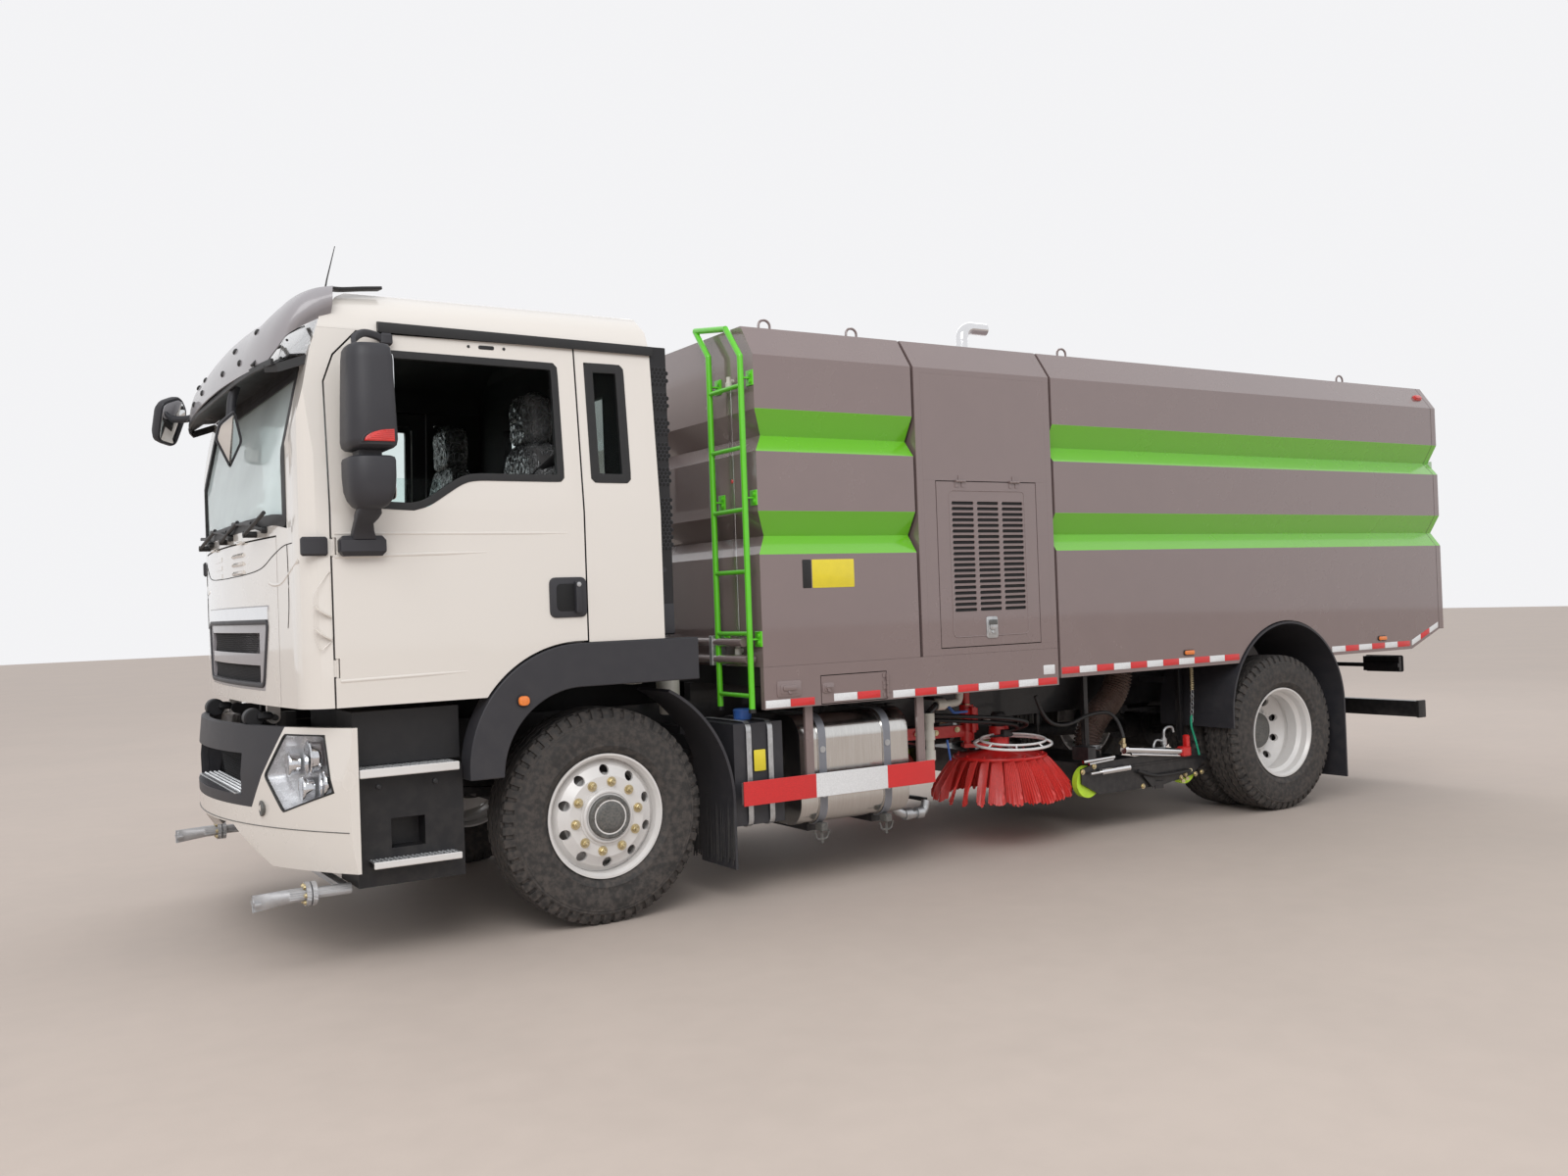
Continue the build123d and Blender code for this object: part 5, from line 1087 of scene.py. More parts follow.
def make_cab_side_trim():
    """Rain gutters, a small slot with two plugs, and the pressed lines and handles of the doors."""
    gutter_path = np.array([(x, side_y(2.81) + 0.006, 2.803 + 0.012 * (x + 0.3))
                            for x in np.linspace(1.05, -0.30, 12)])
    gutter = swept([(-0.010, -0.020), (0.012, -0.024), (0.016, 0.004), (0.010, 0.022), (-0.010, 0.024)],
                   gutter_path)
    show("gutters", both(gutter), "cab", "grey_rubber")
    slot = side_plate(rectangle(0.075, 0.018, 0.009, 6) + [0.55, 2.762], side_y(2.762) - 0.001, 0.004,
                      0.001)
    plugs = joined(*(lathe([(0.001, -0.001), (0.007, -0.001), (0.007, 0.003), (0.001, 0.004)],
                           (x, side_y(2.762), 2.762), "y", 16) for x in (0.635, 0.465)))
    show_pair("door_top_slot", joined(slot, plugs), "door", "grey_rubber")
    lines = []
    for z, x0, x1, reach in ((1.90, 1.28, 0.14, 0.004), (1.800, 1.28, 0.55, 0.005),
                             (1.265, 1.27, 0.66, 0.005)):
        x = np.linspace(x0, x1, 24)
        fade = np.clip((x - x1) / 0.25, 0, 1) * reach
        path = np.c_[x, side_y(np.full(24, z)) - 0.004 + fade,
                     np.full(24, z) + 0.02 * (x0 - x) * (reach > 0.004)]
        lines.append(swept([(-0.003, -0.012), (0.003, -0.004), (0.003, 0.003), (-0.003, 0.008)], path))
    show_pair("door_pressings", joined(*lines), "door", "cab", sharp=60)
    cup = joined(side_plate(rectangle(0.187, 0.190, 0.034, 6) + [0.2135, 1.595], cab_half - 0.002, 0.011,
                            0.005),
                 side_plate(rectangle(0.030, 0.150, 0.010) + [0.170, 1.595], cab_half + 0.008, 0.026,
                            0.007))
    show_pair("door_handle", cup, "door", "plastic")
    # the black dish inside the handle cup is painted shade of its recess
    bowl = side_plate(rectangle(0.098, 0.130, 0.026, 6) + [0.225, 1.595], cab_half + 0.0092, 0.0012, 0.0004)
    show_pair("door_handle_recess", bowl, "door", "black_void")
    key = lathe([(0.001, 0.0), (0.011, 0.0), (0.011, 0.004), (0.001, 0.005)],
                (0.170, cab_half + 0.033, 1.655), "y", 20)
    show_pair("door_key", key, "door", "steel")


column_front = -0.290


def make_intake_columns():
    """Groups of hexagonal perforations, four abreast, on the columns behind the cab, as black hexagons of
    painted shade; the columns' feet.
    """
    hexagon = ring_outline(0.0105, 6) @ swap_axes
    rim = side_plate(hexagon * 1.18, 0.0, 0.0012, 0.0005)
    # each hole is a black plate on the column: painted shade inside the perforation
    hole = side_plate(hexagon, 0.0010, 0.0008, 0.0003)
    pitch = 0.0215
    places = []
    for low, rows in ((2.645, 5), (2.520, 5), (2.395, 5), (2.270, 5), (2.145, 5), (1.825, 14)):
        for k in range(rows):
            for i in range(4):
                places.append((column_front - 0.018 - pitch * i - pitch / 2 * (k % 2), 1.178,
                               low + k * pitch * 0.866))
    show("column_hexagon_rims", both(at_places(rim, places)), "cab", "plastic")
    show("column_hexagons", both(at_places(hole, places)), "cab", "black_void")
    drain = lathe([(0.004, 0.0), (0.013, 0.0), (0.013, 0.003), (0.009, 0.003), (0.004, 0.0005)],
                  (-0.335, 1.178, 1.72), "y", 20)
    ridge = side_plate(rounded([(-0.382, 1.40), (-0.293, 1.40), (-0.293, 1.55), (-0.382, 1.55)], 0.01),
                       1.176, 0.008, 0.006)
    show("column_feet", both(joined(drain, ridge)), "cab", "plastic")


# Front of the cab and the bumper
def swept_across(profile, y0, y1, z, steps=25):
    """A profile (out, up) carried from y0 to y1 along the cab's nose at a height."""
    y = np.linspace(y0, y1, steps)
    level = np.full(steps, z)
    return swept(profile, np.c_[nose_x(y, level), y, level])


def mesh_wires(low, high, half, setback, pitch):
    """Crossed diagonal wires behind a window between two heights, out to a half width."""
    height = high - low
    forms = []
    starts = np.arange(-half, half - height, pitch)
    profile = ring_outline(0.0016, 4)
    for way in (1, -1):
        for y in starts:
            a, b = (y, y + height) if way > 0 else (y + height, y)
            ends = [(nose_x(a, low) - setback, a, low), (nose_x(b, high) - setback, b, high)]
            forms.append(swept(profile, ends))
    return joined(*forms)


def make_grille_trim():
    """A chrome bar over the grille, mesh in its two windows, a rim around it, and the flap's vents."""
    bar = swept_across([(-0.006, -0.030), (0.010, -0.026), (0.017, -0.008), (0.014, 0.016), (0.004, 0.027),
                        (-0.006, 0.027)], 0.772, -0.772, 1.572)
    show("grille_chrome", bar, "front_flap", "chrome", sharp=50)
    show("grille_mesh",
         joined(mesh_wires(1.385, 1.480, 0.615, 0.013, 0.020),
                mesh_wires(1.250, 1.330, 0.615, 0.013, 0.014)), "front_flap", "step")
    outline = dense(rounded([(0.775, 1.540), (0.688, 1.228), (-0.688, 1.228), (-0.775, 1.540)], 0.05))
    show("grille_rim", band(outline, 0.022, on_nose, 0.009, 0.012), "front_flap", "plastic", sharp=60)
    ridges = []
    for side in (1, -1):
        for z in (1.770, 1.812, 1.854):
            ridges.append(swept_across([(-0.002, -0.012), (0.007, -0.009), (0.009, -0.002),
                                        (-0.002, 0.011)], side * 0.155, side * 0.385, z, steps=8))
    show("flap_vents", joined(*ridges), "front_flap", "cab", sharp=50)


def bumper_x(y, z):
    """The bumper's face at a half width and a height."""
    nose = np.interp(z, bumper_heights, bumper_stations)
    return nose - bumper_radius + np.sqrt(bumper_radius ** 2 - np.asarray(y, float) ** 2)


lamp_corners = [(0.885, 1.030), (1.120, 1.030), (1.180, 0.780), (0.885, 0.680), (0.765, 0.840)]
reflectors = [(0.992, 0.925, 0.070), (0.958, 0.785, 0.052), (1.080, 0.812, 0.054), (0.868, 0.890, 0.050)]


def make_headlamps():
    """Behind each clear lens: a satin bowl, round reflectors with bulbs and rims, an amber corner, a seal."""
    outline = dense(rounded(np.array(lamp_corners[::-1]), 0.02, 4), 0.03)
    centre = outline.mean(0)

    def on_bumper(points, lift):
        return np.c_[bumper_x(points[:, 0], points[:, 1]) + lift, points[:, 0], points[:, 1]]

    def loops(*levels):
        """Rings of the outline scaled about its centre, at each lift."""
        rings = [on_bumper(centre + (outline - centre) * k, lift) for k, lift in levels]
        return grid(np.stack(rings), close_columns=True, caps=True)

    bowl = loops((0.50, -0.100), (0.80, -0.098), (0.92, -0.085), (0.97, -0.040), (0.995, -0.003),
                 (1.0, -0.006), (0.99, -0.045), (0.94, -0.090), (0.82, -0.104), (0.50, -0.106))
    show("lamp_bowls", both(bowl), "root", "bowl")
    cover_caps = loops((0.30, 0.0075), (0.70, 0.0060), (0.92, 0.0020), (0.995, -0.0030), (0.985, -0.0045),
                       (0.92, 0.0), (0.70, 0.0040), (0.30, 0.0055))
    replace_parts(show("lamp_covers", both(cover_caps), "root", "clear", "lamp", 60), "lamps")
    tails = [part for part in solid_parts("lamps") if part[0][:, 0].max() < rear_axle]
    show_rounded("tail_lamps", tails, "root", "ruby", "lamp", 0.006)
    dishes, bulbs, rims = [], [], []
    for y, z, r in reflectors:
        x = float(bumper_x(y, z)) - 0.062
        dishes.append(lathe([(0.010, -0.018), (r * 0.45, -0.012), (r * 0.75, 0.001), (r * 0.92, 0.020),
                             (r * 0.985, 0.022), (r, 0.018), (r, -0.02)], (x, y, z), "x", 36))
        bulbs.append(lathe([(0.001, -0.015), (r * 0.30, -0.012), (r * 0.34, 0.004), (r * 0.25, 0.014),
                            (0.001, 0.018)], (x, y, z), "x", 24))
        rims.append(lathe([(r * 0.90, 0.022), (r, 0.018), (r * 1.09, 0.018), (r * 1.09, 0.025), (r, 0.030),
                           (r * 0.93, 0.028)], (x, y, z), "x", 36))
    show("lamp_dishes", both(joined(*dishes)), "root", "chrome", sharp=50)
    show("lamp_bulbs", both(joined(*bulbs)), "root", "mirror", "lamp", 50)
    show("lamp_rims", both(joined(*rims)), "root", "chrome", "lamp", 50)
    amber_x = float(bumper_x(1.10, 0.965)) - 0.065
    amber_dish = lathe([(0.001, -0.010), (0.030, -0.006), (0.036, 0.010), (0.030, 0.020), (0.001, 0.024)],
                       (amber_x, 1.100, 0.962), "x", 24)
    show("lamp_ambers", both(amber_dish), "root", "amber", sharp=50)
    show("lamp_seals", both(band(outline, 0.007, on_bumper, 0.004, 0.012)), "root", "grey_rubber", sharp=60)


def make_bumper_trim():
    """Mesh and tread in the centre panel's recess, its pivots, fog lamps and a line along the bumper."""
    wires = []
    for way in (1, -1):
        for y in np.arange(-0.555, 0.375, 0.024):
            a, b = (y, y + 0.18) if way > 0 else (y + 0.18, y)
            wires.append(swept(ring_outline(0.0020, 4), [(1.474, a, 0.745), (1.474, b, 0.925)]))
    show("bumper_mesh", joined(*wires), "root", "step")
    tread = block((1.475, 1.585), (-0.50, 0.50), (0.738, 0.746), 0.002)
    teeth = [(1.490 + 0.022 * i, -0.48 + 0.030 * k, 0.746) for i in range(4) for k in range(33)]
    tooth = lathe([(0.001, 0.0), (0.008, 0.0), (0.005, 0.007), (0.001, 0.007)], (0, 0, 0), "z", 8)
    show("bumper_tread", joined(tread, at_places(tooth, teeth)), "root", "steel", "polished_alloy")
    pivots = []
    for y in (0.52, -0.52):
        x = float(bumper_x(y, 1.05)) - 0.060
        pivots.append(lathe([(0.001, -0.035), (0.040, -0.035), (0.046, -0.028), (0.046, 0.028),
                             (0.040, 0.035), (0.001, 0.035)], (x, y, 1.085), "y", 28))
        pivots.append(block((x - 0.08, x - 0.01), (y - 0.06, y + 0.06), (1.075, 1.110), 0.012))
    show("panel_pivots", joined(*pivots), "cab", "step")
    fog = joined(*(lathe([(0.001, -0.01), (0.030, -0.01), (0.036, 0.000), (0.034, 0.006), (0.026, 0.008),
                          (0.022, 0.004), (0.001, 0.002)], (float(bumper_x(y, 0.69)) + 0.001, y, 0.690),
                         "x", 28) for y in (0.735, -0.735)))
    show("fog_lamps", fog, "root", "hub", "lamp", 50)
    y = np.linspace(-1.24, 1.24, 61)
    line_z = np.full(61, 0.610)
    line = tube(np.c_[bumper_x(y, line_z) + 0.0005, y, line_z], 0.0022, sides=6)
    show("bumper_line", line, "root", "hub")


# Copies of solids with rounded edges
def solid_parts(node):
    """The separate solids of a node as shapes. Doubled points are merged, then each point takes the lowest
    number in its faces until nothing changes, so that one number is left for each solid."""
    mesh = nodes[node].data
    points = np.empty(len(mesh.vertices) * 3, np.float32)
    mesh.vertices.foreach_get("co", points)
    corners = np.empty(len(mesh.loops), np.int32)
    mesh.loops.foreach_get("vertex_index", corners)
    merged, number = np.unique(points.reshape(-1, 3), axis=0, return_inverse=True)
    faces = number.ravel()[corners].reshape(-1, 3)
    label = np.arange(len(merged))
    settled = False
    while not settled:
        spread = label.copy()
        np.minimum.at(spread, faces.ravel(), np.repeat(label[faces].min(1), 3))
        settled = bool((spread == label).all())
        label = spread
    parts = []
    for first in np.unique(label):
        own = label == first
        renumber = np.cumsum(own) - 1
        parts.append((merged[own].astype(float) - [axle_x, 0, 0], [renumber[faces[own[faces[:, 0]]]]]))
    return parts


def show_rounded(name, forms, body, finish_name, slot, width, replaced=(), segments=2):
    """Copies of solids as one piece: flat faces joined up, edges sharper than 30 degrees rounded to a width,
    and normals weighted by face area so that flats stay flat."""
    piece = show(name, joined(*forms), body, finish_name, slot, 180)
    work = bmesh.new()
    work.from_mesh(piece.data)
    bmesh.ops.dissolve_limit(work, angle_limit=math.radians(0.25), verts=work.verts, edges=work.edges)
    work.to_mesh(piece.data)
    work.free()
    edges = piece.modifiers.new("rounded_edges", "BEVEL")
    edges.width = width
    edges.segments = segments
    edges.limit_method = "ANGLE"
    edges.angle_limit = math.radians(30)
    flats = piece.modifiers.new("flat_faces", "WEIGHTED_NORMAL")
    flats.keep_sharp = False
    if replaced:
        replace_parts(piece, *replaced)
    return piece


rounded_panels = [
    # (piece, solid, body, finish, slot, width of the edges, steps round them)
    ("cab_panels", "cab_shell", "cab", "cab", "cab_paint", 0.007, 2),
    ("flap_panel", "front_flap", "front_flap", "cab", "cab_paint", 0.006, 2),
    ("bumper_skin", "front_bumper", "root", "cab", "cab_paint", 0.010, 3),
    ("bumper_centre", "bumper_panel", "root", "plastic", "black_plastic", 0.008, 2),
    ("grille_frame", "grille", "front_flap", "visor", "black_plastic", 0.006, 2),
    ("step_panels", "step_boxes", "root", "step", "black_plastic", 0.010, 3),
    ("guards", "mudguards", "root", "plastic", "black_plastic", 0.008, 2),
    ("door_skin_left", "door_left", "door_left", "cab", "cab_paint", 0.005, 2),
    ("door_skin_right", "door_right", "door_right", "cab", "cab_paint", 0.005, 2),
]


def make_rounded_panels():
    """The cab, doors, flap, bumper, steps, mudguards, column and fender solids with softened edges."""
    for name, node, body, finish_name, slot, width, segments in rounded_panels:
        show_rounded(name, solid_parts(node), body, finish_name, slot, width, [node], segments)
    parts = solid_parts("cab_trim")
    fenders = [part for part in parts if part[0][:, 2].max() < 1.5]
    columns = [part for part in parts if part[0][:, 0].max() < 0]
    vents = [part for part in parts if part[0][:, 2].max() < 2.1 and part[0][:, 2].min() > 1.8]
    show_rounded("fenders", fenders, "cab", "plastic", "black_plastic", 0.014, ["cab_trim"], segments=3)
    show_rounded("column_panels", columns, "cab", "step", "black_plastic", 0.006)
    show_rounded("wiper_feet", vents, "cab", "grey_rubber", "black_plastic", 0.003)


# Mirrors: heads as lofted rounded boxes, fuller at the outer front corner
mirror_x = 1.165
upper_y, neck_y, lower_y = 1.395, 1.390, 1.385
head_taper = 0.9
mirror_lamp_x, mirror_lamp_z = 1.086, 2.268


def head_levels(x, y, low, high, length, width, corners):
    """Levels of a mirror head: drawn in at both ends, and narrower by the taper at the top."""
    steps = [(0.0, 0.62), (0.012, 0.84), (0.035, 0.95), (0.09, 1.0), (0.5, 0.99), (0.86, 0.965),
             (0.95, 0.93), (0.985, 0.84), (1.0, 0.66)]
    levels = []
    for share, size in steps:
        size *= 1 + (head_taper - 1) * share
        levels.append((low + (high - low) * share, x, y, length * size, width * size,
                       [c * size for c in corners]))
    return levels


def make_mirrors():
    """On each door: a tall head, a small wide-angle head below it, necks, a foot, a top stay and a lamp."""
    upper = lofted(head_levels(mirror_x, upper_y, 2.240, 2.690, 0.200, 0.270, (0.02, 0.09, 0.10, 0.03)))
    lower_sizes = [(1.990, 0.060, 0.090), (1.994, 0.095, 0.135), (2.006, 0.130, 0.178),
                   (2.030, 0.160, 0.212), (2.070, 0.182, 0.235), (2.130, 0.190, 0.240),
                   (2.195, 0.190, 0.240), (2.208, 0.183, 0.233), (2.214, 0.160, 0.210)]
    lower = lofted([(z, mirror_x, lower_y, length, width, (0.02, 0.08, 0.09, 0.03))
                    for z, length, width in lower_sizes])
    middle_neck = lofted([(z, mirror_x, neck_y, 0.100, 0.120, 0.02) for z in (2.205, 2.250)])
    low_neck = lofted([(1.872, mirror_x, 1.283, 0.105, 0.066, 0.02),
                       (1.905, 1.170, 1.296, 0.090, 0.070, 0.02), (1.935, 1.176, 1.330, 0.078, 0.074, 0.02),
                       (1.955, 1.168, 1.352, 0.092, 0.080, 0.02),
                       (1.975, mirror_x, 1.372, 0.104, 0.100, 0.03),
                       (2.000, mirror_x, lower_y, 0.090, 0.110, 0.03)])
    foot = block((1.068, 1.270), (1.246, 1.312), (1.800, 1.888), 0.020)
    show_pair("mirror_heads", joined(upper, lower, middle_neck, low_neck, foot), "door", "plastic",
              sharp=40)
    for side in ("left", "right"):
        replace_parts(bpy.data.objects[f"mirror_heads_{side}"], f"mirror_{side}")
    pillar_foot = block((1.308, 1.420), (1.232, 1.262), (1.804, 1.886), 0.012)
    show("mirror_pillar_feet", both(pillar_foot), "cab", "plastic", sharp=40)
    stay = swept(rectangle(0.020, 0.034, 0.008),
                 smooth_path([(1.020, 1.196, 2.758), (1.070, 1.225, 2.772), (1.140, 1.290, 2.765),
                              (1.195, 1.350, 2.725), (1.205, 1.385, 2.680)], 6))
    clamp = block((0.990, 1.045), (1.186, 1.222), (2.735, 2.790), 0.010)
    show_pair("mirror_stay", joined(stay, clamp), "door", "plastic", sharp=40)
    glasses = joined(facing_rear(rectangle(0.215, 0.370, 0.035) + [upper_y, 2.462], 1.0765, 0.004),
                     facing_rear(rectangle(0.185, 0.165, 0.030) + [lower_y, 2.115], 1.0735, 0.004))
    show_pair("mirror_glasses", glasses, "door", "mirror")
    turn = np.linspace(0, math.pi / 2, 12)
    quarter = np.vstack([np.c_[mirror_lamp_x + 0.125 * np.cos(turn),
                               mirror_lamp_z + 0.052 * np.sin(turn)],
                         [(mirror_lamp_x, mirror_lamp_z)]])
    lens = side_plate(quarter, 1.5235, 0.008)
    brow = swept(rectangle(0.008, 0.010, 0.002),
                 np.c_[1.084 + 0.134 * np.cos(turn), np.full(12, 1.522), 2.266 + 0.062 * np.sin(turn)])
    ribs = joined(*(straight((1.090, 1.532, z), (1.205 - (z - 2.27) * 1.6, 1.532, z), 0.0016, 6)
                    for z in np.arange(2.274, 2.315, 0.008)))
    show_pair("mirror_lamp", joined(lens, ribs), "door", "ruby")
    show_pair("mirror_lamp_brow", brow, "door", "plastic", sharp=40)


def looking(towards):
    """The direction as a unit vector, with the level one across it and the one upwards."""
    towards = unit(towards)
    across = unit(np.cross((0, 0, 1), towards))
    return towards, across, np.cross(towards, across)


def make_kerb_mirrors():
    """The kerb mirror on its arm at the right of the visor, and the small front mirror under the visor."""
    outline = rounded([(-0.085, -0.125), (0.060, -0.145), (0.105, 0.060), (0.030, 0.145), (-0.100, 0.090)],
                      0.045, 6)
    back = [(1.0, 0.0), (1.04, -0.012), (1.0, -0.040), (0.80, -0.066), (0.45, -0.080)]
    cup = stacked([(outline * k, depth) for k, depth in back])
    glass_form = plate(shrunk(outline, 0.012), 0.004)
    towards, across, upward = looking((-0.62, 0.74, -0.26))
    centre = np.array([1.578, -1.130, 2.690])
    show("kerb_mirror_back", placed(cup, centre, across, upward), "cab", "plastic", sharp=40)
    show("kerb_mirror_glass", placed(glass_form, centre + towards * 0.001, across, upward), "cab", "mirror")
    arm = tube(smooth_path([centre - towards * 0.05, (1.520, -1.080, 2.695), (1.470, -1.000, 2.700),
                            (1.400, -0.930, 2.700)], 6), 0.020, sides=12)
    show("kerb_mirror_arm", arm, "cab", "plastic", sharp=40)
    small = np.array([1.560, 0.480, 2.400])
    towards, across, upward = looking((0.10, 0.80, -0.25))
    shape = rounded([(-0.058, -0.010), (0.006, -0.150), (0.062, -0.020), (0.030, 0.125), (-0.040, 0.060)],
                    0.020)
    back_form = stacked([(shape * k, depth) for k, depth in back])
    show("front_mirror_back", placed(back_form, small, across, upward), "cab", "plastic",
         sharp=40)
    mirror_face = placed(plate(shrunk(shape, 0.010), 0.004), small + towards * 0.001, across, upward)
    show("front_mirror_glass", mirror_face, "cab", "mirror")
    hang = [small - towards * 0.05, (1.535, 0.415, 2.500), (1.525, 0.400, 2.580), (1.505, 0.400, 2.650)]
    show("front_mirror_arm", tube(smooth_path(hang, 6), 0.022, (1, 0, 0), 12), "cab", "plastic", sharp=40)


# Visor: top and lower lines from the middle outwards
visor_top = [(1.400, 0.00, 2.955), (1.400, 0.30, 2.946), (1.398, 0.60, 2.925), (1.395, 0.85, 2.935),
             (1.378, 0.99, 2.950), (1.345, 1.07, 2.967), (1.295, 1.125, 2.982), (1.226, 1.150, 2.993)]
visor_low = [(1.560, 0.00, 2.655), (1.555, 0.30, 2.655), (1.542, 0.60, 2.652), (1.526, 0.85, 2.648),
             (1.502, 1.02, 2.648), (1.468, 1.115, 2.700), (1.410, 1.152, 2.775), (1.240, 1.158, 2.872)]
visor_bulge = 0.036
visor_bolts = ((4, 14), (5, 7), (8, 11), (8, 5), (4, -14), (5, -7), (8, -11), (8, -5))
visor_screws = ((1.452, 2.662), (1.290, 2.836), (1.292, 2.738), (1.425, 2.740))
visor_stay_places = (-0.92, -0.45, 0.0, 0.45, 0.92)
rail_half, rail_points = 1.130, 41


def visor_skin():
    """Between the two lines, bulging outwards by 4 v (1 - v) times the bulge, and mirrored."""
    top, low = smooth_path(visor_top, 5), smooth_path(visor_low, 5)
    v = np.linspace(0, 1, 11)[:, None, None]
    half = top + (low - top) * v
    normal = -unit(np.cross(np.gradient(half, axis=1), np.gradient(half, axis=0)))
    half = half + normal * visor_bulge * 4 * v * (1 - v)
    return np.concatenate([half[:, :0:-1] * [1, -1, 1], half], axis=1)


def make_visor():
    """The shield over the windscreen: bolts, end panels, dark returns, stays, a sheet of painted shade under
    it; the aerial.
    """
    skin = visor_skin()
    show("visor_shield", shell(skin, -0.006), "cab", "visor", sharp=45)
    columns = skin.shape[1]
    bolts = []
    head = lathe([(0.001, 0.010), (0.009, 0.009), (0.015, 0.005), (0.016, 0.0), (0.001, 0.0)], (0, 0, 0),
                 "z", 14)
    slopes_along, slopes_down = np.gradient(skin, axis=1), np.gradient(skin, axis=0)
    outward = -unit(np.cross(slopes_along, slopes_down))
    for row, offset in visor_bolts:
        spot = (row, columns // 2 + offset)
        across = unit(slopes_along[spot])
        bolts.append(placed(head, skin[spot], across, np.cross(outward[spot], across)))
    show("visor_bolts", joined(*bolts), "cab", "grey_rubber", sharp=50)
    panel = rounded([(1.466, 2.640), (1.440, 2.752), (1.268, 2.856), (1.280, 2.722)], 0.030, 6)
    clear = side_plate(panel, 1.140, 0.005, 0.002)
    show("visor_end_panels", both(clear), "cab", "clear")
    screws = [lathe([(0.001, 0.003), (0.004, 0.003), (0.006, 0.0), (0.001, 0.0)], (x, 1.145, z), "y", 12)
              for x, z in visor_screws]
    show("visor_screws", both(joined(*screws)), "cab", "grey_rubber")
    sill = shell(np.stack([[(1.500, 1.050, 2.640), (1.470, 1.142, 2.636), (1.375, 1.146, 2.672),
                            (1.262, 1.146, 2.712), (1.240, 1.120, 2.720)],
                           [(1.495, 1.050, 2.612), (1.462, 1.146, 2.600), (1.370, 1.150, 2.634),
                            (1.262, 1.150, 2.676), (1.240, 1.120, 2.690)]]), 0.008)
    show("visor_returns", both(sill), "cab", "grey_rubber", sharp=50)
    y = np.linspace(-rail_half, rail_half, rail_points)
    rail_x = 1.548 - 0.050 * (y / rail_half) ** 4
    low_rail = swept(rectangle(0.012, 0.030), np.c_[rail_x - 0.012, y, np.full(rail_points, 2.645)])
    stays = [swept(rectangle(0.030, 0.012),
                   smooth_path([(1.530, y0, 2.660), (1.440, y0, 2.760), (1.360, y0, 2.820),
                                (1.300, y0, 2.850)], 5)) for y0 in visor_stay_places]
    ends = [swept(rectangle(0.014, 0.05),
                  smooth_path([(1.235, y0, 2.985), (1.180, y0 * 0.985, 2.990), (1.090, y0 * 0.97, 3.005),
                               (1.000, y0 * 0.955, 3.018)], 5), (0, 1, 0)) for y0 in (1.12, -1.12)]
    show("visor_stays", joined(low_rail, *stays, *ends), "cab", "grey_rubber", sharp=50)
    # a black sheet from the visor's lower edge back to the cab: painted shade under the visor
    y = np.linspace(-1.140, 1.140, rail_points)
    drop = 0.050 * np.clip((np.abs(y) - 0.95) / 0.19, 0, 1)
    front_edge = np.c_[rail_x - 0.020, y, 2.650 - drop * 0.3]
    edge_z = np.full(rail_points, 2.690)
    back_edge = np.c_[nose_x(y, edge_z) + 0.004, y, edge_z]
    underside = shell(np.stack([front_edge, (front_edge + back_edge) / 2 + [0, 0, 0.02], back_edge]), 0.006)
    show("visor_underside", underside, "cab", "grey_rubber", sharp=50)
    # a dark band on the windscreen's top: partly its black border, partly painted shadow of the visor
    border = np.stack([on_nose(np.c_[np.linspace(-1.02, 1.02, 25), np.full(25, z)], -0.004)
                       for z in (2.690, 2.650, 2.600)])
    show("screen_shade_band", shell(border, 0.003), "cab", "grey_rubber")
    aerial = joined(tube([(1.206, 0.900, 3.000), (1.190, 0.900, 3.080), (1.150, 0.900, 3.236)], 0.0032,
                         (0, 1, 0), 8, sizes=[1.6, 1.1, 0.6]),
                    lathe([(0.001, 0.0), (0.016, 0.0), (0.013, 0.016), (0.006, 0.030), (0.001, 0.032)],
                          (1.206, 0.900, 2.985), "z", 16))
    show("aerial", aerial, "cab", "grey_rubber")


# Cab front: seams, corner panels with scoops, wipers
flap_seams = [
    [(0.0, 1.752), (0.40, 1.757), (0.68, 1.775), (0.86, 1.825), (1.0, 1.860), (1.11, 1.868)],
    [(1.045, 1.862), (1.050, 1.740), (1.048, 1.600), (1.030, 1.500)],
]


def seam_line(points):
    """A dark gap drawn along a smooth line laid on the cab's front skin."""
    line = smooth_path(np.c_[np.asarray(points, float), np.zeros(len(points))], 6)[:, :2]
    return tube(on_nose(line, 0.0), 0.0022, sides=6)


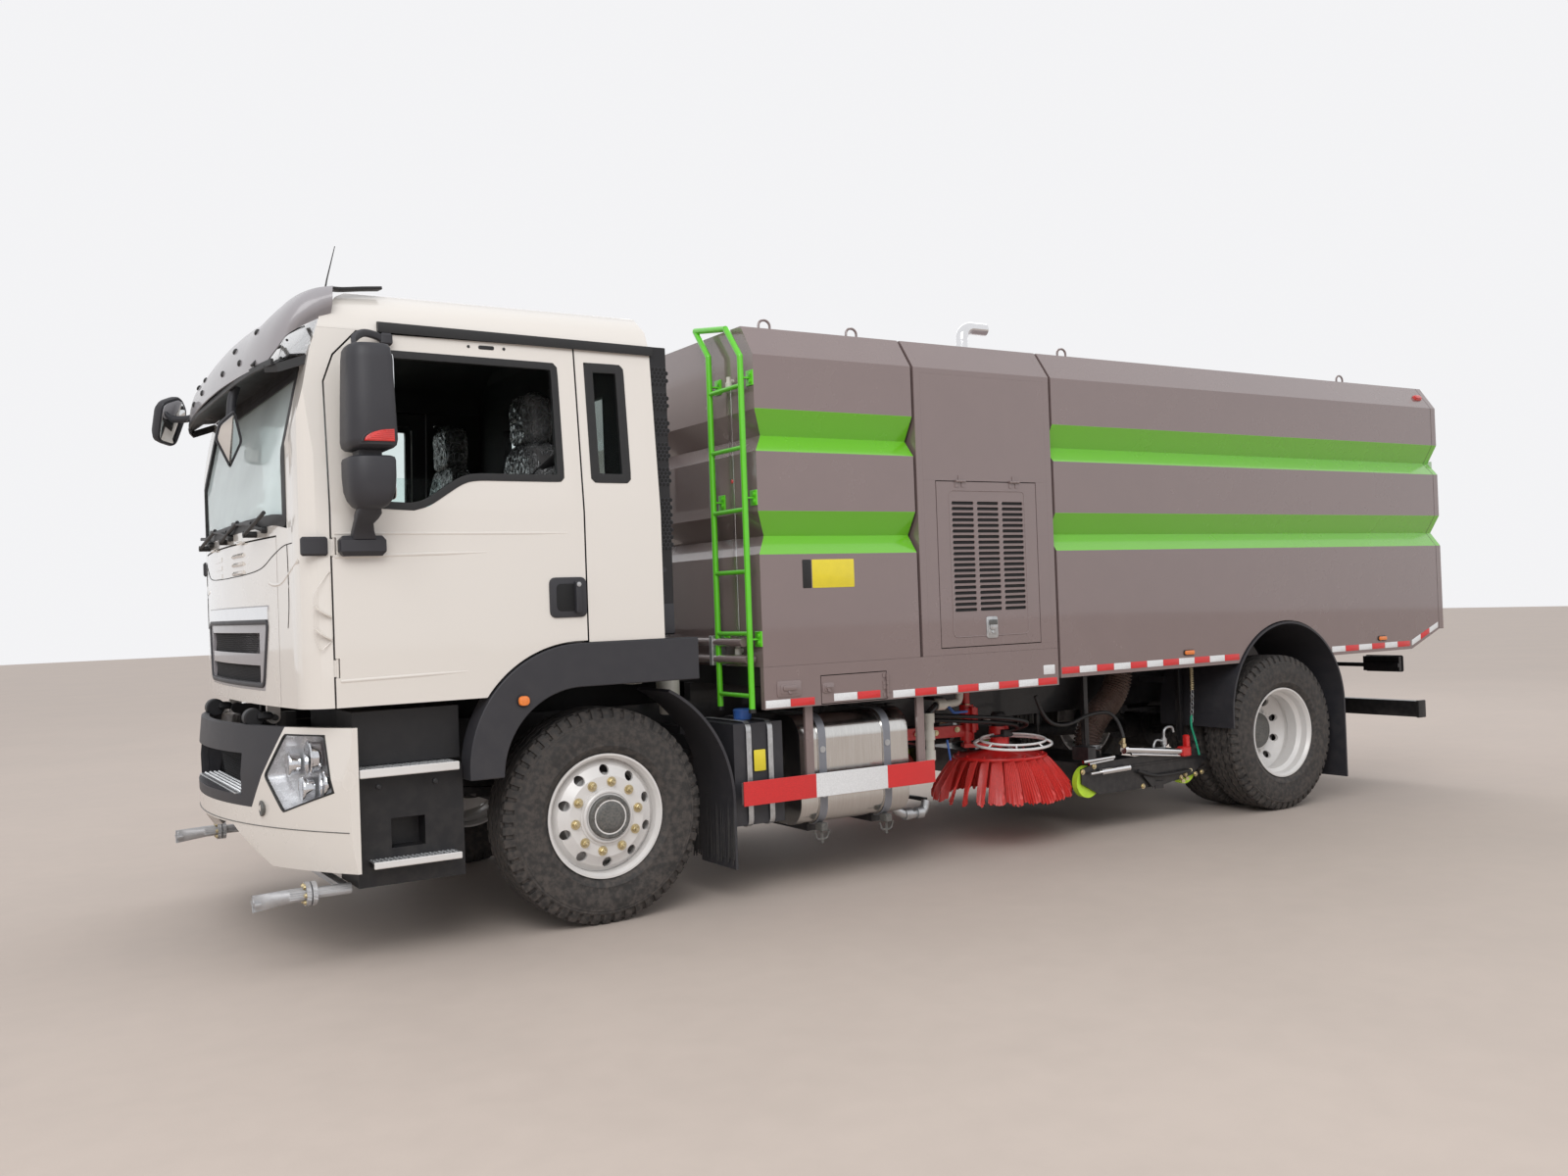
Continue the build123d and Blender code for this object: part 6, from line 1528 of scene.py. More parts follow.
def make_front_seams():
    """Dark gaps round the front flap, and the corner panels' raised lines with their scoops."""
    lines = []
    for side in (1, -1):
        for seam in flap_seams:
            lines.append(seam_line([(side * y, z) for y, z in seam]))
    show("nose_seams", joined(*lines), "cab", "black_void")
    ridge = smooth_path([(0.790, 1.706, 0.0), (0.860, 1.694, 0.0), (0.960, 1.700, 0.0), (1.060, 1.742, 0.0),
                         (1.160, 1.790, 0.0)], 6)[:, :2]
    ridge_form = swept([(-0.003, -0.012), (0.0025, -0.004), (0.003, 0.002), (-0.003, 0.010)],
                       on_nose(ridge, 0.0))
    show("corner_ridges", both(ridge_form), "cab", "cab", sharp=60)
    fins = []
    for z in (1.560, 1.462):
        path = smooth_path([(1.372, 1.247, z + 0.030), (1.350, 1.254, z + 0.008), (1.322, 1.256, z - 0.010),
                            (1.306, 1.252, z - 0.020)], 5)
        fins.append(swept([(-0.010, -0.003), (0.009, -0.002), (0.011, 0.003), (-0.010, 0.006)], path))
    scoop_outline = rounded([(1.300, 1.745), (1.376, 1.640), (1.376, 1.470), (1.352, 1.395),
                             (1.300, 1.440)], 0.02)
    edge_path = np.c_[scoop_outline[:, 0], np.full(len(scoop_outline), 1.2505), scoop_outline[:, 1]]
    show("corner_scoops", both(joined(*fins, tube(edge_path, 0.0022, (0, 1, 0), 8, close_path=True))),
         "cab", "cab", sharp=50)


def make_wipers():
    """Three arms with blades parked along the foot of the windscreen."""
    forms = []
    for y0 in (0.78, 0.16, -0.46):
        pivot = np.array([float(nose_x(y0, 1.94)) + 0.010, y0, 1.945])
        tip = np.array([float(nose_x(y0 - 0.46, 2.00)) + 0.010, y0 - 0.46, 2.000])
        forms.append(lathe([(0.001, -0.012), (0.014, -0.012), (0.017, 0.0), (0.014, 0.014), (0.001, 0.016)],
                           pivot, "x", 16))
        line = smooth_path([pivot + [0.008, 0, 0], (pivot + tip) / 2 + [0.012, 0, 0.010],
                            tip + [0.006, 0, 0]], 6)
        forms.append(swept(rectangle(0.009, 0.014, 0.003), line, sizes=np.linspace(1.25, 0.7, len(line))))
        blade_a = tip + np.array([0.0, 0.32, -0.016])
        blade_b = tip + np.array([-0.004, -0.16, 0.012])
        forms.append(swept([(-0.003, -0.009), (0.003, -0.009), (0.004, 0.003), (0.0, 0.009),
                            (-0.004, 0.003)], [blade_a, (blade_a + blade_b) / 2, blade_b]))
    show("wipers", joined(*forms), "cab", "grey_rubber", sharp=40)


# Steps, tanks and guards below the cab and body
def chequer(x0, x1, y0, y1, z):
    """Short raised bars at alternating angles over a tread plate."""
    pitch = 0.020
    bar = lofted([(0.0, 0, 0, 0.013, 0.0045, 0.002), (0.0022, 0, 0, 0.011, 0.0026, 0.001)], 2)
    matrices = []
    for i, x in enumerate(np.arange(x0 + pitch / 2, x1, pitch)):
        for k, y in enumerate(np.arange(y0 + pitch / 2, y1, pitch)):
            way = math.radians(45 if (i + k) % 2 else -45)
            matrices.append([[math.cos(way), -math.sin(way), 0, x], [math.sin(way), math.cos(way), 0, y],
                             [0, 0, 1, z], [0, 0, 0, 1]])
    return repeated(bar, matrices)


def make_step_trim():
    """Chequered alloy treads with bright lips, round bolts on the step panels, and the fender lamps."""
    upper = block((0.762, 1.203), (1.020, 1.243), (0.868, 0.875), 0.002)
    lower = block((0.762, 1.153), (1.040, 1.243), (0.462, 0.469), 0.002)
    lips = joined(block((0.762, 1.203), (1.238, 1.250), (0.838, 0.876), 0.005),
                  block((0.762, 1.153), (1.238, 1.250), (0.440, 0.470)))
    tread = joined(upper, lower, chequer(0.772, 1.195, 1.03, 1.236, 0.875),
                   chequer(0.772, 1.146, 1.05, 1.236, 0.469))
    show("step_treads", both(tread), "root", "steel", "polished_alloy")
    show("step_lips", both(lips), "root", "silver", "polished_alloy")
    screws = joined(*(lathe([(0.001, 0.007), (0.008, 0.007), (0.013, 0.002), (0.014, -0.01),
                             (0.001, -0.01)], (x, 1.240, 0.795), "y", 18) for x in (1.12, 0.87)))
    show("step_bolts", both(screws), "root", "step")
    base, lens = oval_lamp(0.060, 0.058, 0.020)
    show("fender_lamp_bases", both(moved(base, (0.457, 1.262, 1.125))), "cab", "grey_rubber")
    show("fender_lamps", both(moved(lens, (0.457, 1.262, 1.125))), "cab", "amber")


strap_places = (-1.26, -1.69)


def make_tank_trim():
    """Straps, bolts, brackets and a cap on the fuel tank; a cap, straps and blank label on the urea tank."""
    loop = rectangle(0.592, 0.602, 0.135, 8) + [0.855, 0.630]
    straps = [swept(rectangle(0.050, 0.006, 0.002, 2) @ swap_axes,
                    np.c_[np.full(len(loop), x), loop], (1, 0, 0), True) for x in strap_places]
    show("fuel_straps", joined(*straps), "root", "strap", "polished_alloy", 40)
    fasteners = joined(*(placed(bolt(0.012, 0.014), (x, 1.158, z), (1, 0, 0))
                         for x in strap_places for z in (0.50, 0.74)))
    show("fuel_strap_bolts", fasteners, "root", "steel")
    feet = joined(*(block((x - 0.035, x + 0.035), (0.50, 1.03), (0.290, 0.335), 0.006)
                    for x in strap_places))
    show("fuel_brackets", feet, "root", "chassis")
    cap = lathe([(0.001, -0.03), (0.052, -0.03), (0.052, 0.0), (0.058, 0.004), (0.058, 0.030),
                 (0.052, 0.036), (0.001, 0.036)], (-1.390, 0.870, 0.945), "z", 30)
    show("fuel_cap", cap, "root", "grey_rubber")
    blue_cap = lathe([(0.001, -0.02), (0.046, -0.02), (0.048, 0.0), (0.050, 0.028), (0.044, 0.036),
                      (0.001, 0.038)], (-0.860, 1.000, 0.945), "z", 30)
    show("urea_cap", blue_cap, "root", "blue")
    urea_loop = rectangle(0.470, 0.545, 0.05, 6) + [0.925, 0.652]
    bands = [swept(rectangle(0.030, 0.004, 0.001, 2) @ swap_axes,
                   np.c_[np.full(len(urea_loop), x), urea_loop], (1, 0, 0), True) for x in (-0.80, -0.93)]
    show("urea_straps", joined(*bands), "root", "steel", "polished_alloy", 40)
    show("urea_label", side_plate(rectangle(0.070, 0.110, 0.006) + [-0.862, 0.720], 1.1605, 0.0015, 0.0005),
         "root", "yellow")
    show_rounded("chassis_box_skins", solid_parts("chassis_boxes"), "root", "plastic", "black_plastic",
                 0.014, ["chassis_boxes"], segments=3)


guard_blocks = [("red", -0.722, -1.166), ("white", -1.166, -1.634), ("red", -1.634, -1.963)]


def make_guards():
    """The side guards' rail in red and white lengths with chamfered ends, on its grey posts."""
    parts = solid_parts("guard_rails")
    posts = [part for part in parts if part[0][:, 0].min() > rear_axle]
    rear_bars = [part for part in parts if part[0][:, 0].min() < rear_axle]
    show_rounded("guard_posts", posts, "root", "plain_body", "body_paint", 0.004, ["guard_rails"])
    show_rounded("rear_guard", rear_bars, "root", "chassis", "chassis_paint", 0.004)
    for name in ("red", "white"):
        forms = [block((x0, x1), (1.2200, 1.2265), (0.500, 0.625), 0.002) for key, x0, x1 in guard_blocks
                 if key == name]
        show(f"guard_{name}", both(joined(*forms)), "root", f"{name}_sheet")


def make_mudflaps():
    """Brush flaps behind the front wheels: hanging strips with uneven ends."""
    rng = np.random.default_rng(4)
    y = np.linspace(0.72, 1.185, 70)
    low = 0.185 + rng.uniform(0, 0.05, len(y))
    lean = rng.uniform(-0.012, 0.012, len(y))
    bottom_y = y + rng.uniform(-0.004, 0.004, len(y))
    rows = np.stack([np.c_[np.full(len(y), -0.685) + lean * share, y + (bottom_y - y) * share,
                           0.560 + (low - 0.560) * share] for share in (0, 0.6, 1.0)])
    points = (rows[:, :, None, :]
              + np.array([(0, 0.003, 0), (0.004, 0, 0), (0, -0.003, 0),
                          (-0.004, 0, 0)])[None, None]).transpose(1, 0, 2, 3)
    forms = [grid(one, close_columns=True, caps=True) for one in points]
    show("front_flap_strips", both(joined(*forms)), "root", "grey_rubber", sharp=50)


# Inside the cab: linings dark as painted shade, seats with clear film, steering wheel
cab_middle = (0.5, 0.0, 2.1)
lining_low = 1.20
seat_y = 0.640


def line_inside(piece):
    """Gives the faces of a cab panel that look into the cab a near-black lining, painted shade of the cab's
    inside.
    """
    mesh = piece.data
    mesh.materials.append(paint["lining"])
    count = len(mesh.polygons)
    centre, normal = np.empty(3 * count), np.empty(3 * count)
    mesh.polygons.foreach_get("center", centre)
    mesh.polygons.foreach_get("normal", normal)
    centre, normal = centre.reshape(-1, 3), normal.reshape(-1, 3)
    inward = np.array(cab_middle) + [axle_x, 0, 0] - centre
    looks_in = (np.sum(unit(inward) * normal, axis=1) > 0.25) & (centre[:, 2] > lining_low)
    mesh.polygons.foreach_set("material_index", looks_in.astype(int))
    mesh.update()


def cushion(centre, half, power, crumple, seed, rows=18, columns=30):
    """A stuffed block of half sizes (x, y, z), rounder as power nears one, with random creases."""
    rng = np.random.default_rng(seed)
    up = np.linspace(-np.pi / 2, np.pi / 2, rows + 2)[1:-1, None]
    turn = np.linspace(0, 2 * np.pi, columns, endpoint=False)[None]

    def soft(value):
        return np.sign(value) * np.abs(value) ** power

    x = soft(np.cos(up)) * soft(np.cos(turn))
    y = soft(np.cos(up)) * soft(np.sin(turn))
    z = np.broadcast_to(soft(np.sin(up)), x.shape)
    swell = 1 + crumple * sum(np.sin(k * (rng.uniform(-1, 1) * x + rng.uniform(-1, 1) * y
                                          + rng.uniform(-1, 1) * z) * 6 + rng.uniform(0, 6))
                              for k in (1, 2, 3, 4))
    points = np.stack([x * half[0] * swell, y * half[1] * swell, z * half[2] * swell], -1)
    return grid(points + np.array(centre, float), close_columns=True, caps=True)


def make_interior():
    """Linings in painted shade, the dash without its seats, two sprung seats in clear film, a belt, and the
    steering wheel.
    """
    for name in ("cab_panels", "door_skin_left", "door_skin_right"):
        line_inside(bpy.data.objects[name])
    parts = solid_parts("cab_interior")
    dash = [part for part in parts if part[0][:, 0].max() > 1.0]
    show_rounded("dashboard", dash, "cab", "dash", "trim", 0.006, ["cab_interior"])
    seat_parts = [("seat_cushion", (0.365, seat_y, 1.545), (0.255, 0.245, 0.095)),
                  ("seat_back", (0.130, seat_y, 2.010), (0.080, 0.245, 0.370)),
                  ("seat_headrest", (0.130, seat_y, 2.510), (0.060, 0.150, 0.125))]
    seed = 11
    for name, centre, half in seat_parts:
        for side, way in sides:
            seed += 1
            place = (centre[0], way * centre[1], centre[2])
            pad = show(f"{name}_{side}", cushion(place, half, 0.45, 0.006, seed), "cab", "trim", sharp=60)
            film = cushion(place, tuple(size + 0.010 for size in half), 0.5, 0.018, seed + 40, 26, 44)
            show(f"{name}_film_{side}", film, "cab", "film", sharp=50)
    panes = solid_parts("cab_glass")
    screen = [part for part in panes if part[0][:, 0].min() > 1.0]
    others = [part for part in panes if part[0][:, 0].min() < 1.0]
    show_rounded("windscreen", screen, "cab", "screen", "window", 0.001, ["cab_glass"])
    show_rounded("cab_panes", others, "cab", "window", "window", 0.001)
    bases = joined(*(block((0.15, 0.60), (way * seat_y - 0.17, way * seat_y + 0.17), (1.445, 1.462))
                     for _, way in sides))
    show("seat_bases", bases, "cab", "chassis")
    belt_path = smooth_path([(0.015, 1.120, 2.560), (0.060, 0.980, 2.360), (0.228, 0.800, 2.150),
                             (0.252, 0.600, 1.850), (0.330, 0.400, 1.600)])
    show("seat_belt", swept(rectangle(0.004, 0.046, 0.001, 2), belt_path, (1, 0, 0.4)), "cab",
         "grey_rubber", "trim", 60)
    buckle = block((0.315, 0.345), (0.385, 0.420), (1.560, 1.640), 0.006)
    show("belt_buckle", buckle, "cab", "ruby", "trim")
    normal = unit((-0.79, 0, 0.61))
    across = np.array([0.0, 1.0, 0.0])
    upward = np.cross(normal, across)
    turn = np.linspace(0, 2 * np.pi, 64, endpoint=False)
    hub = np.array([0.880, seat_y, 1.930])
    rim_path = hub + 0.222 * (np.cos(turn)[:, None] * across + np.sin(turn)[:, None] * upward)
    spokes = [tube([hub - normal * 0.015, hub + 0.215 * (math.cos(a) * across + math.sin(a) * upward)],
                   0.013, sides=8) for a in np.radians([20, 160, 250, 290])]
    boss = placed(lathe([(0.001, 0.02), (0.055, 0.016), (0.070, 0.0), (0.060, -0.04), (0.030, -0.055),
                         (0.001, -0.055)], (0, 0, 0), "z", 28), hub, across, upward)
    show("steering_wheel", joined(tube(rim_path, 0.015, normal, 12, close_path=True), *spokes, boss), "cab",
         "grey_rubber", "trim", 50)
    pocket = rounded([(0.30, 1.42), (0.98, 1.42), (0.98, 1.60), (0.90, 1.66), (0.34, 1.66)], 0.03)
    show_pair("door_pocket", side_plate(pocket, 1.165, -0.03, 0.006), "door", "dash")


# Side brushes: the red disc, twisted fan tufts with ragged ends, and what is bolted around them
brush_place = np.array([-2.830, 0.780, 0.545])
tuft_count = 24
# Guard hoops: radius along the truck and lift of each, and how much narrower they are across it
outer_hoop, inner_hoop = (0.262, -0.012), (0.222, 0.010)
hoop_share = 0.72


def tufts():
    """Fan-shaped bunches round the disc's rim, each a ridged, turning sheet with an uneven end."""
    rng = np.random.default_rng(9)
    v = np.linspace(0, 1, 8)[:, None]
    u = np.linspace(-0.5, 0.5, 17)[None]
    forms = []
    for number in range(tuft_count):
        angle = 2 * math.pi * number / tuft_count + rng.uniform(-0.03, 0.03)
        width = (0.062 + 0.086 * v ** 0.9) * rng.uniform(0.92, 1.08)
        turn = math.radians(28) + (math.radians(22) + rng.uniform(-0.18, 0.18)) * v
        ridge = 0.0050 * (0.35 + v) * (np.abs((np.arange(17) * 0.5) % 1 * 2 - 1)[None] * 2 - 1)
        reach = rng.uniform(-0.012, 0.004)
        radius = 0.262 + (0.146 + reach) * v ** 0.85 + 0 * u
        drop = -0.006 - 0.268 * v ** 1.1 + 0 * u
        ragged = rng.uniform(0, 0.022, 17)[None] * v ** 6 + 0.016 * (np.abs(u) * 2) ** 2 * v
        across = u * width
        tangent = across * np.cos(turn) - ridge * np.sin(turn)
        outward = across * np.sin(turn) + ridge * np.cos(turn)
        r = np.minimum(radius + outward, 0.427)
        skin = np.stack([r * math.cos(angle) - tangent * math.sin(angle),
                         r * math.sin(angle) + tangent * math.cos(angle), drop + ragged], -1)
        forms.append(shell(skin, 0.005))
    return moved(joined(*forms), brush_place)


def make_brushes():
    """The disc with its raised middle and bolts, its tufts, guard hoops and motor, and the arm's bolts."""
    disc = lathe([(0.020, 0.030), (0.105, 0.034), (0.118, 0.026), (0.270, 0.004), (0.289, 0.001),
                  (0.292, -0.006), (0.288, -0.016), (0.255, -0.018), (0.110, 0.012), (0.020, 0.010)],
                 brush_place, "z", 72)
    rim_bolts = turned_copies(moved(bolt(0.007, 0.007), brush_place + [0.262, 0, 0.0055]),
                              np.arange(13) * 2 * math.pi / 13, brush_place, "z")
    inner_bolts = turned_copies(moved(bolt(0.010, 0.009), brush_place + [0.075, 0, 0.032]),
                                np.arange(6) * math.pi / 3, brush_place, "z")
    for piece in show_pair("brush_disc", disc, "side_brush", "red"):
        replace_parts(piece, piece.name.replace("brush_disc", "side_brush"))
    show_pair("brush_tufts", tufts(), "side_brush", "bristle", sharp=25)
    show_pair("brush_rim_bolts", rim_bolts, "side_brush", "red")
    show_pair("brush_disc_bolts", inner_bolts, "side_brush", "steel")
    tilt = math.radians(5)
    turn = np.linspace(0, 2 * np.pi, 72, endpoint=False)
    hoop_centre = np.array([-2.790, 0.955, 0.640])

    def hoop(radius, lift):
        return hoop_centre + np.c_[radius * np.cos(turn), radius * np.sin(turn) * hoop_share,
                                   lift - radius * np.sin(turn) * math.sin(tilt)]

    ties = []
    for angle in np.arange(8) * math.pi / 4 + 0.3:
        ends = [hoop_centre + [r * math.cos(angle), r * math.sin(angle) * hoop_share,
                               lift - r * math.sin(angle) * math.sin(tilt)]
                for r, lift in (outer_hoop, inner_hoop)]
        ties.append(straight(*ends, 0.006, 8))
    stays = [straight((-2.790, 0.865, 0.668), hoop_centre + [0.05, -0.155, 0.020], 0.007, 8),
             straight((-2.870, 0.865, 0.668), hoop_centre + [-0.05, -0.155, 0.020], 0.007, 8)]
    hoops = joined(tube(hoop(*outer_hoop), 0.0085, (0, 0, 1), 10, close_path=True),
                   tube(hoop(*inner_hoop), 0.0075, (0, 0, 1), 10, close_path=True), *ties)
    show_pair("brush_guard", hoops, "brush_head", "white_bar", sharp=50)
    motor = joined(lathe([(0.001, 0.085), (0.036, 0.083), (0.046, 0.070), (0.046, 0.0), (0.001, 0.0)],
                         (-2.830, 0.780, 0.722), "z", 24),
                   block((-2.865, -2.795), (0.835, 0.868), (0.655, 0.700)), *stays)
    show_pair("brush_motor", motor, "brush_head", "cast")
    side_bolts = [((-2.300, 0.640), 0.700), ((-2.420, 0.672), 0.700), ((-2.560, 0.706), 0.712)]
    gold = joined(*(placed(bolt(0.012, 0.012), (x, y, z), (-0.968, 0.25, 0))
                    for (x, y), z in side_bolts), moved(bolt(0.020, 0.014), (-2.650, 0.690, 0.860)),
                  moved(bolt(0.020, 0.014), (-2.150, 0.560, 0.780)))
    show_pair("brush_arm_bolts", gold, "brush_arm", "brass")
    gusset = joined(block((-2.665, -2.635), (0.733, 0.765), (0.690, 0.850), 0.003),
                    block((-2.70, -2.60), (0.730, 0.742), (0.70, 0.84), 0.003))
    show_pair("brush_gusset", gusset, "brush_arm", "red")
    coupling = joined(straight((-2.480, 0.640, 0.760), (-2.590, 0.668, 0.772), 0.013),
                      placed(bolt(0.022, 0.030), (-2.600, 0.671, 0.773), (0, 1, 0)))
    show_pair("brush_cylinder_end", coupling, "brush_arm", "brass")


# Pipes, hoses, cylinders and covers between the axles
def path_of(route):
    """The line of a smooth spline that has the route's points as its control points, in stations."""
    data = bpy.data.curves.new("route", "CURVE")
    data.dimensions = "3D"
    data.resolution_u = 10
    spline = data.splines.new("NURBS")
    spline.points.add(len(route) - 1)
    for point, place in zip(spline.points, route):
        point.co = (*place, 1.0)
    spline.order_u = 3
    spline.use_endpoint_u = True
    carrier = bpy.data.objects.new("route", data)
    mesh = bpy.data.meshes.new_from_object(carrier)
    line = np.empty(3 * len(mesh.vertices))
    mesh.vertices.foreach_get("co", line)
    bpy.data.objects.remove(carrier)
    bpy.data.curves.remove(data)
    bpy.data.meshes.remove(mesh)
    return line.reshape(-1, 3)


duct_sides = 24


def ridged(path, radius, pitch, depth):
    """A corrugated duct along a path, resampled evenly, with a ridge every pitch."""
    run = np.r_[0, np.cumsum(np.linalg.norm(np.diff(path, axis=0), axis=1))]
    count = int(run[-1] / pitch) * 4 + 1
    even = np.linspace(0, run[-1], count)
    line = np.stack([np.interp(even, run, path[:, k]) for k in range(3)], 1)
    sizes = 1 + depth / radius * (np.array([1.0, 0.3, -1.0, 0.3])[np.arange(count) % 4])
    return tube(line, radius, (0, 1, 0), duct_sides, sizes=sizes)


nozzle_lift = ("root", "suction_nozzle")
duct_y = 0.640


def make_suction_hoses():
    """Two corrugated ducts that stretch between the nozzle's mouth and the hopper floor, and their bands."""
    low, high = (-3.720, duct_y, 0.480), (-4.050, duct_y, 1.045)
    path = path_of([low, (-3.722, duct_y, 0.640), (-4.048, duct_y, 0.860), high])
    duct = ridged(path, 0.086, 0.0205, 0.0075)
    duct_band = lathe([(0.084, -0.014), (0.0935, -0.014), (0.0945, 0.0), (0.0935, 0.014), (0.084, 0.014)],
                      np.add(low, (0, 0, 0.022)), "z", 40)
    show_stretched("suction_duct", duct,
                   "hose", 30)
    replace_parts(bpy.data.objects["suction_duct_left"], "suction_hoses")
    show("duct_bands", both(duct_band), "suction_nozzle", "steel")


nozzle_y = 1.045
tap_x, tap_y = -4.060, 1.0
nozzle_posts = (-3.500, -4.390)
chain_x, chain_y = -4.286, 1.055
spring_top, spring_length, spring_turns = 1.012, 0.160, 14
link_count, link_pitch = 8, 0.026


def make_nozzle_gear():
    """On the nozzle: cylinders, rods, valve, fittings and bolts; above it posts, a spring and a chain."""
    y = nozzle_y
    cylinder = joined(straight((-3.640, y, 0.517), (-4.165, y, 0.461), 0.021, 20),
                      drum(0.026, -0.012, 0.014, (-3.650, y, 0.516), "x", 20),
                      straight((-3.700, y + 0.004, 0.482), (-4.150, y + 0.004, 0.433), 0.0075, 10),
                      straight((-3.290, y - 0.01, 0.470), (-3.560, y - 0.01, 0.478), 0.011, 12))
    lower = joined(straight((-3.430, y, 0.395), (-3.680, y, 0.400), 0.020, 18),
                   straight((-3.340, y, 0.392), (-3.430, y, 0.395), 0.009, 12),
                   straight((-3.350, y - 0.02, 0.450), (-3.560, y - 0.02, 0.462), 0.008, 10))
    show("nozzle_cylinders", both(joined(cylinder, lower)), "suction_nozzle", "chrome", sharp=50)
    end = joined(block((-4.235, -4.160), (y - 0.030, y + 0.030), (0.425, 0.490), 0.008),
                 block((-4.240, -4.205), (y - 0.018, y + 0.018), (0.480, 0.565), 0.008))
    show("cylinder_ends", both(end), "suction_nozzle", "red")
    tap = joined(straight((tap_x, tap_y, 0.470), (tap_x, tap_y, 0.560), 0.013, 12),
                 drum(0.020, -0.02, 0.02, (tap_x, tap_y, 0.530), "z", 14),
                 bent([(tap_x, tap_y, 0.560), (-4.066, tap_y, 0.605), (-4.100, tap_y, 0.622),
                       (-4.140, tap_y, 0.616), (-4.152, tap_y, 0.585)], 0.009, (0, 1, 0), 10),
                 bent([(-4.040, tap_y, 0.535), (-3.990, tap_y, 0.545), (-3.965, tap_y, 0.520),
                       (-3.960, tap_y, 0.490)], 0.008, (0, 1, 0), 10))
    show("nozzle_taps", both(tap), "suction_nozzle", "steel", sharp=50)
    out = 1.0175
    gold_places = [(-4.393, 0.300), (-4.330, 0.292), (-4.230, 0.300), (-4.190, 0.282), (-3.400, 0.430),
                   (-3.300, 0.405), (-3.830, 0.262)]
    gold = joined(*(placed(bolt(0.012, 0.011), (x, out, z), (-1, 0, 0)) for x, z in gold_places))
    fittings = joined(*(straight((x, out, z), (x + dx, out + 0.030, z + dz), 0.012, 10)
                        for x, z, dx, dz in ((-4.270, 0.318, 0.02, 0.01), (-4.240, 0.275, 0.02, 0.0),
                                             (-4.200, 0.262, 0.02, 0.0), (-3.640, 0.555, 0.0, 0.03))),
                      lathe([(0.001, 0.0), (0.017, 0.0), (0.017, 0.026), (0.012, 0.030), (0.012, 0.062),
                             (0.001, 0.062)], (-3.640, y, 0.530), "z", 12))
    show("nozzle_bolts", both(joined(gold, fittings)), "suction_nozzle", "brass")
    plates = joined(block((-3.62, -3.46), (0.955, 1.010), (0.425, 0.452), 0.003),
                    block((-4.42, -3.50), (1.012, 1.022), (0.395, 0.412), 0.003),
                    block((-3.40, -3.33), (0.90, 1.04), (0.470, 0.560), 0.006),
                    swept(rectangle(0.050, 0.008, 0.002, 2), [(-3.84, 1.03, 0.345), (-3.92, 1.035, 0.262)],
                          (0, 1, 0)),
                    swept(rectangle(0.050, 0.008, 0.002, 2), [(-3.92, 1.035, 0.262), (-4.00, 1.035, 0.258)],
                          (0, 1, 0)))
    show("nozzle_brackets", both(plates), "suction_nozzle", "chassis")
    posts = joined(*(block((x - 0.018, x + 0.018), (0.832, 0.868), (0.500, 1.030), 0.003)
                     for x in nozzle_posts),
                   *(block((x - 0.020, x + 0.020), (0.43, 0.868), (0.985, 1.030), 0.003)
                     for x in nozzle_posts))
    show("nozzle_posts", both(posts), "root", "chassis")
    hanger = block((-4.300, -4.272), (0.43, 1.075), (1.010, 1.030), 0.003)
    show("chain_hangers", both(hanger), "root", "chassis")
    coil_turn = np.linspace(0, 2 * np.pi * spring_turns, spring_turns * 12 + 1)
    coil = np.c_[chain_x + 0.012 * np.cos(coil_turn), chain_y + 0.012 * np.sin(coil_turn),
                 spring_top - spring_length * coil_turn / coil_turn[-1]]
    coil_form = tube(coil, 0.0028, (0, 0, 1), 6)
    show_stretched("lift_spring", coil_form,
                   "brass", 60)
    links = []
    turn = np.linspace(0, 2 * np.pi, 20, endpoint=False)
    for number in range(link_count):
        z = 0.842 - number * link_pitch
        loop = np.c_[0.0105 * np.cos(turn), np.zeros(20), 0.018 * np.sin(turn)]
        if number % 2:
            loop = loop[:, [1, 0, 2]]
        links.append(tube(loop + [chain_x + 0.002 * number, chain_y, z], 0.0030,
                          (0, 1, 0) if not number % 2 else (1, 0, 0), 6, close_path=True))
    show("lift_chains", both(joined(*links)), "suction_nozzle", "steel", sharp=60)


rope_route = [(-4.270, 1.055, 0.690), (-4.250, 1.062, 0.630), (-4.280, 1.060, 0.560),
              (-4.300, 1.066, 0.490), (-4.322, 1.062, 0.425)]
arc_route = [(-2.990, 0.950, 0.900), (-3.045, 0.950, 0.745), (-3.230, 0.950, 0.685), (-3.430, 0.960, 0.760),
             (-3.640, 1.000, 0.760), (-3.640, 1.045, 0.594)]
upper_route = [(-2.230, 0.800, 0.830), (-2.440, 0.930, 0.815), (-2.780, 0.990, 0.780),
               (-2.960, 0.955, 0.730), (-2.885, 0.870, 0.700)]
lower_route = [(-2.240, 0.770, 0.800), (-2.440, 0.895, 0.785), (-2.760, 0.945, 0.752),
               (-2.900, 0.915, 0.715), (-2.850, 0.862, 0.690)]
line_route = [(-3.760, 1.046, 0.372), (-3.880, 1.046, 0.322), (-4.060, 1.046, 0.318),
              (-4.250, 1.046, 0.326)]


def cord(name, route, radius, bodies, finish_name):
    """A free hose or rope on both sides, as a tube along its route's smooth line. It rides on its one body;
    given two bodies, it rides on none, with its place baked into its points."""
    line = path_of(route)
    up = (0, 1, 0) if abs(line[0][2] - line[-1][2]) > 0.1 else (0, 0, 1)
    for side, way in sides:
        path = line * [1, way, 1]
        own = [body.format(side=side) for body in bodies]
        piece = show(f"{name}_{side}", tube(path, radius, up, 12), own[0] if len(own) == 1 else None,
                     finish_name, None, 60)
        if len(own) == 2:
            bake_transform(piece)


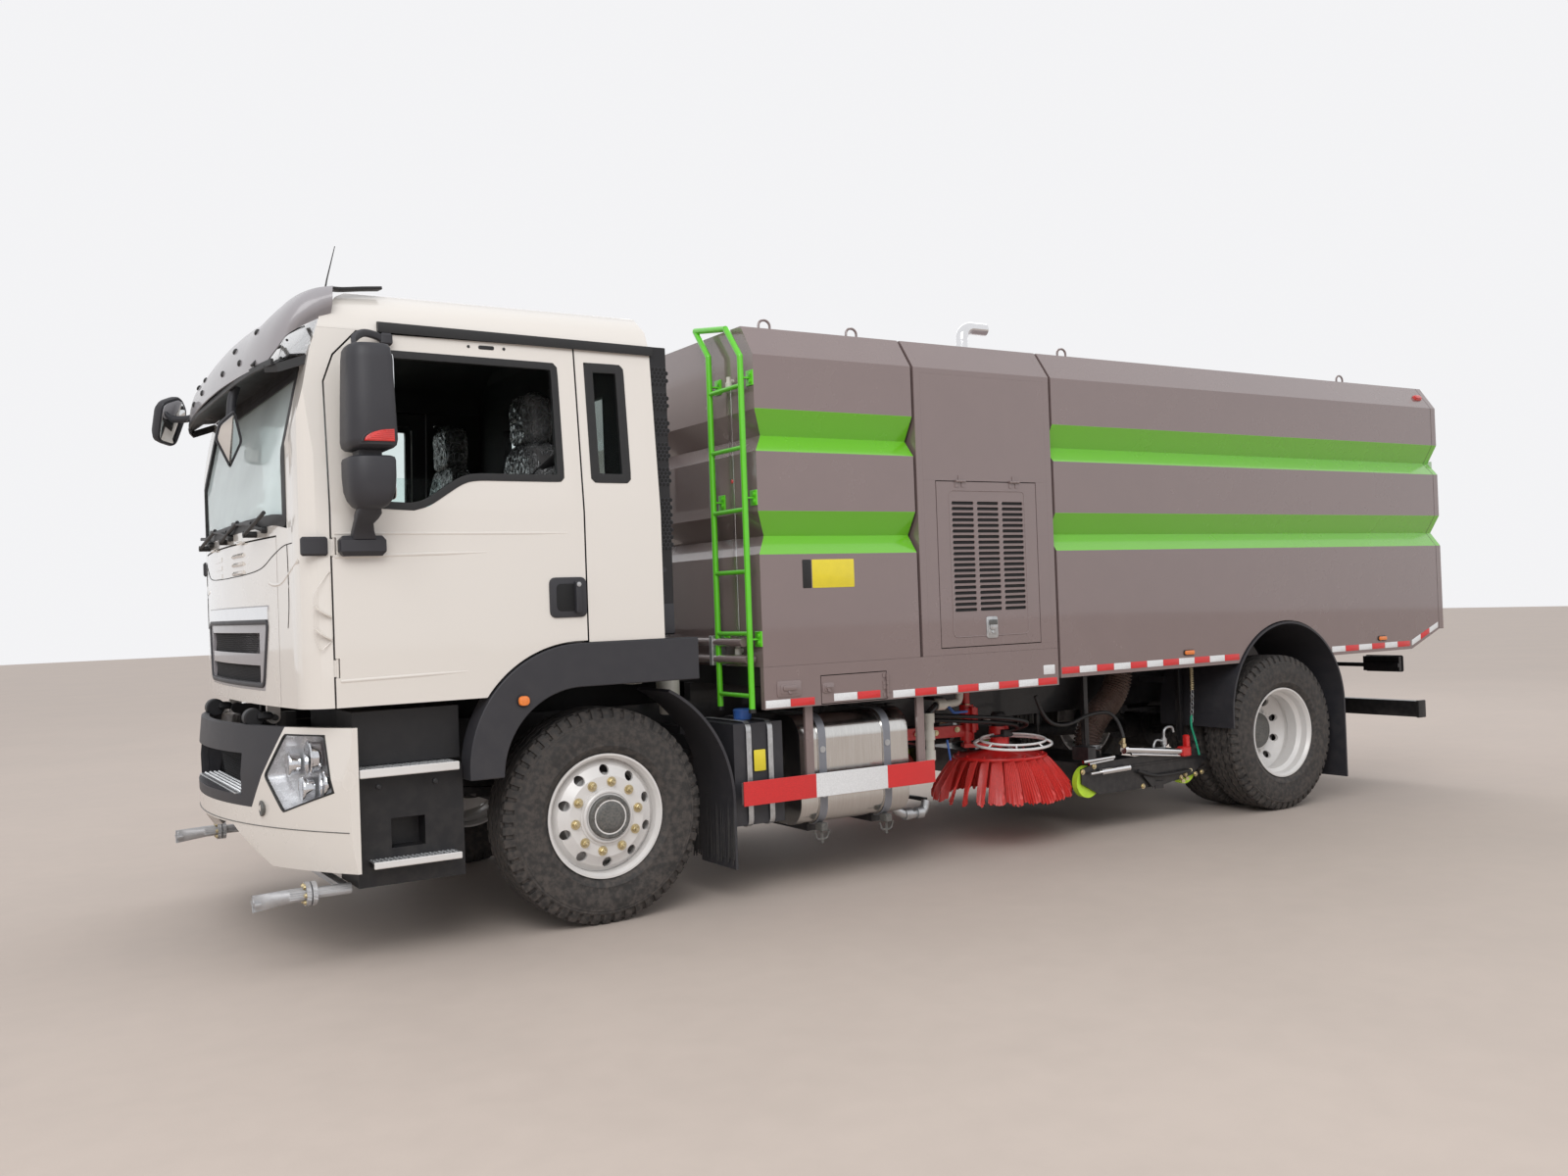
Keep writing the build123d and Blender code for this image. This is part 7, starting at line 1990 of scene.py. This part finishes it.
def make_hoses():
    """The green rope on the lifting chain, and the hoses to the nozzle, to the brush and along the nozzle."""
    brush_ends = ("brush_arm_{side}", "brush_head_{side}")
    cord("lift_rope", rope_route, 0.007, ("suction_nozzle",), "rope")
    cord("arched_hose", arc_route, 0.012, nozzle_lift, "grey_rubber")
    cord("brush_hose_upper", upper_route, 0.012, brush_ends, "grey_rubber")
    cord("brush_hose_lower", lower_route, 0.012, brush_ends, "grey_rubber")
    cord("nozzle_hose", line_route, 0.011, ("suction_nozzle",), "grey_rubber")


wash_x, wash_y, elbow_y = -2.110, 1.0, 0.98
tank_y, tank_z = 0.265, 0.700
tank_straps = (-3.15, -2.80)
filters = [
    # (x, y, foot of the canister, its height, foot of the head)
    (-0.400, 0.640, 1.125, 0.20, 1.335),
    (-0.545, 0.780, 0.960, 0.24, 1.210),
    (-0.600, 0.640, 1.000, 0.20, 1.210),
]


def make_underbody():
    """Painted shade sheets inside the rails, air tanks, hoses, pipes with their valve, filters and strap
    hooks.
    """
    # black sheets along the rails: painted shade under the body, not real splash guards
    sheets = [block((-4.350, -0.900), (0.402, 0.408), (0.925, 1.095), 0.001),
              block((-0.690, 0.900), (0.402, 0.408), (0.925, 1.220), 0.001)]
    show("splash_sheets", both(joined(*sheets)), "root", "black_void", "chassis_paint")
    tank = [(0.001, -0.02), (0.080, 0.0), (0.125, 0.035), (0.125, 0.665), (0.080, 0.700), (0.001, 0.720)]
    tanks = joined(*(lathe(tank, (-3.340, y, tank_z), "x", 36) for y in (tank_y, -tank_y)))
    show("air_tanks", tanks, "root", "chassis", sharp=40)
    straps = joined(*(lathe([(0.124, -0.015), (0.129, -0.015), (0.129, 0.015), (0.124, 0.015)],
                            (x, y, tank_z), "x", 36) for x in tank_straps for y in (tank_y, -tank_y)))
    show("air_tank_straps", straps, "root", "steel")
    cross = joined(*(block((x - 0.03, x + 0.03), (-0.402, 0.402), (0.820, 0.915))
                     for x in (-3.95, *tank_straps, -1.60)))
    show("cross_hangers", cross, "root", "chassis")
    bundle = [tube(smooth_path([(-1.1, 0.30 + 0.03 * k, 0.955),
                                (-1.9, 0.33 + 0.015 * k, 0.950 + 0.02 * (k % 2)),
                                (-2.6, 0.30 + 0.03 * k, 0.955), (-3.3, 0.33 + 0.02 * k, 0.965),
                                (-4.2, 0.30 + 0.03 * k, 0.955)], 6), 0.012, sides=8) for k in range(3)]
    show("frame_hoses", both(joined(*bundle)), "root", "grey_rubber", "hose", 50)
    pipe = joined(straight((wash_x, wash_y, 0.585), (wash_x, wash_y, 0.862), 0.027, 22),
                  *(drum(0.033, -0.028, 0.028, (wash_x, wash_y, z), "z", 22)
                    for z in (0.620, 0.735, 0.835)),
                  bent([(-2.180, elbow_y, 0.905), (-2.280, elbow_y, 0.905), (-2.345, elbow_y, 0.915),
                        (-2.360, elbow_y, 0.960), (-2.360, 0.97, 1.020)], 0.024, (0, 1, 0), 18),
                  drum(0.034, -0.03, 0.03, (-2.210, elbow_y, 0.905), "x", 22))
    grey = straight((-3.060, 0.40, 0.700), (-3.060, 0.40, 0.980), 0.024, 16)
    show("wash_pipes", both(joined(pipe, grey)), "root", "canister", sharp=50)
    mounts = joined(block((-2.150, -2.070), (0.43, wash_y), (0.655, 0.672), 0.003),
                    block((-2.250, -2.170), (0.43, elbow_y), (0.930, 0.945), 0.003),
                    straight((wash_x, wash_y, 0.862), (-2.180, 0.985, 0.905), 0.020))
    show("pipe_mounts", both(mounts), "root", "chassis")
    lever = joined(block((-2.390, -2.285), (1.000, 1.020), (0.845, 0.860)),
                   straight((-2.290, 1.010, 0.852), (-2.260, 0.990, 0.895), 0.009, 8),
                   straight((-2.235, 1.030, 0.580), (-2.215, 1.030, 0.700), 0.006, 8))
    show("valve_levers", both(lever), "root", "blue")
    low_pipe = joined(bent([(-1.880, 0.930, 0.385), (-1.890, 0.940, 0.325), (-1.950, 0.950, 0.292),
                            (-2.040, 0.945, 0.286), (-2.095, 0.940, 0.300), (-2.115, 0.935, 0.350)], 0.026,
                           (0, 1, 0), 18, 7),
                      *(drum(0.034, -0.022, 0.022, (x, 0.950, z), "x", 20)
                        for x, z in ((-1.965, 0.290), (-2.050, 0.289))))
    show("drain_pipes", low_pipe, "root", "steel", sharp=50)
    pads = joined(block((-1.905, -1.865), (0.43, 0.950), (0.372, 0.392), 0.003),
                  block((-2.130, -2.100), (0.43, 0.935), (0.345, 0.365), 0.003),
                  block((-2.130, -1.865), (0.43, 0.470), (0.345, 0.700)))
    show("drain_pipe_mounts", pads, "root", "chassis")
    canisters = joined(*(lathe([(0.001, 0.0), (0.048, 0.004), (0.055, 0.014), (0.055, height),
                                (0.048, height + 0.008), (0.001, height + 0.01)], (x, y, low), "z", 28)
                         for x, y, low, height, head in filters))
    heads = joined(*(block((x - 0.055, x + 0.055), (y - 0.055, y + 0.055), (head, head + 0.055), 0.010)
                     for x, y, low, height, head in filters),
                   *(drum(0.022, 0.0, 0.03, (x, y + 0.05, head + 0.02), "y", 14)
                     for x, y, low, height, head in filters),
                   block((-0.700, -0.340), (0.43, 0.585), (1.180, 1.205)))
    show("filter_canisters", canisters, "root", "canister", sharp=50)
    show("filter_heads", heads, "root", "steel")
    hooks = [block((x - 0.020, x + 0.020), (1.085, 1.150), (0.300, 0.345), 0.005) for x in strap_places]
    hooks += [straight((x, 1.120, 0.235), (x, 1.120, 0.305), 0.008, 10) for x in strap_places]
    hooks += [bent([(x - 0.045, 1.120, 0.300), (x - 0.030, 1.120, 0.262), (x, 1.120, 0.258),
                    (x + 0.030, 1.120, 0.262), (x + 0.045, 1.120, 0.300)], 0.006, (0, 1, 0), 8, 5)
              for x in strap_places]
    show("strap_hooks", joined(*hooks), "root", "hub", "chrome")


spray_y, spray_z = 1.100, 0.350


def make_spray_gear():
    """The frame with its corner spray nozzles in cast silver, apart from the black rails."""
    parts = solid_parts("chassis_frame")
    sprays = [part for part in parts if part[0][:, 0].min() > 1.21 and np.abs(part[0][:, 1]).max() > 1.0
              and part[0][:, 2].max() < 0.75]
    rest = [part for part in parts if not any(part is one for one in sprays)]
    show_rounded("frame_rails", rest, "root", "chassis", "chassis_paint", 0.002, ["chassis_frame"],
                 segments=1)
    show_rounded("spray_nozzles", sprays, "root", "spray", "chassis_paint", 0.003)
    lips = swept(rectangle(0.0945, 0.016, 0.006, 3),
                 [(1.600, spray_y, spray_z - 0.010), (1.628, spray_y, spray_z - 0.012)])
    show("spray_lips", both(lips), "root", "spray")
    flange_bolts = joined(*(placed(bolt(0.009),
                                   (1.416, spray_y + 0.038 * math.cos(a), spray_z + 0.038 * math.sin(a)),
                                   (0, 1, 0)) for a in np.arange(6) * math.pi / 3))
    show("spray_bolts", both(flange_bolts), "root", "brass")


# Rear door, roofs and the plate behind
rear_face = -6.860
plate_x, bar_x = -6.712, -6.780
lamp_back_x, lamp_lens_x = -6.585, -6.600


def make_rear_face():
    """The rear door's frame, ribs, clamps, strips and hatch, and below it a blank plate, lamps and a bar."""
    frame = rounded([(-1.06, 1.30), (1.06, 1.30), (1.06, 2.84), (-1.06, 2.84)], 0.06, 6)
    rim = tube(np.c_[np.full(len(frame), rear_face), frame], 0.010, (1, 0, 0), 8, close_path=True)
    section = np.array([(-0.045, 0.0), (-0.030, 0.014), (0.030, 0.014), (0.045, 0.0)])
    ribs = []
    for z in (1.66, 2.06, 2.46):
        ends = [(rear_face + 0.001, -0.98, z), (rear_face + 0.001, 0.98, z)]
        ribs.append(swept(section[:, ::-1] * [-1, 1], ends))
    show("rear_door_ribs", joined(rim, *ribs), "rear_door", "plain_body")
    lip = facing_rear(rectangle(0.40, 0.30, 0.02) + [0.0, 1.47], rear_face, 0.012, 0.004)
    hatch_hinges = joined(*(facing_rear(rectangle(0.09, 0.035, 0.008) + [y, 1.61], rear_face - 0.010, 0.012,
                                        0.004) for y in (-0.13, 0.13)))
    show("rear_hatch", joined(lip, hatch_hinges), "rear_door", "plain_body")
    show("rear_hatch_latch",
         facing_rear(rectangle(0.10, 0.045, 0.010) + [0, 1.365], rear_face - 0.012, 0.012, 0.004),
         "rear_door", "steel")
    clamps, rods = [], []
    for y in (1.11, -1.11):
        clamps.append(facing_rear(rectangle(0.075, 0.20, 0.010) + [y, 1.42], rear_face, 0.026, 0.006))
        clamps.append(facing_rear(rectangle(0.050, 0.07, 0.010) + [y, 1.30], rear_face, 0.040, 0.006))
        rods.append(straight((rear_face - 0.034, y, 1.33), (rear_face - 0.034, y, 1.56), 0.012))
    show("rear_clamps", joined(*clamps), "rear_door", "plain_body")
    show("rear_clamp_rods", joined(*rods), "rear_door", "chrome")
    for name, start in stripe_starts:
        forms = []
        for k in range(start, 12, 2):
            forms.append(facing_rear(rectangle(0.188, 0.045, 0.003) + [-1.045 + 0.19 * k, 1.245], rear_face,
                                     0.0015, 0.0005))
        for k in range(start, 6, 2):
            for y in (-1.185, 1.185):
                forms.append(facing_rear(rectangle(0.045, 0.148, 0.003)
                                         + [y, 1.36 + 0.15 * (k % 3) + (0.69 if k > 2 else 0)], rear_face,
                                         0.0015, 0.0005))
        show(f"rear_strips_{name}", joined(*forms), "rear_door", f"{name}_sheet")
    holder = joined(block((plate_x, -6.702), (-0.26, 0.26), (0.640, 0.800)),
                    block((plate_x, -6.700), (-0.20, -0.16), (0.60, 0.66), 0.003),
                    block((plate_x, -6.700), (0.16, 0.20), (0.60, 0.66), 0.003))
    show("plate_holder", holder, "root", "chassis")
    show("blank_rear_plate", facing_rear(rectangle(0.44, 0.140, 0.008) + [0, 0.725], plate_x, 0.003, 0.001),
         "root", "yellow")
    lamps, lenses = [], []
    for y in (0.93, -0.93):
        lamps.append(facing_rear(rectangle(0.310, 0.125, 0.015) + [y, 0.905], lamp_back_x, 0.012, 0.004))
        for k in (-1, 0, 1):
            lens = rectangle(0.085, 0.095, 0.010) + [y + k * 0.092, 0.905]
            lenses.append((k, facing_rear(lens, lamp_lens_x, 0.012, 0.005)))
    show("tail_lamp_backs", joined(*lamps), "root", "grey_rubber")
    show("tail_lenses_red", joined(*(form for k, form in lenses if k != 1)), "root", "ruby")
    show("tail_lenses_amber", joined(*(form for k, form in lenses if k == 1)), "root", "amber")
    bar_ends = joined(*(block((-6.785, -6.695), (y - 0.012, y + 0.012), (0.490, 0.620))
                        for y in (1.118, -1.118)))
    show("rear_bar_ends", bar_ends, "root", "grey_rubber")
    for name, start in stripe_starts:
        forms = [facing_rear(rectangle(0.180, 0.050, 0.003) + [-1.0 + 0.20 * k, 0.555], bar_x, 0.0015,
                             0.0005) for k in range(start, 11, 2)]
        show(f"rear_bar_{name}", joined(*forms), "root", f"{name}_sheet")


def make_roof_gear():
    """Ribs, hatches, vents and lids on the roofs of the cab, tank, engine housing and hopper."""
    rib = np.array([(-0.035, 0.0), (-0.022, 0.010), (0.022, 0.010), (0.035, 0.0)])
    ribs = [swept(rib, [(x, -1.06, hopper_roof), (x, 1.06, hopper_roof)])
            for x in (-3.45, -4.05, -4.95, -5.55, -6.35)]
    lid = block((-4.80, -4.20), (-0.36, 0.36), (hopper_roof + 0.001, hopper_roof + 0.030), 0.008)
    lid_hinges = joined(*(straight((-4.20, y - 0.05, hopper_roof + 0.022),
                                   (-4.20, y + 0.05, hopper_roof + 0.022), 0.012, 12)
                          for y in (-0.22, 0.22)))
    handle = bent([(-4.72, -0.07, hopper_roof + 0.03), (-4.72, -0.06, hopper_roof + 0.06),
                   (-4.72, 0.06, hopper_roof + 0.06), (-4.72, 0.07, hopper_roof + 0.03)], 0.007, (1, 0, 0),
                  10, 5)
    show("hopper_roof_ribs", joined(*ribs), "hopper", "plain_body")
    show("hopper_roof_lid", joined(lid, lid_hinges, handle), "hopper", "plain_body")
    manhole_x = -1.34
    manhole = lathe([(0.001, 0.052), (0.200, 0.050), (0.235, 0.044), (0.240, 0.030), (0.240, 0.022),
                     (0.262, 0.020), (0.262, 0.001), (0.001, 0.001)], (manhole_x, 0.0, hopper_roof), "z")
    ring_bolts = turned_copies(moved(bolt(0.009), (manhole_x + 0.252, 0.0, hopper_roof + 0.020)),
                               np.arange(12) * math.pi / 6, (manhole_x, 0, 0), "z")
    vent = lathe([(0.001, 0.085), (0.040, 0.082), (0.046, 0.070), (0.046, 0.055), (0.026, 0.050),
                  (0.026, 0.001), (0.001, 0.001)], (-1.62, 0.45, hopper_roof), "z", 28)
    show("tank_manhole", manhole, "root", "plain_body")
    show("manhole_bolts", ring_bolts, "root", "steel")
    show("tank_vent", vent, "root", "grey_rubber")
    # the black frame under the slats is painted shade in the gaps between them
    hood_frame = block((-2.78, -2.00), (-0.62, 0.30), (hopper_roof + 0.001, hopper_roof + 0.016), 0.005)
    slats = [swept(np.array([(-0.020, 0.0), (0.016, 0.020), (0.020, 0.020), (-0.014, 0.0)]),
                   [(x, -0.58, hopper_roof + 0.014), (x, 0.26, hopper_roof + 0.014)])
             for x in np.arange(-2.74, -2.03, 0.052)]
    show("engine_air_frame", hood_frame, "root", "black_void", "body_paint")
    show("engine_air_slats", joined(*slats), "root", "plain_body")
    collar = lathe([(0.039, -0.003), (0.050, 0.0), (0.050, 0.012), (0.040, 0.014)],
                   (-2.70, 0.72, hopper_roof), "z", 28)
    show("stack_collar", collar, "root", "steel")
    hatch = block((0.08, 0.62), (-0.30, 0.30), (3.052, 3.094), 0.016)
    show("cab_roof_hatch", hatch, "cab", "cab")
    beads = [swept([(-0.018, 0.0), (-0.010, 0.006), (0.010, 0.006), (0.018, 0.0)],
                   [(0.68, y, 3.056), (0.30, y, 3.0735), (-0.08, y, 3.084)]) for y in (0.42, -0.42)]
    show("cab_roof_beads", joined(*beads), "cab", "cab")


for make in (
    make_camera, make_stage, dress_nodes, make_tyres, make_wheel_trim, make_strips, make_louvres,
    make_body_fittings, make_ladder_fittings, make_seals, make_cab_side_trim, make_intake_columns,
    make_grille_trim, make_headlamps, make_bumper_trim, make_rounded_panels, make_mirrors,
    make_kerb_mirrors, make_visor, make_front_seams, make_wipers, make_step_trim, make_tank_trim,
    make_guards, make_mudflaps, make_interior, make_brushes, make_suction_hoses, make_nozzle_gear,
    make_hoses, make_underbody, make_spray_gear, make_rear_face, make_roof_gear,
):
    make()
